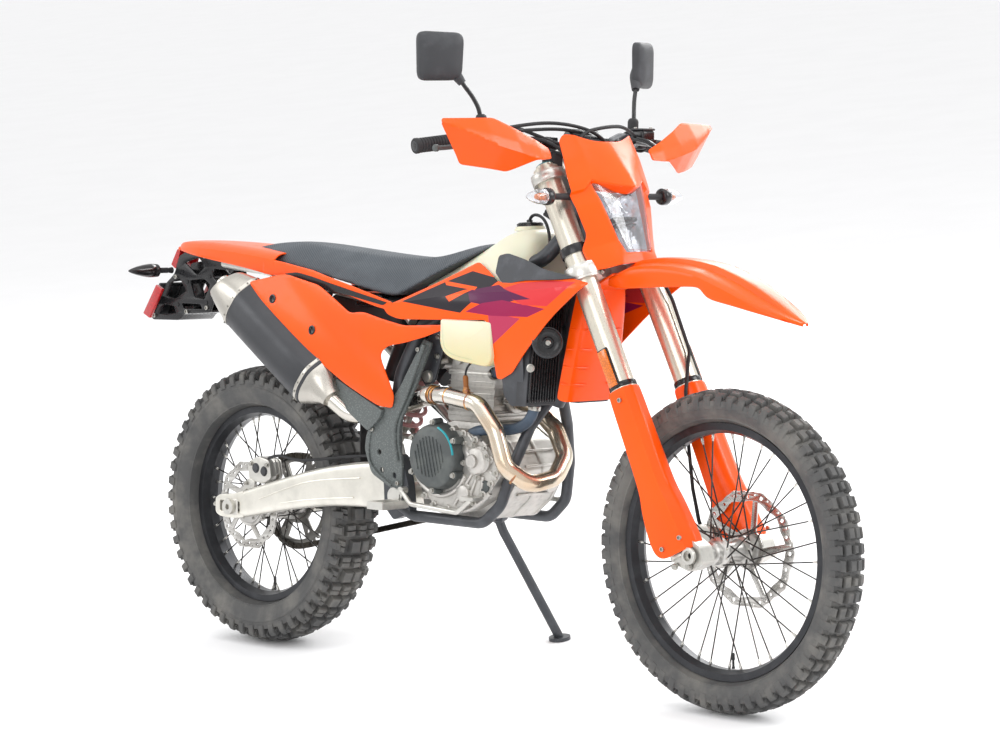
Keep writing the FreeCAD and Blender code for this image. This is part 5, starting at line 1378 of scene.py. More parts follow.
def headlampMask():
    creases = []
    for side in (-1, 1):
        creases.append([(side * float(np.interp(s, mask["s"], mask["creaseY"])), s) for s in (832, 860,
                                            890, 920)])
        creases.append([(side * y, s) for y, s in ((108, 800), (100, 760), (84, 700), (62, 668))])
        creases.append([(side * y, s) for y, s in ((85, 826), (101, 813), (125, 813))])
        creases.append([(side * y, s) for y, s in ((84, 822), (100, 809.5), (124, 809.5))])
    front = skin("maskFront", wholeOutline(mask["outline"]), lambda y,
                 s: forkPoint(maskForward(y, s), y, s), 5.0, 8.0, creases, [wholeOutline(mask["lamp"])],
                 3.0, (1, 0, 0.3), finishes["orange"], 0.8)
    # the collar round the lamp runs back from the opening's edge
    border = stepped(softened(wholeOutline(mask["lamp"]), 4.0), 4.0)
    rows = [[forkPoint(maskForward(p[0], p[1]) - back, p[0] * grow,
                       733 + (p[1] - 733) * grow) for p in border]
            for back, grow in ((1.0, 1.0), (9.0, 0.975), (30.0, 0.95))]
    verts, faces = lattice(rows, True)
    collar = newObject("maskCollar", verts, faces, [finishes["orange"]])
    addModifier(collar, "SOLIDIFY", thickness=2.0, offset=1.0)
    straps = []
    for side in (-1, 1):
        x, y, z = forkPoint(stance["legLead"], side * stance["legY"], 701)
        way = Vector(forkPoint(0, 0, 1)) - Vector(forkPoint(0, 0, 0))
        straps.append(lathe("maskStrap", [(28.4, -10), (32, -10), (32.5, -8), (32.5, 8), (32, 10),
                                          (28.4, 10)], (x, y, z), way, finishes["gloss"], 40))
        straps.append(tubeAlong("maskArm", [forkPoint(50, side * 105, 701), forkPoint(58, side * 102, 702),
                                            forkPoint(64, side * 99, 704)], 5.0, finishes["gloss"], 10))
    whole = merged("headlampMask", [front, collar] + straps)
    return settle(whole, "steering", ["headlamp_mask"], 34.0)


headlampMask()


def lampShape(grow, f):
    border = stepped(softened(wholeOutline(mask["lamp"]), 6.0), 5.0)
    return [forkPoint(f(p), p[0] * grow, 733 + (p[1] - 733) * grow) for p in border]


def headlampUnit():
    def lensForward(p):
        return 108.0 + 12.0 * math.cos(min(1.5, abs(p[0]) / 62.0)) + (p[1] - 733) * 0.08

    middle = (0, 733)
    rings = []
    for grow in (0.955, 0.90, 0.7, 0.45, 0.2, 0.02):
        setBack = 6.0 if grow > 0.94 else 0.0
        rings.append(lampShape(grow, lambda p, g=grow, back=setBack: lensForward((p[0] * g,
                                            middle[1] + (p[1] - middle[1]) * g)) - back))
    rings.insert(0, lampShape(0.955, lambda p: 86.0))
    verts, faces = lattice(rings, True)
    lens = newObject("lampLens", verts, faces, [finishes["glass"]])
    outwards(lens.data)
    addModifier(lens, "SOLIDIFY", thickness=1.6, offset=-1.0)
    bowlRings = []
    for grow, f in ((0.94, 96.0), (0.93, 84.0), (0.84, 74.0), (0.6, 66.0), (0.3, 62.0), (0.02, 61.0)):
        bowlRings.append(lampShape(grow, lambda p, f=f: f))
    verts, faces = lattice(bowlRings, True)
    bowl = newObject("lampBowl", verts, faces, [finishes["lampBowl"]])
    addModifier(bowl, "SOLIDIFY", thickness=1.5, offset=1.0)
    parts = [bowl]
    # a dark shelf with two projector cups above the lower mirror
    for f, s, wide, high, deep, tone in ((92, 742, 74, 9, 22, "gloss"), (84, 730, 66, 4, 30, "gloss")):
        bar = block("lampBar", (0, 0, 0), (deep, wide, high), finishes[tone], 1.6)
        turn = Matrix.Rotation(-rake, 4, "Y")
        turn.translation = forkPoint(f, 0, s)
        bar.data.transform(turn)
        parts.append(bar)
    way = Vector(forkPoint(1, 0, 0)) - Vector(forkPoint(0, 0, 0))
    for y in (-21, 21):
        parts.append(lathe("lampCup", [(0.0, 0.0), (5.0, 0.0), (12.0, 8.0), (15.5, 20.0), (17.0, 20.0),
                                       (13.0, 6.0), (6.0, -2.0), (0.0, -2.0)], forkPoint(72, y, 764), way,
                           finishes["lampBowl"], 28, False))
        parts.append(lathe("lampBulb", [(0.0, 0.0), (5.5, 0.0), (5.5, 9.0), (4.0, 12.0), (0.0, 13.0)],
                           forkPoint(72, y, 764), way, finishes["glass"], 16, False))
    for i in range(5):
        y = -24 + 12 * i
        parts.append(tubeAlong("lampFlute", [forkPoint(80, y * 1.25, 728), forkPoint(73, y, 700),
                                            forkPoint(78, y * 0.8, 676)], 1.4, finishes["reflector"], 6))
    whole = merged("headlampUnit", [lens] + parts)
    return settle(whole, "steering", ["headlamp"], 40.0)


headlampUnit()

guard = {
    "outline": [(-162, 1210, 5), (-164, 1188, 5), (-216, 1184, 6), (-278, 1158, 8), (-376, 1173, 7),
                (-437, 1260, 5), (-434, 1271, 5), (-304, 1274, 10), (-182, 1219, 10)],
    "plan": ([160, 200, 260, 330, 390, 437], [358, 363, 360, 346, 325, 302]),
    "creaseFrom": (-436, 1263), "creaseTo": (-160, 1201),
}


def guardForward(y, z):
    reach = abs(y)
    x = float(np.interp(reach, *guard["plan"]))
    (y0, z0), (y1, z1) = guard["creaseFrom"], guard["creaseTo"]
    share = (abs(y0) - reach) / (abs(y0) - abs(y1))
    line = z0 + (z1 - z0) * share
    fold = line - 24.0 * min(1.0, max(0.0, share) * 2.2)
    if z > line:
        return x - (z - line) * 0.70
    if z > fold:
        return x + (line - z) * 0.42
    return x + (line - fold) * 0.42 - (fold - z) * 0.62


def handguards():
    crease = [guard["creaseFrom"], (-300, 1230.0), guard["creaseTo"]]
    lower = [(-434, 1260), (-376, 1225.0), (-314, 1212.0), (-184, 1180)]
    cover = skin("guardCover", guard["outline"], lambda y, z: (guardForward(y, z), y, z), 6.0, 8.0,
                 [crease, lower], (), 3.0, (1, 0, 0), finishes["orange"], 0.9)
    arm = tubeAlong("guardArm", [(232, -206, 1238), (300, -206, 1236), (346, -205, 1210),
                                 (356, -214, 1206)], 6.0, finishes["gloss"], 12)
    pad = lathe("guardPad", [(0, 0), (13, 0), (14, 2), (14, 7), (0, 7)], (352, -222, 1204), (1, 0, 0),
                finishes["gloss"], 24, False)
    bolt = lathe("guardBolt", [(0, 0), (6, 0), (6, 2.5), (4.5, 3.5), (0, 3.5)], (359.5, -222, 1204),
                 (1, 0, 0.1), finishes["dark"], 12, False)
    right = merged("handguardRight", [cover, arm, pad, bolt])
    left = flipped(right)
    whole = merged("handguards", [right, left])
    return settle(whole, "steering", ["handguards"], 24.0)


handguards()
print("mask, lamp, fender and handguards made")

sidePanel = {
    "outline": [(-642, 892, 12), (-600, 857, 20), (-500, 790, 30), (-420, 736, 30), (-362, 697, 16),
                (-304, 662, 20), (-208, 616, 10), (-168, 613, 8), (-160, 640, 10), (-192, 738, 20),
                (-164, 758, 12), (-117, 766, 14), (-55, 782, 16), (0, 801, 5), (0, 812, 5),
                (-118, 806, 14), (-190, 820, 20), (-246, 834, 16), (-287, 829, 14), (-342, 860, 20),
                (-402, 891, 16), (-530, 915, 24)],
    "spread": 151.0, "middle": 760.0, "bulge": 600.0, "slant": -0.04,
}


def panelReach(x, z):
    rise = z - sidePanel["middle"]
    y = sidePanel["spread"] + sidePanel["slant"] * x - rise ** 2 / (2 * sidePanel["bulge"])
    # a shallow dish runs down the middle, and the front edge turns in
    dish = math.exp(-(((x + 330) * 0.55 + (z - 770) * 0.85) / 34.0) ** 2)
    y -= 5.0 * dish
    y -= 0.06 * max(0.0, x + 250)
    return y


def sidePanels():
    holes = []
    for x, z in ((-552, 854), (-412, 785)):
        holes.append([(x + 8.5 * math.cos(a), z + 8.5 * math.sin(a), 0.1) for a in np.linspace(0,
                                            2 * math.pi, 17)[:-1]])
    border = sidePanel["outline"]
    panel = skin("panelSkin", border, lambda x, z: (x, -panelReach(x, z), z), 7.0, 14.0,
                 [[(-600, 884), (-470, 872), (-300, 805), (-130, 790)]], holes, 3.0, (0, -1, 0),
                 finishes["orange"], 1.0)
    grommets = []
    for x, z in ((-552, 854), (-412, 785)):
        y = -panelReach(x, z)
        grommets.append(lathe("panelGrommet", [(7.6, -1.0), (10.4, -1.0), (11.2, 0.2), (11.2, 0.9),
                                            (8.6, 1.3), (7.6, 0.5)], (x, y, z), (0, -1, 0.12),
                              finishes["gloss"], 28))
        grommets.append(lathe("panelScrew", [(0, -5.5), (8.2, -5.5), (8.2, -2.0), (4, -3.0), (0, -3.0)],
                              (x, y, z), (0, -1, 0.12), finishes["gloss"], 18, False))
    stays = [tubeAlong("panelStay", [(x, -y0, z), (x, -panelReach(x, z) + 4, z)], 6.0, finishes["dark"],
                       10, 2)
             for x, y0, z in ((-190, 120, 640), (-420, 96, 868), (-300, 92, 800))]
    right = merged("sidePanelRight", [panel] + grommets + stays)
    left = flipped(right)
    whole = merged("sidePanels", [right, left])
    return settle(whole, "chassis", ["side_panels"], 32.0)


sidePanels()

shroud = {
    "outline": [(-192, 846, 6), (-139, 864, 20), (-30, 908, 30), (70, 956, 10), (120, 938, 14),
                (182, 912, 16), (250, 924, 30), (377, 933, 30), (476, 921, 5), (440, 898, 20),
                (362, 842, 40), (276, 763, 20), (228, 714, 8), (191, 697, 5), (178, 699, 4),
                (174, 760, 20), (171, 812, 8), (157, 829, 8), (5, 824, 20), (-137, 820, 20), (-176, 830, 8)],
    "spread": 151.0, "slant": 0.042, "middle": 810.0, "bulge": 1100.0,
    "ridge": [(-180, 852), (60, 884), (250, 896), (380, 908), (470, 919)],
    "fold": [(150, 812), (205, 842), (300, 874), (420, 906)],
}


def shroudReach(x, z):
    y = shroud["spread"] + shroud["slant"] * x - (z - shroud["middle"]) ** 2 / (2 * shroud["bulge"])
    ridge = float(np.interp(x, [p[0] for p in shroud["ridge"]], [p[1] for p in shroud["ridge"]]))
    if z > ridge:
        y -= (z - ridge) * 0.75
    fold = float(np.interp(x, [p[0] for p in shroud["fold"]], [p[1] for p in shroud["fold"]]))
    if x > 150 and z < fold:
        y -= (fold - z) * 0.10
    y += 4.0 * math.exp(-((x - 60) / 90.0) ** 2 - ((z - 862) / 20.0) ** 2)
    return y


def radiatorShrouds():
    panel = skin("shroudSkin", shroud["outline"], lambda x, z: (x, -shroudReach(x, z), z), 6.0, 12.0,
                 [shroud["ridge"][:-1], shroud["fold"]], (), 3.0, (0, -1, 0), finishes["shards"], 1.0)
    stays = [tubeAlong("shroudStay", [(x, -134.5, z), (x, -shroudReach(x, z) + 4, z)], 6.5,
                       finishes["dark"], 10, 2)
             for x, z in ((268, 872), (232, 770))]
    trim = skin("shroudTrim", [(160, 934, 6), (158, 972, 8), (188, 978, 10), (255, 965, 20),
                               (312, 948, 20), (430, 930, 5), (376, 925, 10), (262, 920, 20),
                               (196, 908, 14)], lambda x, z: (x,
                                            -(shroudReach(x, 905) - 4 - (z - 905) * 0.32), z), 6.0, 8.0,
                [], (), 3.0, (0, -1, 0.3), finishes["grey"], 0.8)
    wing = skin("shroudWing", [(190, 712, 6), (262, 762, 8), (256, 700, 14), (232, 640, 8), (204, 636, 8),
                               (186, 662, 8)], lambda x, z: (x, -(shroudReach(x, z) - 5.0), z), 6.0, 8.0,
                [], (), 3.0, (0, -1, 0), finishes["grey"], 0.8)
    knee = plate("kneeStrut", [(-427, 696, 5), (-404, 694, 10), (-300, 650, 10), (-196, 606, 5),
                               (-204, 588, 5), (-244, 556, 8), (-300, 590, 16), (-374, 636, 8)],
                 -141, -130, finishes["knurl"], "xz", 8.0, 3.0)
    right = merged("shroudRight", [panel, trim, wing, knee] + stays)
    left = flipped(right)
    whole = merged("radiatorShrouds", [right, left])
    return settle(whole, "chassis", ["radiator_shrouds"], 26.0)


radiatorShrouds()

tail = {
    # x, top height, half width on top, half width of the side, lower edge
    "rows": [(-1064, 969, 18, 26, 962), (-1058, 976, 26, 34, 960), (-1040, 982, 38, 46, 958),
             (-960, 986, 54, 72, 948), (-840, 982, 70, 94, 936), (-720, 975, 84, 110, 924),
             (-620, 966, 94, 121, 910), (-596, 963, 96, 123, 906)],
}


def rearFender():
    rows = []
    for x, high, inner, outer, low in tail["rows"]:
        half = [(x, 0, high), (x, inner * 0.6, high - 0.5), (x, inner, high - 2.5),
                (x, inner + (outer - inner) * 0.55, high - 7), (x, outer, high - 18),
                (x, outer + 1, low + 6), (x, outer - 1, low)]
        rows.append(mirroredSection(half))
    top = shellFrom("tailTop", rows, finishes["orange"], 2.8, 2, (2, 4, 10, 8))
    # the band under the seat joins the tail to the front panels
    upper = [(-640, 950), (-560, 941), (-445, 925), (-300, 892), (-185, 864), (-160, 858)]
    lower = [(-160, 838), (-215, 846), (-376, 884), (-482, 914), (-600, 908), (-640, 912)]
    band = skin("tailBand", [p + (8,) for p in upper + lower],
                lambda x, z: (x, -(float(np.interp(x, [-640, -500, -376, -200],
                                            [121, 133, 141, 146])) - abs(z - 900) * 0.05), z), 7.0, 8.0,
                [], (), 2.8, (0, -1, 0), finishes["orange"], 0.8)
    strip = skin("tailStrip", [(-548, 914, 4), (-500, 918, 8), (-440, 909, 6), (-300, 881, 6),
                               (-176, 857, 4), (-190, 850, 4), (-300, 868, 6), (-420, 884, 6),
                               (-510, 893, 6)], lambda x, z: (x,
                                            -(float(np.interp(x, [-640, -500, -376, -200],
                                            [121, 133, 141, 146])) - abs(z - 900) * 0.05 + 1.4), z),
                 6.0, 4.0, [], (), 1.4, (0, -1, 0), finishes["gloss"], 0.0)
    sideRight = merged("tailSide", [band, strip])
    sideLeft = flipped(sideRight)
    whole = merged("rearFender", [top, sideRight, sideLeft])
    return settle(whole, "chassis", ["rear_fender"], 30.0)


rearFender()
print("side panels, shrouds and tail made")


# seat and tank

seat = {
    # x, top, lower edge, half width
    "rows": [(-758, 966, 958, 56), (-750, 976, 955, 70), (-722, 983, 951, 82), (-640, 985, 938, 97),
             (-560, 983, 929, 107), (-450, 973, 912, 119), (-330, 963, 891, 126), (-235, 957, 874, 128),
             (-178, 955, 864, 127), (-140, 957, 882, 121), (-100, 961, 903, 113), (-50, 972, 928, 101),
             (5, 986, 954, 84), (52, 998, 977, 66), (82, 1004, 991, 52), (92, 1005, 997, 46)],
    "start": 0.004, "voxel": 0.0055, "pressure": 4.0, "frames": 20, "cap": 0.009,
}


def seatSection(x, top, low, wide):
    high = top - low
    half = [(0, top), (wide * 0.34, top - 0.02 * high), (wide * 0.62, top - 0.09 * high),
            (wide * 0.80, top - 0.22 * high), (wide * 0.92, top - 0.42 * high),
            (wide * 0.985, top - 0.68 * high), (wide, low + 0.10 * high), (wide * 0.985, low),
            (wide * 0.88, low - 1.0), (wide * 0.5, low + 1.0), (0, low + 2.0)]
    return [(x, -y, z) for y, z in half] + [(x, y, z) for y, z in reversed(half[1:-1])]


def paddedSeat():
    verts, faces = lattice([seatSection(*row) for row in seat["rows"]], True, True)
    obj = newObject("seatCover", verts, faces, [finishes["seat"]])
    outwards(obj.data)
    addModifier(obj, "SUBSURF", levels=2, render_levels=2)
    baked(obj)
    obj.data.transform(leaned)
    # the start is a little smaller than the finished cover
    obj.data.update()
    moved = [v.co - v.normal * seat["start"] for v in obj.data.vertices]
    for v, co in zip(obj.data.vertices, moved):
        v.co = co
    addModifier(obj, "REMESH", mode="VOXEL", voxel_size=seat["voxel"])
    baked(obj)
    first = np.empty(len(obj.data.vertices) * 3)
    obj.data.vertices.foreach_get("co", first)
    first = first.reshape(-1, 3)
    hold = obj.vertex_groups.new(name="hold")
    low = [v.index for v in obj.data.vertices if v.normal.z < -0.55]
    hold.add(low, 1.0, "REPLACE")
    cloth = addModifier(obj, "CLOTH")
    cloth.settings.quality = 6
    cloth.settings.use_pressure = True
    cloth.settings.uniform_pressure_force = seat["pressure"]
    cloth.settings.vertex_group_mass = "hold"
    cloth.settings.effector_weights.gravity = 0.0
    cloth.point_cache.frame_end = seat["frames"]
    for number in range(1, seat["frames"] + 1):
        bpy.context.scene.frame_set(number)
    baked(obj)
    bpy.context.scene.frame_set(1)
    last = np.empty(len(first) * 3)
    obj.data.vertices.foreach_get("co", last)
    move = last.reshape(-1, 3) - first
    reach = np.linalg.norm(move, axis=1, keepdims=True)
    move *= np.minimum(1.0, seat["cap"] / np.maximum(reach, 1e-9))
    obj.data.vertices.foreach_set("co", (first + move).ravel())
    print("seat cover moved up to", round(float(reach.max()) * 1000, 1), "mm before the cap")
    obj.vertex_groups.clear()
    addModifier(obj, "SMOOTH", factor=0.5, iterations=3)
    baked(obj)
    obj.data.materials.clear()
    obj.data.materials.append(finishes["seat"])
    addModifier(obj, "SUBSURF", levels=1, render_levels=1)
    baked(obj)
    settle(obj, "chassis", ["seat"], 80.0, False)
    return obj


paddedSeat()
print("seat made")

tank = {
    # x, top height
    "rows": [(-120, 918), (-60, 938), (30, 980), (84, 1006), (112, 1021), (140, 1030), (170, 1033),
             (196, 1029), (214, 1016), (226, 992), (232, 955), (233, 905)],
    "half": [(0, 0), (30, -1.5), (54, -9), (74, -30), (92, -62), (110, -98), (122, -128), (126, -160)],
    "lobe": [(14, 826, 6), (12, 772, 14), (24, 750, 18), (52, 736, 20), (120, 728, 26), (164, 724, 14),
             (178, 742, 12), (176, 826, 6)],
}


def fuelTank():
    rows = []
    for x, top in tank["rows"]:
        half = [(x, y, max(top + drop, min(850.0, top - 20))) for y, drop in tank["half"]]
        rows.append(mirroredSection(half))
    top = shellFrom("tankTop", rows, finishes["tank"], 4.0, 2)
    lobes = []
    for side in (-1, 1):
        low, high = (-159, -100) if side < 0 else (100, 159)
        lobe = plate("tankLobe", tank["lobe"], low, high, finishes["tank"], "xz", 12.0, 11.0)
        lobes.append(lobe)
        lobes.append(tubeAlong("tankSeam", [(22, side * 158.0, 818), (22, side * 158.5, 774),
                                            (34, side * 158.5, 756), (58, side * 158.5, 745),
                                            (118, side * 158.5, 738)], 1.2, finishes["tank"], 6))
    neck = lathe("tankNeck", [(24, 0), (36, 0), (36, 4), (33, 7), (33, 10), (24, 10)], (142, 0, 1026),
                 (-0.06, 0, 1), finishes["tank"], 40)
    return settle(merged("fuelTank", [top, neck] + lobes), "chassis", ["fuel_tank"], 50.0)


fuelTank()


def fuelCap():
    way = (-0.06, 0, 1)
    base = lathe("capBody", [(0, 8), (28.5, 8), (30.0, 10), (30.0, 14), (27.5, 15), (27.5, 18),
                             (24, 19.5), (0, 19.5)], (142, 0, 1026), way, finishes["gloss"], 60, False)
    ribs = []
    for i in range(24):
        a = 2 * math.pi * i / 24
        piece = block("capGrip", (0, 0, 0), (3.0, 3.4, 8.0), finishes["gloss"], 0.8, None, 2)
        turn = Matrix.Translation((142, 0, 1026)) @ Matrix.Rotation(-0.06, 4, "Y") @ Matrix.Rotation(a, 4,
                                            "Z") @ Matrix.Translation((28.6, 0, 12.5))
        piece.data.transform(turn)
        ribs.append(piece)
    vent = lathe("capVent", [(0, 0), (7, 0), (7, 6), (5, 7), (0, 7)], (140, 0, 1044.5), way,
                 finishes["gloss"], 24, False)
    return settle(merged("fuelCap", [base, vent] + ribs), "chassis", ["fuel_cap"], 34.0)


fuelCap()
hose = tubeAlong("ventHose", [(140, 0, 1050), (146, -2, 1060), (170, -6, 1064), (200, -12, 1052),
                              (224, -22, 1020), (232, -30, 985), (226, -34, 950)], 3.6, finishes["grip"], 10)
settle(hose, "chassis")
print("tank and cap made")


# engine

engine = {
    "cover": [(-66, 418), (-36, 400), (8, 394), (52, 394), (94, 412), (124, 434), (148, 460), (162, 484),
              (146, 514), (128, 538), (98, 556), (60, 568), (24, 574), (-18, 572)],
    "coverFace": -124.0, "clutch": (-17.0, 512.0), "pump": (102.0, 508.0), "left": (46.0, 478.0),
    # ends and radius of the ribs that run from the pump to the edge of the case
    "caseRibs": [((92, 486), (30, 404), 5.5), ((104, 478), (70, 404), 5.5), ((122, 474), (112, 424), 5.5),
                 ((144, 486), (164, 470), 5.0), ((100, 540), (74, 566), 5.0), ((132, 544), (120, 552), 5.0)],
}


def onSide(name, profile, x, y, z, side, finish, sides=32):
    # a turned piece that stands out to one side, side -1 is the right
    return lathe(name, profile, (x, y, z), (0, side, 0), finishes[finish], sides, False)


clutchDrum = {
    "y": -124, "ears": 78, "ribPitch": 10.5, "crossPitch": 13.0,
    "profile": [(0, 38), (40, 38), (49, 37.5), (52, 35.5), (58, 34.5), (66, 33), (70.5, 30), (73, 25),
                (75, 16), (76, 8), (78, 4), (78, 0), (0, 0)],
}
generator = {"y": 102, "screws": 8, "screwRadius": 68}
oilFilter = {"x": 64, "z": 432, "screwRadius": 21}


def clutchCover():
    x, z = engine["clutch"]
    body = onSide("clutchDrum", clutchDrum["profile"], x, clutchDrum["y"], z, -1, "cover", 72)
    parts = [body]
    for i in range(-4, 5):
        u = i * clutchDrum["ribPitch"]
        reach = math.sqrt(47.0 ** 2 - u * u)
        rib = block("clutchRib", (0, 0, 0), (4.2, 3.0, 2 * reach), finishes["cover"], 1.1, None, 2)
        turn = Matrix.Translation((x, -162.6, z)) @ Matrix.Rotation(math.radians(-14), 4,
                                            "Y") @ Matrix.Translation((u, 0, 0))
        rib.data.transform(turn)
        parts.append(rib)
    for i in range(-3, 4):
        v = i * clutchDrum["crossPitch"]
        reach = math.sqrt(46.0 ** 2 - v * v)
        rib = block("clutchCross", (0, 0, 0), (2 * reach, 1.6, 2.2), finishes["cover"], 0.6, None, 2)
        turn = Matrix.Translation((x, -162.0, z)) @ Matrix.Rotation(math.radians(-14), 4,
                                            "Y") @ Matrix.Translation((0, 0, v))
        rib.data.transform(turn)
        parts.append(rib)
    arc = []
    for i in range(13):
        a = math.radians(6 + 66 * i / 12)
        arc.append((x + 70.5 * math.cos(a), -154.5, z + 70.5 * math.sin(a)))
    parts.append(tubeAlong("clutchArc", arc, 2.6, finishes["teal"], 8))
    ears = []
    for i in range(6):
        a = math.radians(30 + 60 * i)
        p = (x + clutchDrum["ears"] * math.cos(a), clutchDrum["y"], z + clutchDrum["ears"] * math.sin(a))
        parts.append(onSide("clutchEar", [(0, 26), (7, 26), (8.5, 24), (9.5, 0), (0, 0)], p[0], p[1],
                            p[2], -1, "cover", 20))
        ears.append(((p[0], -150.0, p[2]), (0, -1, 0), 1.1))
    parts.append(onSpots("clutchBolts", hexBolt, ears, finishes["bolt"]))
    return settle(merged("clutchCover", parts), "chassis", ["clutch_cover"], 34.0)


clutchCover()


def caseDetails():
    parts = []
    y = engine["coverFace"]
    bosses = []
    for x, z in engine["cover"]:
        parts.append(onSide("caseBoss", [(0, 5), (7.0, 5), (8.6, 3.4), (9.4, -9), (0, -9)], x, y, z, -1,
                            "engine", 18))
        bosses.append(((x, y - 5, z), (0, -1, 0), 1.0))
    # the ledge between the two halves of the case
    outline = [(-130, 452, 10), (-114, 382, 12), (-40, 372, 12), (96, 370, 14), (152, 414, 14),
               (198, 488, 14), (152, 554, 14), (84, 590, 10), (-24, 590, 10), (-98, 558, 12)]
    for low, high, grow in ((-80, -68, 1.0), (-8, 4, 1.0), (62, 72, 1.0)):
        parts.append(plate("caseLedge", [(x * grow, z, b) for x, z, b in outline], low, high,
                           finishes["engine"], "xz", 10.0, 2.0))
    # water pump with its round housing and outlet
    px, pz = engine["pump"]
    parts.append(onSide("pumpHousing", [(0, 26), (13, 26), (15, 24), (16, 17), (27, 15), (32, 11),
                                        (35, 4), (36, 0), (0, 0)], px, y + 2, pz, -1,
                        "engine", 40))
    parts.append(tubeAlong("pumpOutlet", [(px - 12, y - 4, pz + 8), (px - 24, y, pz + 16),
                                          (px - 38, y + 8, pz + 24), (px - 46, y + 14, pz + 32)],
                           13.5, finishes["engine"], 20))
    for a in (20, 100, 190, 280):
        r = math.radians(a)
        cx, cz = px + 37 * math.cos(r), pz + 37 * math.sin(r)
        parts.append(onSide("pumpEar", [(0, 12), (5.6, 12), (7, 10), (7.6, 0), (0, 0)], cx, y + 2, cz, -1,
                            "engine", 16))
        bosses.append(((cx, y - 10, cz), (0, -1, 0), 0.85))
    for (x0, z0), (x1, z1), r in engine["caseRibs"]:
        middle = ((x0 + x1) / 2, y + 0.5, (z0 + z1) / 2)
        parts.append(tubeAlong("caseRib", [(x0, y + 0.5, z0), middle, (x1, y + 0.5, z1)], r,
                               finishes["engine"], 10))
    # oil gallery along the bottom edge and round the clutch cover
    arc = []
    for i in range(15):
        a = math.radians(196 + 138 * i / 14)
        arc.append((engine["clutch"][0] + 90 * math.cos(a), y + 1, engine["clutch"][1] + 90 * math.sin(a)))
    parts.append(tubeAlong("caseGallery", arc, 7.0, finishes["engine"], 14))
    parts.append(tubeAlong("caseSill", [(-40, y + 3, 396), (10, y + 2, 390), (64, y + 2, 391),
                                        (108, y + 3, 410), (140, y + 3, 438)], 6.0, finishes["engine"], 12))
    # oil filter cover, sight glass and filler cap
    parts.append(onSide("filterCover", [(0, 12), (16, 12), (19, 10), (21, 4), (24, 2), (24, -6), (0, -6)],
                        oilFilter["x"], y, oilFilter["z"], -1, "engine", 32))
    for a in (40, 160, 280):
        u = oilFilter["x"] + oilFilter["screwRadius"] * math.cos(math.radians(a))
        v = oilFilter["z"] + oilFilter["screwRadius"] * math.sin(math.radians(a))
        bosses.append(((u, y - 4, v), (0, -1, 0), 0.75))
    parts.append(onSide("sightGlass", [(0, 4), (9, 4), (10, 6), (13, 6), (14, 4), (14, -3), (0, -3)], 128,
                        y + 2, 452, -1, "cover", 28))
    parts.append(onSide("fillerCap", [(0, 10), (11, 10), (13, 8), (14, 0), (0, 0)], -52, y + 22, 552, -1,
                        "gloss", 24))
    # front face of the case
    for z, wide in ((430, 110), (462, 124), (498, 120), (530, 104)):
        x = float(np.interp(z, [416, 488, 552], [152, 198, 152]))
        parts.append(block("caseFrontRib", (x - 4, 0, z), (16, wide, 6), finishes["engine"], 2.2))
    parts.append(lathe("oilStrainer", [(0, 12), (15, 12), (17, 10), (17, 0), (0, 0)], (176, 36, 452),
                       (0.85, 0, -0.5), finishes["engine"], 28, False))
    # left side: generator cover with its ring of bolts, sprocket guard
    lx, lz = engine["left"]
    parts.append(onSide("generatorCover", [(0, 12), (30, 12), (34, 10), (48, 9), (56, 6), (60, 1),
                                           (60, -6), (0, -6)], lx, generator["y"], lz, 1, "cover", 56))
    parts.append(onSide("generatorRing", [(60, 0), (68, 0), (69, -3), (69, -20), (60, -20)], lx,
                        generator["y"], lz, 1, "engine", 56))
    for i in range(generator["screws"]):
        a = 2 * math.pi * i / generator["screws"] + 0.2
        cx, cz = lx + generator["screwRadius"] * math.cos(a), lz + generator["screwRadius"] * math.sin(a)
        parts.append(onSide("generatorEar", [(0, 2), (6.5, 2), (8, 0), (8.5, -26), (0, -26)], cx,
                            generator["y"] - 2, cz, 1, "engine", 16))
        bosses.append(((cx, generator["y"], cz), (0, 1, 0), 0.9))
    guard = plate("sprocketGuard", [(-128, 470, 14), (-126, 382, 16), (-64, 372, 14), (-26, 396, 12),
                                    (-24, 446, 12), (-50, 484, 12), (-96, 492, 12)], 101.5, 108,
                  finishes["cover"], "xz", 12.0, 2.0)
    parts.append(guard)
    for x, z in ((-108, 470), (-108, 392), (-44, 392), (-44, 470)):
        bosses.append(((x, 108, z), (0, 1, 0), 0.9))
    parts.append(onSpots("caseBolts", hexBolt, bosses, finishes["bolt"]))
    settle(merged("caseDetails", parts), "chassis", (), 34.0)


caseDetails()


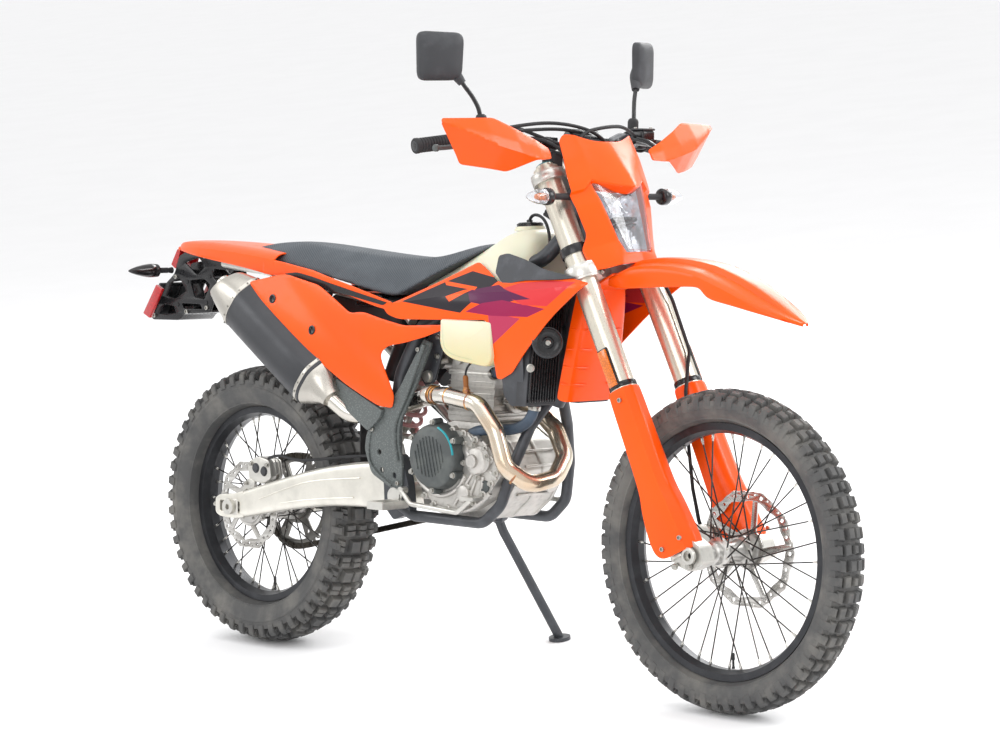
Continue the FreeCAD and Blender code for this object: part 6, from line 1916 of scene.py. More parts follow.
def topEnd():
    parts = []
    bolts = []
    # thin cooling lines round the barrel
    for z in (600, 613, 640, 653, 680):
        parts.append(plate("barrelLine", [(-58, -63.4), (93, -63.4), (93, 63.4), (-58, 63.4)], z, z + 2.6,
                           finishes["engine"], "xy", 10.0, 0.8))
    # head, its joint and studs
    parts.append(plate("headJoint", [(-52, -69), (101, -69), (101, 69), (-52, 69)], 697, 703,
                       finishes["cast"], "xy", 12.0, 1.2))
    for side in (-1, 1):
        for x in (-30, 26, 82):
            parts.append(onSide("headBoss", [(0, 8), (9, 8), (11, 6), (12, -4), (0, -4)], x, side * 62,
                                776, side, "engine", 24))
            bolts.append(((x, side * 70, 776), (0, side, 0), 1.1))
        parts.append(onSide("headPlug", [(0, 9), (13, 9), (15, 7), (15, -3), (0, -3)], 26, side * 62, 736,
                            side, "cast", 28))
        bolts.append(((26, side * 71, 736), (0, side, 0), 1.4))
    parts.append(plate("headCover", [(-20, -66), (88, -66), (88, 66), (-20, 66)], 838, 852,
                       finishes["cover"], "xy", 18.0, 4.0))
    for x in (-6, 74):
        for y in (-52, 52):
            parts.append(lathe("coverStud", [(0, 8), (6, 8), (8, 6), (8, 0), (0, 0)], (x, y, 850),
                               (0, 0, 1), finishes["bolt"], 18, False))
    # exhaust flange with two springs' worth of studs
    parts.append(lathe("exhaustFlange", [(20.5, 0), (30, 0), (31, 2), (31, 8), (29, 10), (20.5, 10)],
                       (97, 0.5, 640.5), (1, 0, -0.1), finishes["engine"], 36))
    for y in (-34, 34):
        parts.append(lathe("exhaustStud", [(0, 0), (4, 0), (4, 18), (3, 19), (0, 19)], (94, y, 640),
                           (1, 0, 0), finishes["bolt"], 12, False))
        parts.append(block("exhaustTab", (99, y * 0.82, 640), (7, 18, 16), finishes["engine"], 2.0))
    # cam chain tensioner and water elbow on the sides
    parts.append(onSide("tensioner", [(0, 16), (8, 16), (9, 14), (9, 5), (16, 4), (16, 0), (0, 0)], -38,
                        62, 660, 1, "cast", 24))
    parts.append(tubeAlong("waterElbow", [(60, 58, 770), (78, 84, 782), (112, 92, 800), (168, 92, 824),
                                          (224, 92, 846), (250, 92, 858)], 12.5, finishes["hose"], 18))
    parts.append(tubeAlong("waterElbowRight", [(84, -56, 770), (110, -80, 790), (160, -92, 822),
                                            (222, -92, 848), (252, -92, 860)], 12.5, finishes["hose"], 18))
    # plug lead and coil
    parts.append(tubeAlong("plugLead", [(30, -30, 850), (34, -44, 872), (6, -62, 880), (-40, -70, 866)],
                           4.0, finishes["grip"], 10))
    parts.append(lathe("plugCap", [(0, 26), (8, 26), (10, 22), (10, 0), (0, 0)], (30, -26, 850),
                       (0, 0, 1), finishes["grip"], 20, False))
    parts.append(onSpots("headBolts", hexBolt, bolts, finishes["bolt"]))
    settle(merged("topEnd", parts), "chassis", (), 34.0)


topEnd()


def headBracket():
    parts = []
    outline = [(-150, 742, 10), (-60, 800, 12), (-34, 778, 10), (-58, 720, 12), (-74, 676, 12),
               (-104, 664, 10), (-122, 690, 12)]
    for side in (-1, 1):
        low, high = (-90, -84) if side < 0 else (84, 90)
        plateHere = plate("headBracket", outline, low, high, finishes["frame"], "xz", 10.0, 1.4)
        parts.append(plateHere)
        face = side * 90
        parts.append(onSide("bracketNut", [(0, 10), (11, 10), (12.5, 8), (14, 6), (15, 2), (15, 0),
                                           (0, 0)], -93, face, 688, side, "cast", 32))
        for x, z, size in ((-60, 780, 1.1), (-96, 752, 1.1), (-128, 728, 1.1), (-64, 736, 1.1)):
            parts.append(onSpots("bracketBolt", hexBolt, [((x, face, z), (0, side, 0), size)],
                                 finishes["bolt"]))
        parts.append(tubeAlong("bracketStay", [(-58, side * 64, 726), (-66, side * 78, 724),
                                            (-72, side * 86, 722)], 7.0, finishes["engine"], 12))
    settle(merged("headBrackets", parts), "chassis", (), 34.0)


headBracket()


# exhaust

exhaust = {
    # places and directions of the welds, and where the slip joint and the sensor sit
    "joint": (-42, -130.5, 650.5), "jointWay": (-1, 0.25, 0), "springReach": 25, "springDegrees": (60, 240),
    "sensor": (84, -142, 662), "sensorWay": (0.05, -0.15, 1),
    "lead": [(86, -148, 700), (88, -149, 716), (96, -138, 732), (104, -116, 744), (100, -92, 770)],
    "welds": [((216, -118, 481), (-0.62, -0.5, 0.6)), ((96, -142, 643), (-1, 0, 0.12)),
              ((28, -142, 651), (-1, 0.02, 0.1)), ((-16, -137, 651), (-1, 0.2, 0)),
              ((-28, -134, 651), (-1, 0.22, 0))],
}


def exhaustDetails():
    parts = []
    for place, way in exhaust["welds"]:
        parts.append(lathe("pipeWeldRing", [(19.6, -2.6), (20.7, -1.6), (21.2, 0), (20.7, 1.6),
                                            (19.6, 2.6)], place, way, finishes["weld"], 40, False))
    # slip joint sleeve
    parts.append(lathe("slipJoint", [(20.2, -11), (23.2, -11), (23.6, -9), (23.6, 9), (23.2, 11),
                                     (20.2, 11)], exhaust["joint"], exhaust["jointWay"], finishes["pipe"],
                       44))
    for degrees in exhaust["springDegrees"]:
        a = math.radians(degrees)
        y = exhaust["joint"][1] + exhaust["springReach"] * math.cos(a)
        z = 650 + exhaust["springReach"] * math.sin(a)
        parts.append(tubeAlong("jointSpring", [(-58, y + 4, z), (-42, y, z), (-24, y - 4, z)], 2.6,
                               finishes["bolt"], 8))
    # lambda sensor with its lead
    parts.append(lathe("sensorNut", [(0, 0), (9, 0), (9, 7), (7, 9), (7, 14), (0, 14)],
                       exhaust["sensor"], exhaust["sensorWay"], finishes["weld"], 16, False))
    parts.append(lathe("sensorBody", [(0, 14), (6, 14), (6.4, 34), (4.6, 40), (0, 40)],
                       exhaust["sensor"], exhaust["sensorWay"], finishes["brown"], 18, False))
    parts.append(tubeAlong("sensorLead", exhaust["lead"], 2.6, finishes["grip"], 8))
    return settle(merged("exhaustDetails", parts), "chassis", (), 36.0)


exhaustDetails()

silencer = {
    "front": (-388.0, -158.0, 652.0), "rear": (-700.0, -158.0, 862.0),
    # across and up shares of each corner
    "section": [(-1, -0.45), (-0.6, -1), (0.6, -1), (1, -0.5), (1, 0.55), (0.8, 1), (0.1, 1), (-0.85, 0.4)],
}


def silencerRing(share, wide, high, slant=0.0, bend=18.0, count=56):
    front, rear = Vector(silencer["front"]), Vector(silencer["rear"])
    way = (rear - front).normalized()
    side = Vector((0, 1, 0))
    up = way.cross(side)
    if up.z < 0:
        up = -up
    flat = softened([(a * wide, b * high, bend) for a, b in silencer["section"]], bend, 6)
    flat = [Vector(p) for p in flat]
    lengths = [0.0]
    for i in range(len(flat)):
        lengths.append(lengths[-1] + (flat[(i + 1) % len(flat)] - flat[i]).length)
    ring = []
    for k in range(count):
        t = lengths[-1] * k / count
        i = max(j for j in range(len(flat)) if lengths[j] <= t + 1e-9)
        step = lengths[i + 1] - lengths[i]
        p = flat[i].lerp(flat[(i + 1) % len(flat)], (t - lengths[i]) / step if step > 0 else 0.0)
        centre = front + (rear - front) * share
        ring.append(tuple(centre + side * p[0] + up * p[1] + way * (slant * p[1] / high)))
    return ring


def silencerShell():
    way = (Vector(silencer["rear"]) - Vector(silencer["front"])).normalized()

    def shell(name, stations, finish, ends=True):
        verts, faces = lattice([silencerRing(*s) for s in stations], True, ends)
        obj = newObject(name, verts, faces, [finishes[finish]])
        outwards(obj.data)
        return obj

    nose = shell("silencerNose", [(-0.12, 21, 21, 0, 20), (-0.08, 23, 26, 0, 20), (0.0, 33, 50, 0, 20),
                                  (0.05, 38.5, 63, 0, 18), (0.07, 38.5, 63, 0, 18)], "endCap")
    sleeve = shell("silencerSleeve", [(0.062, 39.2, 64.5), (0.066, 40, 66), (0.30, 40.6, 66.6),
                                      (0.60, 40.6, 66.6), (0.905, 40, 66), (0.91, 39.2, 64.6)], "sleeve")
    bandA = shell("silencerBand", [(0.085, 40.2, 66.2), (0.088, 41.3, 67.4), (0.108, 41.3, 67.4),
                                   (0.111, 40.2, 66.2)], "endCap")
    bandB = shell("silencerBandRear", [(0.895, 40, 66), (0.898, 41.2, 67.3), (0.925, 41.2, 67.3),
                                       (0.928, 40, 66)], "endCap")
    cap = shell("silencerCap", [(0.92, 39.6, 65.5, 0), (0.97, 38.4, 61, -4), (1.04, 36, 53, -9),
                                (1.095, 33.5, 46, -13), (1.11, 31.5, 43, -14), (1.114, 28, 38, -14)],
                "endCap")
    rear = Vector(silencer["rear"])
    outlet = lathe("silencerOutlet", [(16.5, -6), (19.5, -6), (20.5, 16), (20.5, 24), (18.2, 24),
                                      (16.5, 14)], tuple(rear + way * 26 + Vector((0, 0, -2))),
                   tuple(way), finishes["pipe"], 36)
    # a black disc a little way into the outlet makes the bore dark: painted shade
    dark = lathe("silencerBore", [(0, 2), (16.4, 2), (16.4, 0), (0, 0)],
                 tuple(rear + way * 24 + Vector((0, 0, -2))), tuple(way), finishes["gloss"], 32, False)
    rivets = []
    for share in (0.098, 0.911):
        ring = silencerRing(share, 41.4, 67.6, 0, 18, 28)
        centre = Vector(silencer["front"]) + (Vector(silencer["rear"]) - Vector(silencer["front"])) * share
        for p in ring[::2]:
            rivets.append((p, tuple((Vector(p) - centre).normalized()), 0.42))
    heads = onSpots("silencerRivets", hexBolt, rivets, finishes["bolt"])
    # mounting strap to the subframe
    strap = block("silencerStrap", (-560, -118, 838), (40, 8, 40), finishes["frame"], 2.0)
    return settle(merged("silencerBody", [nose, sleeve, bandA, bandB, cap, outlet, dark, heads, strap]),
                  "chassis", ["silencer"], 30.0)


silencerShell()
print("engine and exhaust made")


# fork and controls

forkGuard = {
    # height on the leg, reach ahead of the leg, half width, inner edge, outer edge
    "rows": [(369, 32.5, 33.5, 8, 6), (362, 34.0, 34.5, 6, 4), (300, 34.5, 35.0, 4, 2),
             (200, 35.5, 36.0, 2, -1), (132, 37.0, 37.0, 1, -4), (112, 43.0, 38.0, 0, -12),
             (60, 50.0, 38.5, -2, -20), (20, 54.0, 38.5, -2, -22), (-2, 55.0, 38.0, 2, -16),
             (-14, 52.0, 37.0, 12, 0)],
}


def forkGuards():
    right = []
    rows = []
    lead, legY = stance["legLead"], stance["legY"]
    for s, front, half, inner, outer in forkGuard["rows"]:
        section = [(inner, half), (lead + 4, half * 0.99), (lead + front * 0.66, half * 0.84),
                   (lead + front * 0.97, half * 0.38), (lead + front, -half * 0.30),
                   (lead + front * 0.72, -half * 0.86), (lead + 6, -half), (outer, -half * 1.02)]
        rows.append([forkPoint(f, -legY + o, s) for f, o in section])
    right.append(shellFrom("forkGuardShell", rows, finishes["orange"], 2.6, 2, (3, 4, 5), (1, 0, 0), 0.6))
    spots = []
    for f, s in ((62, 12), (6, 8), (30, 344)):
        spots.append((forkPoint(f, -legY - 38.6 if s < 100 else -legY - 34.0, s), (0, -1, 0), 1.15))
    right.append(onSpots("forkGuardBolts", socketBolt, spots, finishes["bolt"]))
    whole = merged("forkGuardRight", right)
    return settle(merged("forkGuards", [whole, flipped(whole)]), "steering",
                  ["fork_guards"], 34.0)


forkGuards()


def onFork(name, size, f, y, s, finish, bevel):
    piece = block(name, (0, 0, 0), size, finishes[finish], 0)
    turn = Matrix.Rotation(-rake, 4, "Y")
    turn.translation = forkPoint(f, y, s)
    piece.data.transform(turn)
    addModifier(piece, "BEVEL", width=bevel, segments=2, limit_method="ANGLE", angle_limit=math.radians(30))
    return piece


def forkDetails():
    right = [onFork("reflectorBack", (29, 5, 92), 26, -134.5, 420, "gloss", 2.0),
             onFork("forkReflector", (24, 5, 84), 26, -138.5, 420, "amber", 1.6)]
    lead, legY = stance["legLead"], stance["legY"]
    way = Vector(forkPoint(0, 0, 1)) - Vector(forkPoint(0, 0, 0))

    def collar(s, profile, finish, f=lead, y=-legY):
        right.append(lathe("forkCollar", profile, forkPoint(f, y, s), way, finishes[finish], 44,
                           profile[0][0] > 0))

    collar(372, [(28.2, 0), (30.6, 0), (31.2, 2), (31.2, 10), (30.2, 12), (28.2, 12)], "gloss")
    for s, high in ((629, 34), (868, 24)):
        collar(s + high * 0.5, [(38.1, -high * 0.36), (38.9, -high * 0.30), (38.9, high * 0.30),
                                (38.1, high * 0.36)], "cast")
    collar(911, [(0, 6), (9, 6), (10, 4), (16, 3.4), (19, 1.5), (19.5, -4), (0, -4)], "teal")
    bolts = []
    for s in (637, 655, 880):
        bolts.append((forkPoint(lead - 30, -legY + 40, s), (-1, 0, -0.5), 1.1))
        bolts.append((forkPoint(lead + 36, -legY + 22, s), (1, 0, 0.5), 1.1))
    # pinch bolts and the end of the axle
    for f, s in ((8, -34), (44, -48)):
        bolts.append((forkPoint(f, -legY - 20, s), (0, -1, 0), 1.3))
    right.append(onSpots("forkBolts", hexBolt, bolts, finishes["bolt"]))
    x, z = stance["frontAxle"]
    right.append(lathe("axleEnd", [(10.2, 0), (17, 0), (18.4, 1.6), (18.4, 7), (16, 9), (11, 9),
                                   (10.2, 7)], (x, -127, z), (0, -1, 0), finishes["cast"], 40))
    whole = merged("forkDetailRight", right)
    return settle(merged("forkDetails", [whole, flipped(whole)]), "steering", (), 34.0)


forkDetails()


frontIndicator = {"ahead": 72, "up": 811, "out": 104}


def frontIndicators():
    x, _, z = forkPoint(frontIndicator["ahead"], 0, frontIndicator["up"])
    at = (x, -frontIndicator["out"], z)
    side = (0, -1, 0)
    parts = [lathe("indicatorStem", [(0, -8), (10, -8), (11, 0), (8.4, 8), (7.2, 30), (7.2, 66),
                                     (9.0, 74), (0, 76)], at, side, finishes["grip"], 24, False),
             lathe("indicatorBase", [(0, 72), (14, 73), (18.4, 77), (19, 80), (19, 92), (17.4, 94.6),
                                     (0, 95)], at, side, finishes["gloss"], 40, False),
             lathe("indicatorLens", [(17.0, 94), (17.4, 98), (16.4, 112), (13.4, 126), (8.6, 139),
                                     (3.4, 147), (0, 148.6)], at, side, finishes["glass"], 36, False),
             lathe("indicatorBulb", [(0, 95), (8.4, 95), (8.8, 108), (6.0, 119), (0, 122)], at, side,
                   finishes["amber"], 20, False), lathe("indicatorSeat",
                                            [(0, 95.2), (16.6, 95.2), (16.6, 96.4), (0, 96.6)], at, side,
                                            finishes["reflector"], 30, False)]
    addModifier(parts[2], "SOLIDIFY", thickness=1.2, offset=-1.0)
    right = merged("indicatorRight", parts)
    return settle(merged("frontIndicators", [right, flipped(right)]), "steering",
                  ["front_indicators"], 40.0)


frontIndicators()

bar = {"inner": (243.0, 190.0, 1240.0), "outer": (184.0, 405.0, 1212.0)}


def onBar(y):
    inner, outer = Vector(bar["inner"]), Vector(bar["outer"])
    point = inner + (outer - inner) * ((abs(y) - inner.y) / (outer.y - inner.y))
    return Vector((point.x, math.copysign(point.y, y), point.z))


mirror = {
    "centre": (180.0, 326.0, 1408.0), "turnDegrees": 24, "corner": 14.0,
    "outline": [(-50, -40), (-54, 40), (-44, 52), (44, 54), (54, 44), (52, -44), (42, -54), (-36, -52)],
    # how far ahead and how large each ring of the shell is
    "shell": [(-4.5, 0.93), (-6.0, 0.955), (-6.0, 0.985), (-4.0, 1.0), (5.0, 1.0), (9.0, 0.975),
              (13.0, 0.90), (16.5, 0.76), (18.6, 0.55), (19.6, 0.3), (19.9, 0.04)],
    "stem": [(230, 247, 1284), (217, 261, 1322), (203, 282, 1352), (195, 292, 1376)], "stemRadius": 5.0,
    "neck": [(172, 312, 1412, 0.25), (179, 305, 1399, 0.8), (187, 298, 1383, 1.4), (197, 288, 1364, 1.2),
             (204, 280, 1350, 0.9)],
    "neckRadius": 10.0, "clampAt": 246, "boot": (228, 246, 1246),
}


def mirrorPair():
    view = mirror["outline"]
    rings = []
    flat = softened([(a, b, mirror["corner"]) for a, b in view], mirror["corner"], 6)
    for ahead, grow in mirror["shell"]:
        rings.append([(ahead, p[0] * grow, p[1] * grow) for p in flat])
    verts, faces = lattice(rings, True)
    faces.append(tuple(range(len(verts) - len(flat), len(verts))))
    shell = newObject("mirrorShell", verts, faces, [finishes["dark"]])
    outwards(shell.data)
    addModifier(shell, "SOLIDIFY", thickness=1.2, offset=-1.0)
    baked(shell)
    glass = plate("mirrorFace", [(a * 0.94, b * 0.94, 13) for a, b in view], -5.0, -2.0,
                  finishes["mirror"], "yz", 13.0, 0.4)
    baked(glass)
    turn = Matrix.Translation(mirror["centre"]) @ Matrix.Rotation(math.radians(mirror["turnDegrees"]), 4,
                                            "Z")
    for piece in (shell, glass):
        piece.data.transform(turn)
    base = onBar(mirror["clampAt"])
    way = Vector(bar["outer"]) - Vector(bar["inner"])
    stem = tubeAlong("mirrorStem", [tuple(base + Vector((1, 0, 8)))] + mirror["stem"],
                     mirror["stemRadius"], finishes["gloss"], 14)
    socket = tubeAlong("mirrorNeck", mirror["neck"], mirror["neckRadius"], finishes["dark"], 18)
    boot = lathe("mirrorBoot", [(0, 0), (11.5, 0), (12.5, 3), (12.5, 30), (10.5, 35), (6.4, 38), (0, 38)],
                 mirror["boot"], (0.02, 0, 1), finishes["grip"], 28, False)
    ring = lathe("mirrorClamp", [(11.2, -9), (16, -9), (17, -7.5), (17, 7.5), (16, 9), (11.2, 9)],
                 tuple(base), way, finishes["dark"], 36)
    left = merged("mirrorLeft", [shell, glass, stem, socket, boot, ring])
    return settle(merged("mirrors", [left, flipped(left)]), "steering", ["mirrors"], 40.0)


mirrorPair()


grip = {"start": 285, "ridges": 15, "firstRidge": 10, "pitch": 6.9}


def gripPair():
    way = Vector(bar["outer"]) - Vector(bar["inner"])
    start = onBar(grip["start"])
    profile = [(11.1, -3), (21, -3), (22, -1.5), (22, 2.5), (20.5, 4), (17, 6)]
    for i in range(grip["ridges"]):
        d = grip["firstRidge"] + i * grip["pitch"]
        profile += [(16.4, d), (16.4, d + 3.9), (15.1, d + 4.5), (15.1, d + 6.3)]
    profile += [(16.5, 114), (17.2, 117), (17.2, 123), (15.5, 125.4), (11.1, 125.4)]
    rubber = lathe("gripRubberPart", profile, tuple(start), way, finishes["grip"], 40)
    plug = lathe("gripPlug", [(0, 123), (11, 123), (11, 125), (8, 125.6), (0, 125.6)], tuple(start), way,
                 finishes["gloss"], 24, False)
    left = merged("gripLeft", [rubber, plug])
    return settle(merged("grips", [left, flipped(left)]), "steering", ["grips"], 34.0)


gripPair()


def barControls():
    way = Vector(bar["outer"]) - Vector(bar["inner"])
    x, y, z = onBar(230)
    clamps = [lathe("leverClamp", [(11.2, -13), (17, -13), (18, -11), (18, 11), (17, 13), (11.2, 13)],
                    (x, y, z), way, finishes["gloss"], 36)]
    tank = block("fluidTank", (x + 33, 240, z + 6), (38, 42, 30), finishes["gloss"], 6.0, None, 3)
    lid = block("fluidLid", (x + 33, 240, z + 23), (38, 42, 5), finishes["dark"], 2.0)
    barrel = tubeAlong("masterBarrel", [(x + 34, 206, z - 2), (x + 34, 232, z - 4), (x + 36, 262, z - 6)],
                       10.0, finishes["gloss"], 18, 2)
    perch = block("leverPerch", (x + 40, 256, z - 6), (26, 24, 16), finishes["gloss"], 4.0)
    a, b = onBar(232), onBar(390)
    lever = tubeAlong("leverBlade", [(x + 40, 256, z - 6), (a.x + 62, 274, a.z - 5),
                                     ((a.x + b.x) / 2 + 66, 322, (a.z + b.z) / 2 - 6, 0.9),
                                     (b.x + 62, 376, b.z - 6, 0.85), (b.x + 55, 396, b.z - 6, 0.9)], 6.2,
                      finishes["cover"], 14, 3)
    ball = lathe("leverEnd", [(0, -8), (5, -7), (8, -3), (8, 3), (5, 7), (0, 8)],
                 (b.x + 55, 397, b.z - 6), (0, 1, 0), finishes["cover"], 20, False)
    screws = onSpots("lidScrews", socketBolt, [((x + 22, 226, z + 25), (0, 0, 1), 0.8),
                                            ((x + 44, 254, z + 25), (0, 0, 1), 0.8)], finishes["bolt"])
    common = merged("leverSetLeft", clamps + [tank, lid, barrel, perch, lever, ball, screws])
    other = flipped(common)
    s = onBar(272)
    pod = block("switchPod", tuple(s + Vector((-2, 0, 2))), (44, 20, 38), finishes["dark"], 6.0)
    keys = [block("switchKey", tuple(s + Vector((-25, k * 5, 8 - 9 * abs(k)))), (6, 6, 6), finishes[tone],
                  1.4) for k, tone in ((-1, "red"), (1, "amber"), (0, "grey"))]
    t = onBar(-272)
    throttle = lathe("throttleDrum", [(11.2, -10), (22, -10), (23.5, -8), (23.5, 8), (22, 10),
                                      (11.2, 10)], tuple(t), (way.x, -way.y, way.z), finishes["dark"], 40)
    guide = tubeAlong("throttleGuide", [tuple(t + Vector((6, 2, 20))), tuple(t + Vector((30, 22, 24))),
                                        tuple(t + Vector((52, 52, 22)))], 5.5, finishes["gloss"], 12)
    return settle(merged("handControls", [common, other, pod, throttle, guide] + keys), "steering",
                  ["hand_controls"], 36.0)


barControls()


cockpit = {
    # the route and radius of each cable over the bar
    "cables": [([(282, -218, 1254), (298, -150, 1266), (316, -70, 1266), (326, 20, 1248), (336, 72, 1200),
                 (352, 76, 1150)], 4.0), ([(280, -222, 1244), (292, -150, 1252), (310, -50, 1254),
                                           (318, 46, 1232), (330, 58, 1184), (356, 58, 1120)], 4.0),
               ([(262, 222, 1236), (300, 150, 1262), (322, 60, 1262), (326, -40, 1244), (342, -58, 1190),
                 (364, -52, 1120)], 4.2), ([(236, -206, 1226), (262, -160, 1236), (306, -110, 1228),
                                            (344, -80, 1186), (366, -66, 1120)], 3.4),
               ([(240, -200, 1216), (266, -140, 1216), (312, -92, 1206), (346, -64, 1166),
                 (368, -52, 1100)], 3.4), ([(236, 206, 1226), (262, 160, 1236), (306, 110, 1228),
                                            (344, 80, 1186), (366, 66, 1120)], 3.4)],
    "blocks": [((262, -84, 1222), (44, 52, 30), "gloss"), ((272, -66, 1180), (36, 34, 46), "dark"),
               ((262, 84, 1222), (44, 52, 30), "gloss"), ((274, 0, 1206), (40, 84, 26), "dark")],
    "dial": (306, 0, 1232), "dialSize": (30, 96, 46), "dialFace": (299, 0, 1243),
           "dialFaceSize": (2, 74, 32),
    "dialDegrees": -50,
}


def cables():
    parts = [tubeAlong("controlCable", points, r, finishes["grip"], 10) for points, r in cockpit["cables"]]
    for place, size, tone in cockpit["blocks"]:
        parts.append(block("clampBlock", place, size, finishes[tone], 5.0))
    tilt = Matrix.Rotation(math.radians(cockpit["dialDegrees"]), 3, "Y")
    dial = block("dashUnit", cockpit["dial"], cockpit["dialSize"], finishes["gloss"], 6.0, tilt)
    face = block("dashFace", cockpit["dialFace"], cockpit["dialFaceSize"], finishes["smoke"], 0.8, tilt)
    return settle(merged("cables", parts + [dial, face]), "steering", (), 40.0)


cables()
print("fork and controls made")


# tail gear, guards and radiators

tailBracket = {
    "side": [(-1032, 944, 6), (-984, 966, 6), (-914, 957, 6), (-860, 942, 6), (-812, 926, 6),
             (-806, 912, 6), (-857, 914, 10), (-905, 916, 10), (-900, 894, 6), (-878, 880, 6),
             (-898, 838, 12), (-912, 806, 6), (-1017, 799, 8), (-1034, 783, 6), (-1136, 781, 6),
             (-1147, 797, 6), (-1104, 844, 8), (-1088, 872, 8), (-1050, 900, 10)],
    "holes": [[(-1010, 928, 5), (-956, 942, 5), (-930, 920, 6), (-962, 898, 5)],
              [(-1060, 878, 5), (-1030, 888, 5), (-1004, 858, 6), (-1046, 836, 6), (-1080, 842, 5)],
             [(-990, 884, 5), (-936, 890, 6), (-912, 876, 5), (-934, 838, 6), (-972, 842, 6)],
              [(-1090, 822, 5), (-1052, 818, 5), (-1044, 800, 5), (-1110, 796, 5)],
              [(-1022, 826, 5), (-950, 826, 5), (-942, 814, 5), (-1014, 812, 5)]],
    "web": [(-1026, 926, 8), (-952, 936, 10), (-930, 880, 14), (-946, 830, 10), (-1030, 806, 10),
            (-1120, 792, 6), (-1082, 858, 10), (-1036, 890, 10)],
    "sideY": (-56, 51), "sideThick": 5, "webY": (-22, 19), "webThick": 3,
    "board": [(-1100, 876, 3), (-1094, 873, 3), (-1143, 786, 3), (-1149, 790, 3)], "boardHalf": 64,
    "roof": [(-1030, 944, 4), (-984, 964, 6), (-914, 955, 6), (-812, 924, 4), (-812, 918, 4),
             (-914, 948, 6), (-984, 957, 6), (-1028, 938, 4)], "roofHalf": 40,
    "sill": [(-1136, 787, 4), (-1036, 790, 6), (-1016, 805, 6), (-916, 812, 4), (-916, 806, 4),
             (-1014, 799, 6), (-1034, 783, 6), (-1136, 781, 4)], "sillHalf": 54,
    "bars": [(-1100, 832), (-1072, 872), (-1018, 906), (-1000, 880), (-912, 896), (-1036, 822),
             (-925, 830)], "barHalf": 58,
    "bolts": [(-1126, 792), (-1042, 892), (-930, 946), (-922, 818), (-1000, 806)], "boltY": 56.5,
}


def plateBracket():
    holes = tailBracket["holes"]
    parts = []
    for y in tailBracket["sideY"]:
        parts.append(cutPlate("bracketSide", tailBracket["side"], holes, y, y + tailBracket["sideThick"],
                              finishes["gloss"], 8.0, 1.2))
    for y in tailBracket["webY"]:
        parts.append(cutPlate("bracketWeb", tailBracket["web"], holes[1:3], y,
                              y + tailBracket["webThick"], finishes["gloss"], 8.0, 0.6))
    for name, key, finish, bevel in (("plateBoard", "board", "dark", 1.2),
                                     ("bracketRoof", "roof", "gloss", 1.0),
                                     ("bracketSill", "sill", "gloss", 1.0)):
        half = tailBracket[key + "Half"]
        parts.append(plate(name, tailBracket[key], -half, half, finishes[finish], "xz", 3.0, bevel))
    reach = tailBracket["barHalf"]
    for x, z in tailBracket["bars"]:
        parts.append(tubeAlong("bracketBar", [(x, -reach, z), (x, 0, z), (x, reach, z)], 5.0,
                               finishes["gloss"], 10, 2))
    for side in (-1, 1):
        parts.append(block("reflectorStay", (-1098, side * 68, 832), (12, 26, 20), finishes["gloss"], 2.0))
        low, high = (-88, -80) if side < 0 else (80, 88)
        parts.append(plate("tailReflector", [(-1084, 872, 3), (-1060, 861, 3), (-1110, 786, 3),
                                            (-1136, 798, 3)], low, high, finishes["red"], "xz", 3.0, 1.2))
    lamp = tubeAlong("plateLamp", [(-1098, -18, 884), (-1098, 0, 886), (-1098, 18, 884)], 7.0,
                     finishes["gloss"], 14, 2)
    spots = [((x, side * tailBracket["boltY"], z), (0, side, 0), 1.2) for side in (-1, 1) for x,
             z in tailBracket["bolts"]]
    parts += [lamp, onSpots("bracketBolts", socketBolt, spots, finishes["bolt"])]
    return settle(merged("plateBracket", parts), "chassis", ["plate_bracket"], 34.0)


plateBracket()


rearIndicator = {"place": (-1058, -58, 908), "folds": 6, "firstFold": 14, "foldPitch": 4.4}


def rearIndicators():
    at = rearIndicator["place"]
    side = (0, -1, 0)
    parts = [lathe("rearStem", [(0, 0), (8, 0), (7, 6), (5.6, 14), (5.6, 40), (7.6, 46), (0, 48)], at,
                   side, finishes["grip"], 22, False), lathe("rearBase",
                                            [(0, 44), (12, 45), (16.2, 49), (16.6, 58), (15.6, 60),
                                            (0, 60)], at, side, finishes["gloss"], 36, False),
             lathe("rearBullet", [(15.6, 59.5), (17.4, 62), (17.2, 74), (14.6, 94), (10.4, 114),
                                  (5.6, 130), (2.0, 138), (0, 139.5)], at, side, finishes["smoke"], 36,
                   False)]
    for i in range(rearIndicator["folds"]):
        d = rearIndicator["firstFold"] + i * rearIndicator["foldPitch"]
        parts.append(lathe("stemFold", [(5.4, d), (7.0, d + 1), (7.0, d + 2.4), (5.4, d + 3.4)], at, side,
                           finishes["grip"], 20))
    right = merged("rearIndicatorRight", parts)
    return settle(merged("rearIndicators", [right, flipped(right)]), "chassis",
                  ["rear_indicators"], 40.0)


rearIndicators()


pivotGuard = {
    "outline": [(-60, 768, 6), (-88, 776, 6), (-150, 664, 14), (-202, 606, 10), (-238, 584, 12),
                (-260, 546, 10), (-266, 512, 12), (-246, 456, 12), (-178, 423, 10), (-144, 428, 10),
                (-140, 492, 14), (-150, 534, 16), (-146, 580, 16), (-120, 628, 16), (-96, 672, 14)],
    "holes": [(-216, 508), (-209, 466), (-168, 456)], "holeRadius": 6.5, "out": 130.5, "curve": 0.0004,
              "middle": 560,
    "rib": [(-66, -131, 764), (-104, -132.5, 680), (-132, -132.5, 626), (-160, -132.5, 580),
            (-162, -132.5, 534), (-152, -132, 492)],
    "lowRib": [(-236, -131.5, 576), (-256, -131.5, 512), (-238, -131, 462), (-172, -131, 433)],
    "bolts": [(-236, 560), (-150, 440), (-84, 752)], "boltY": -131.5,
}


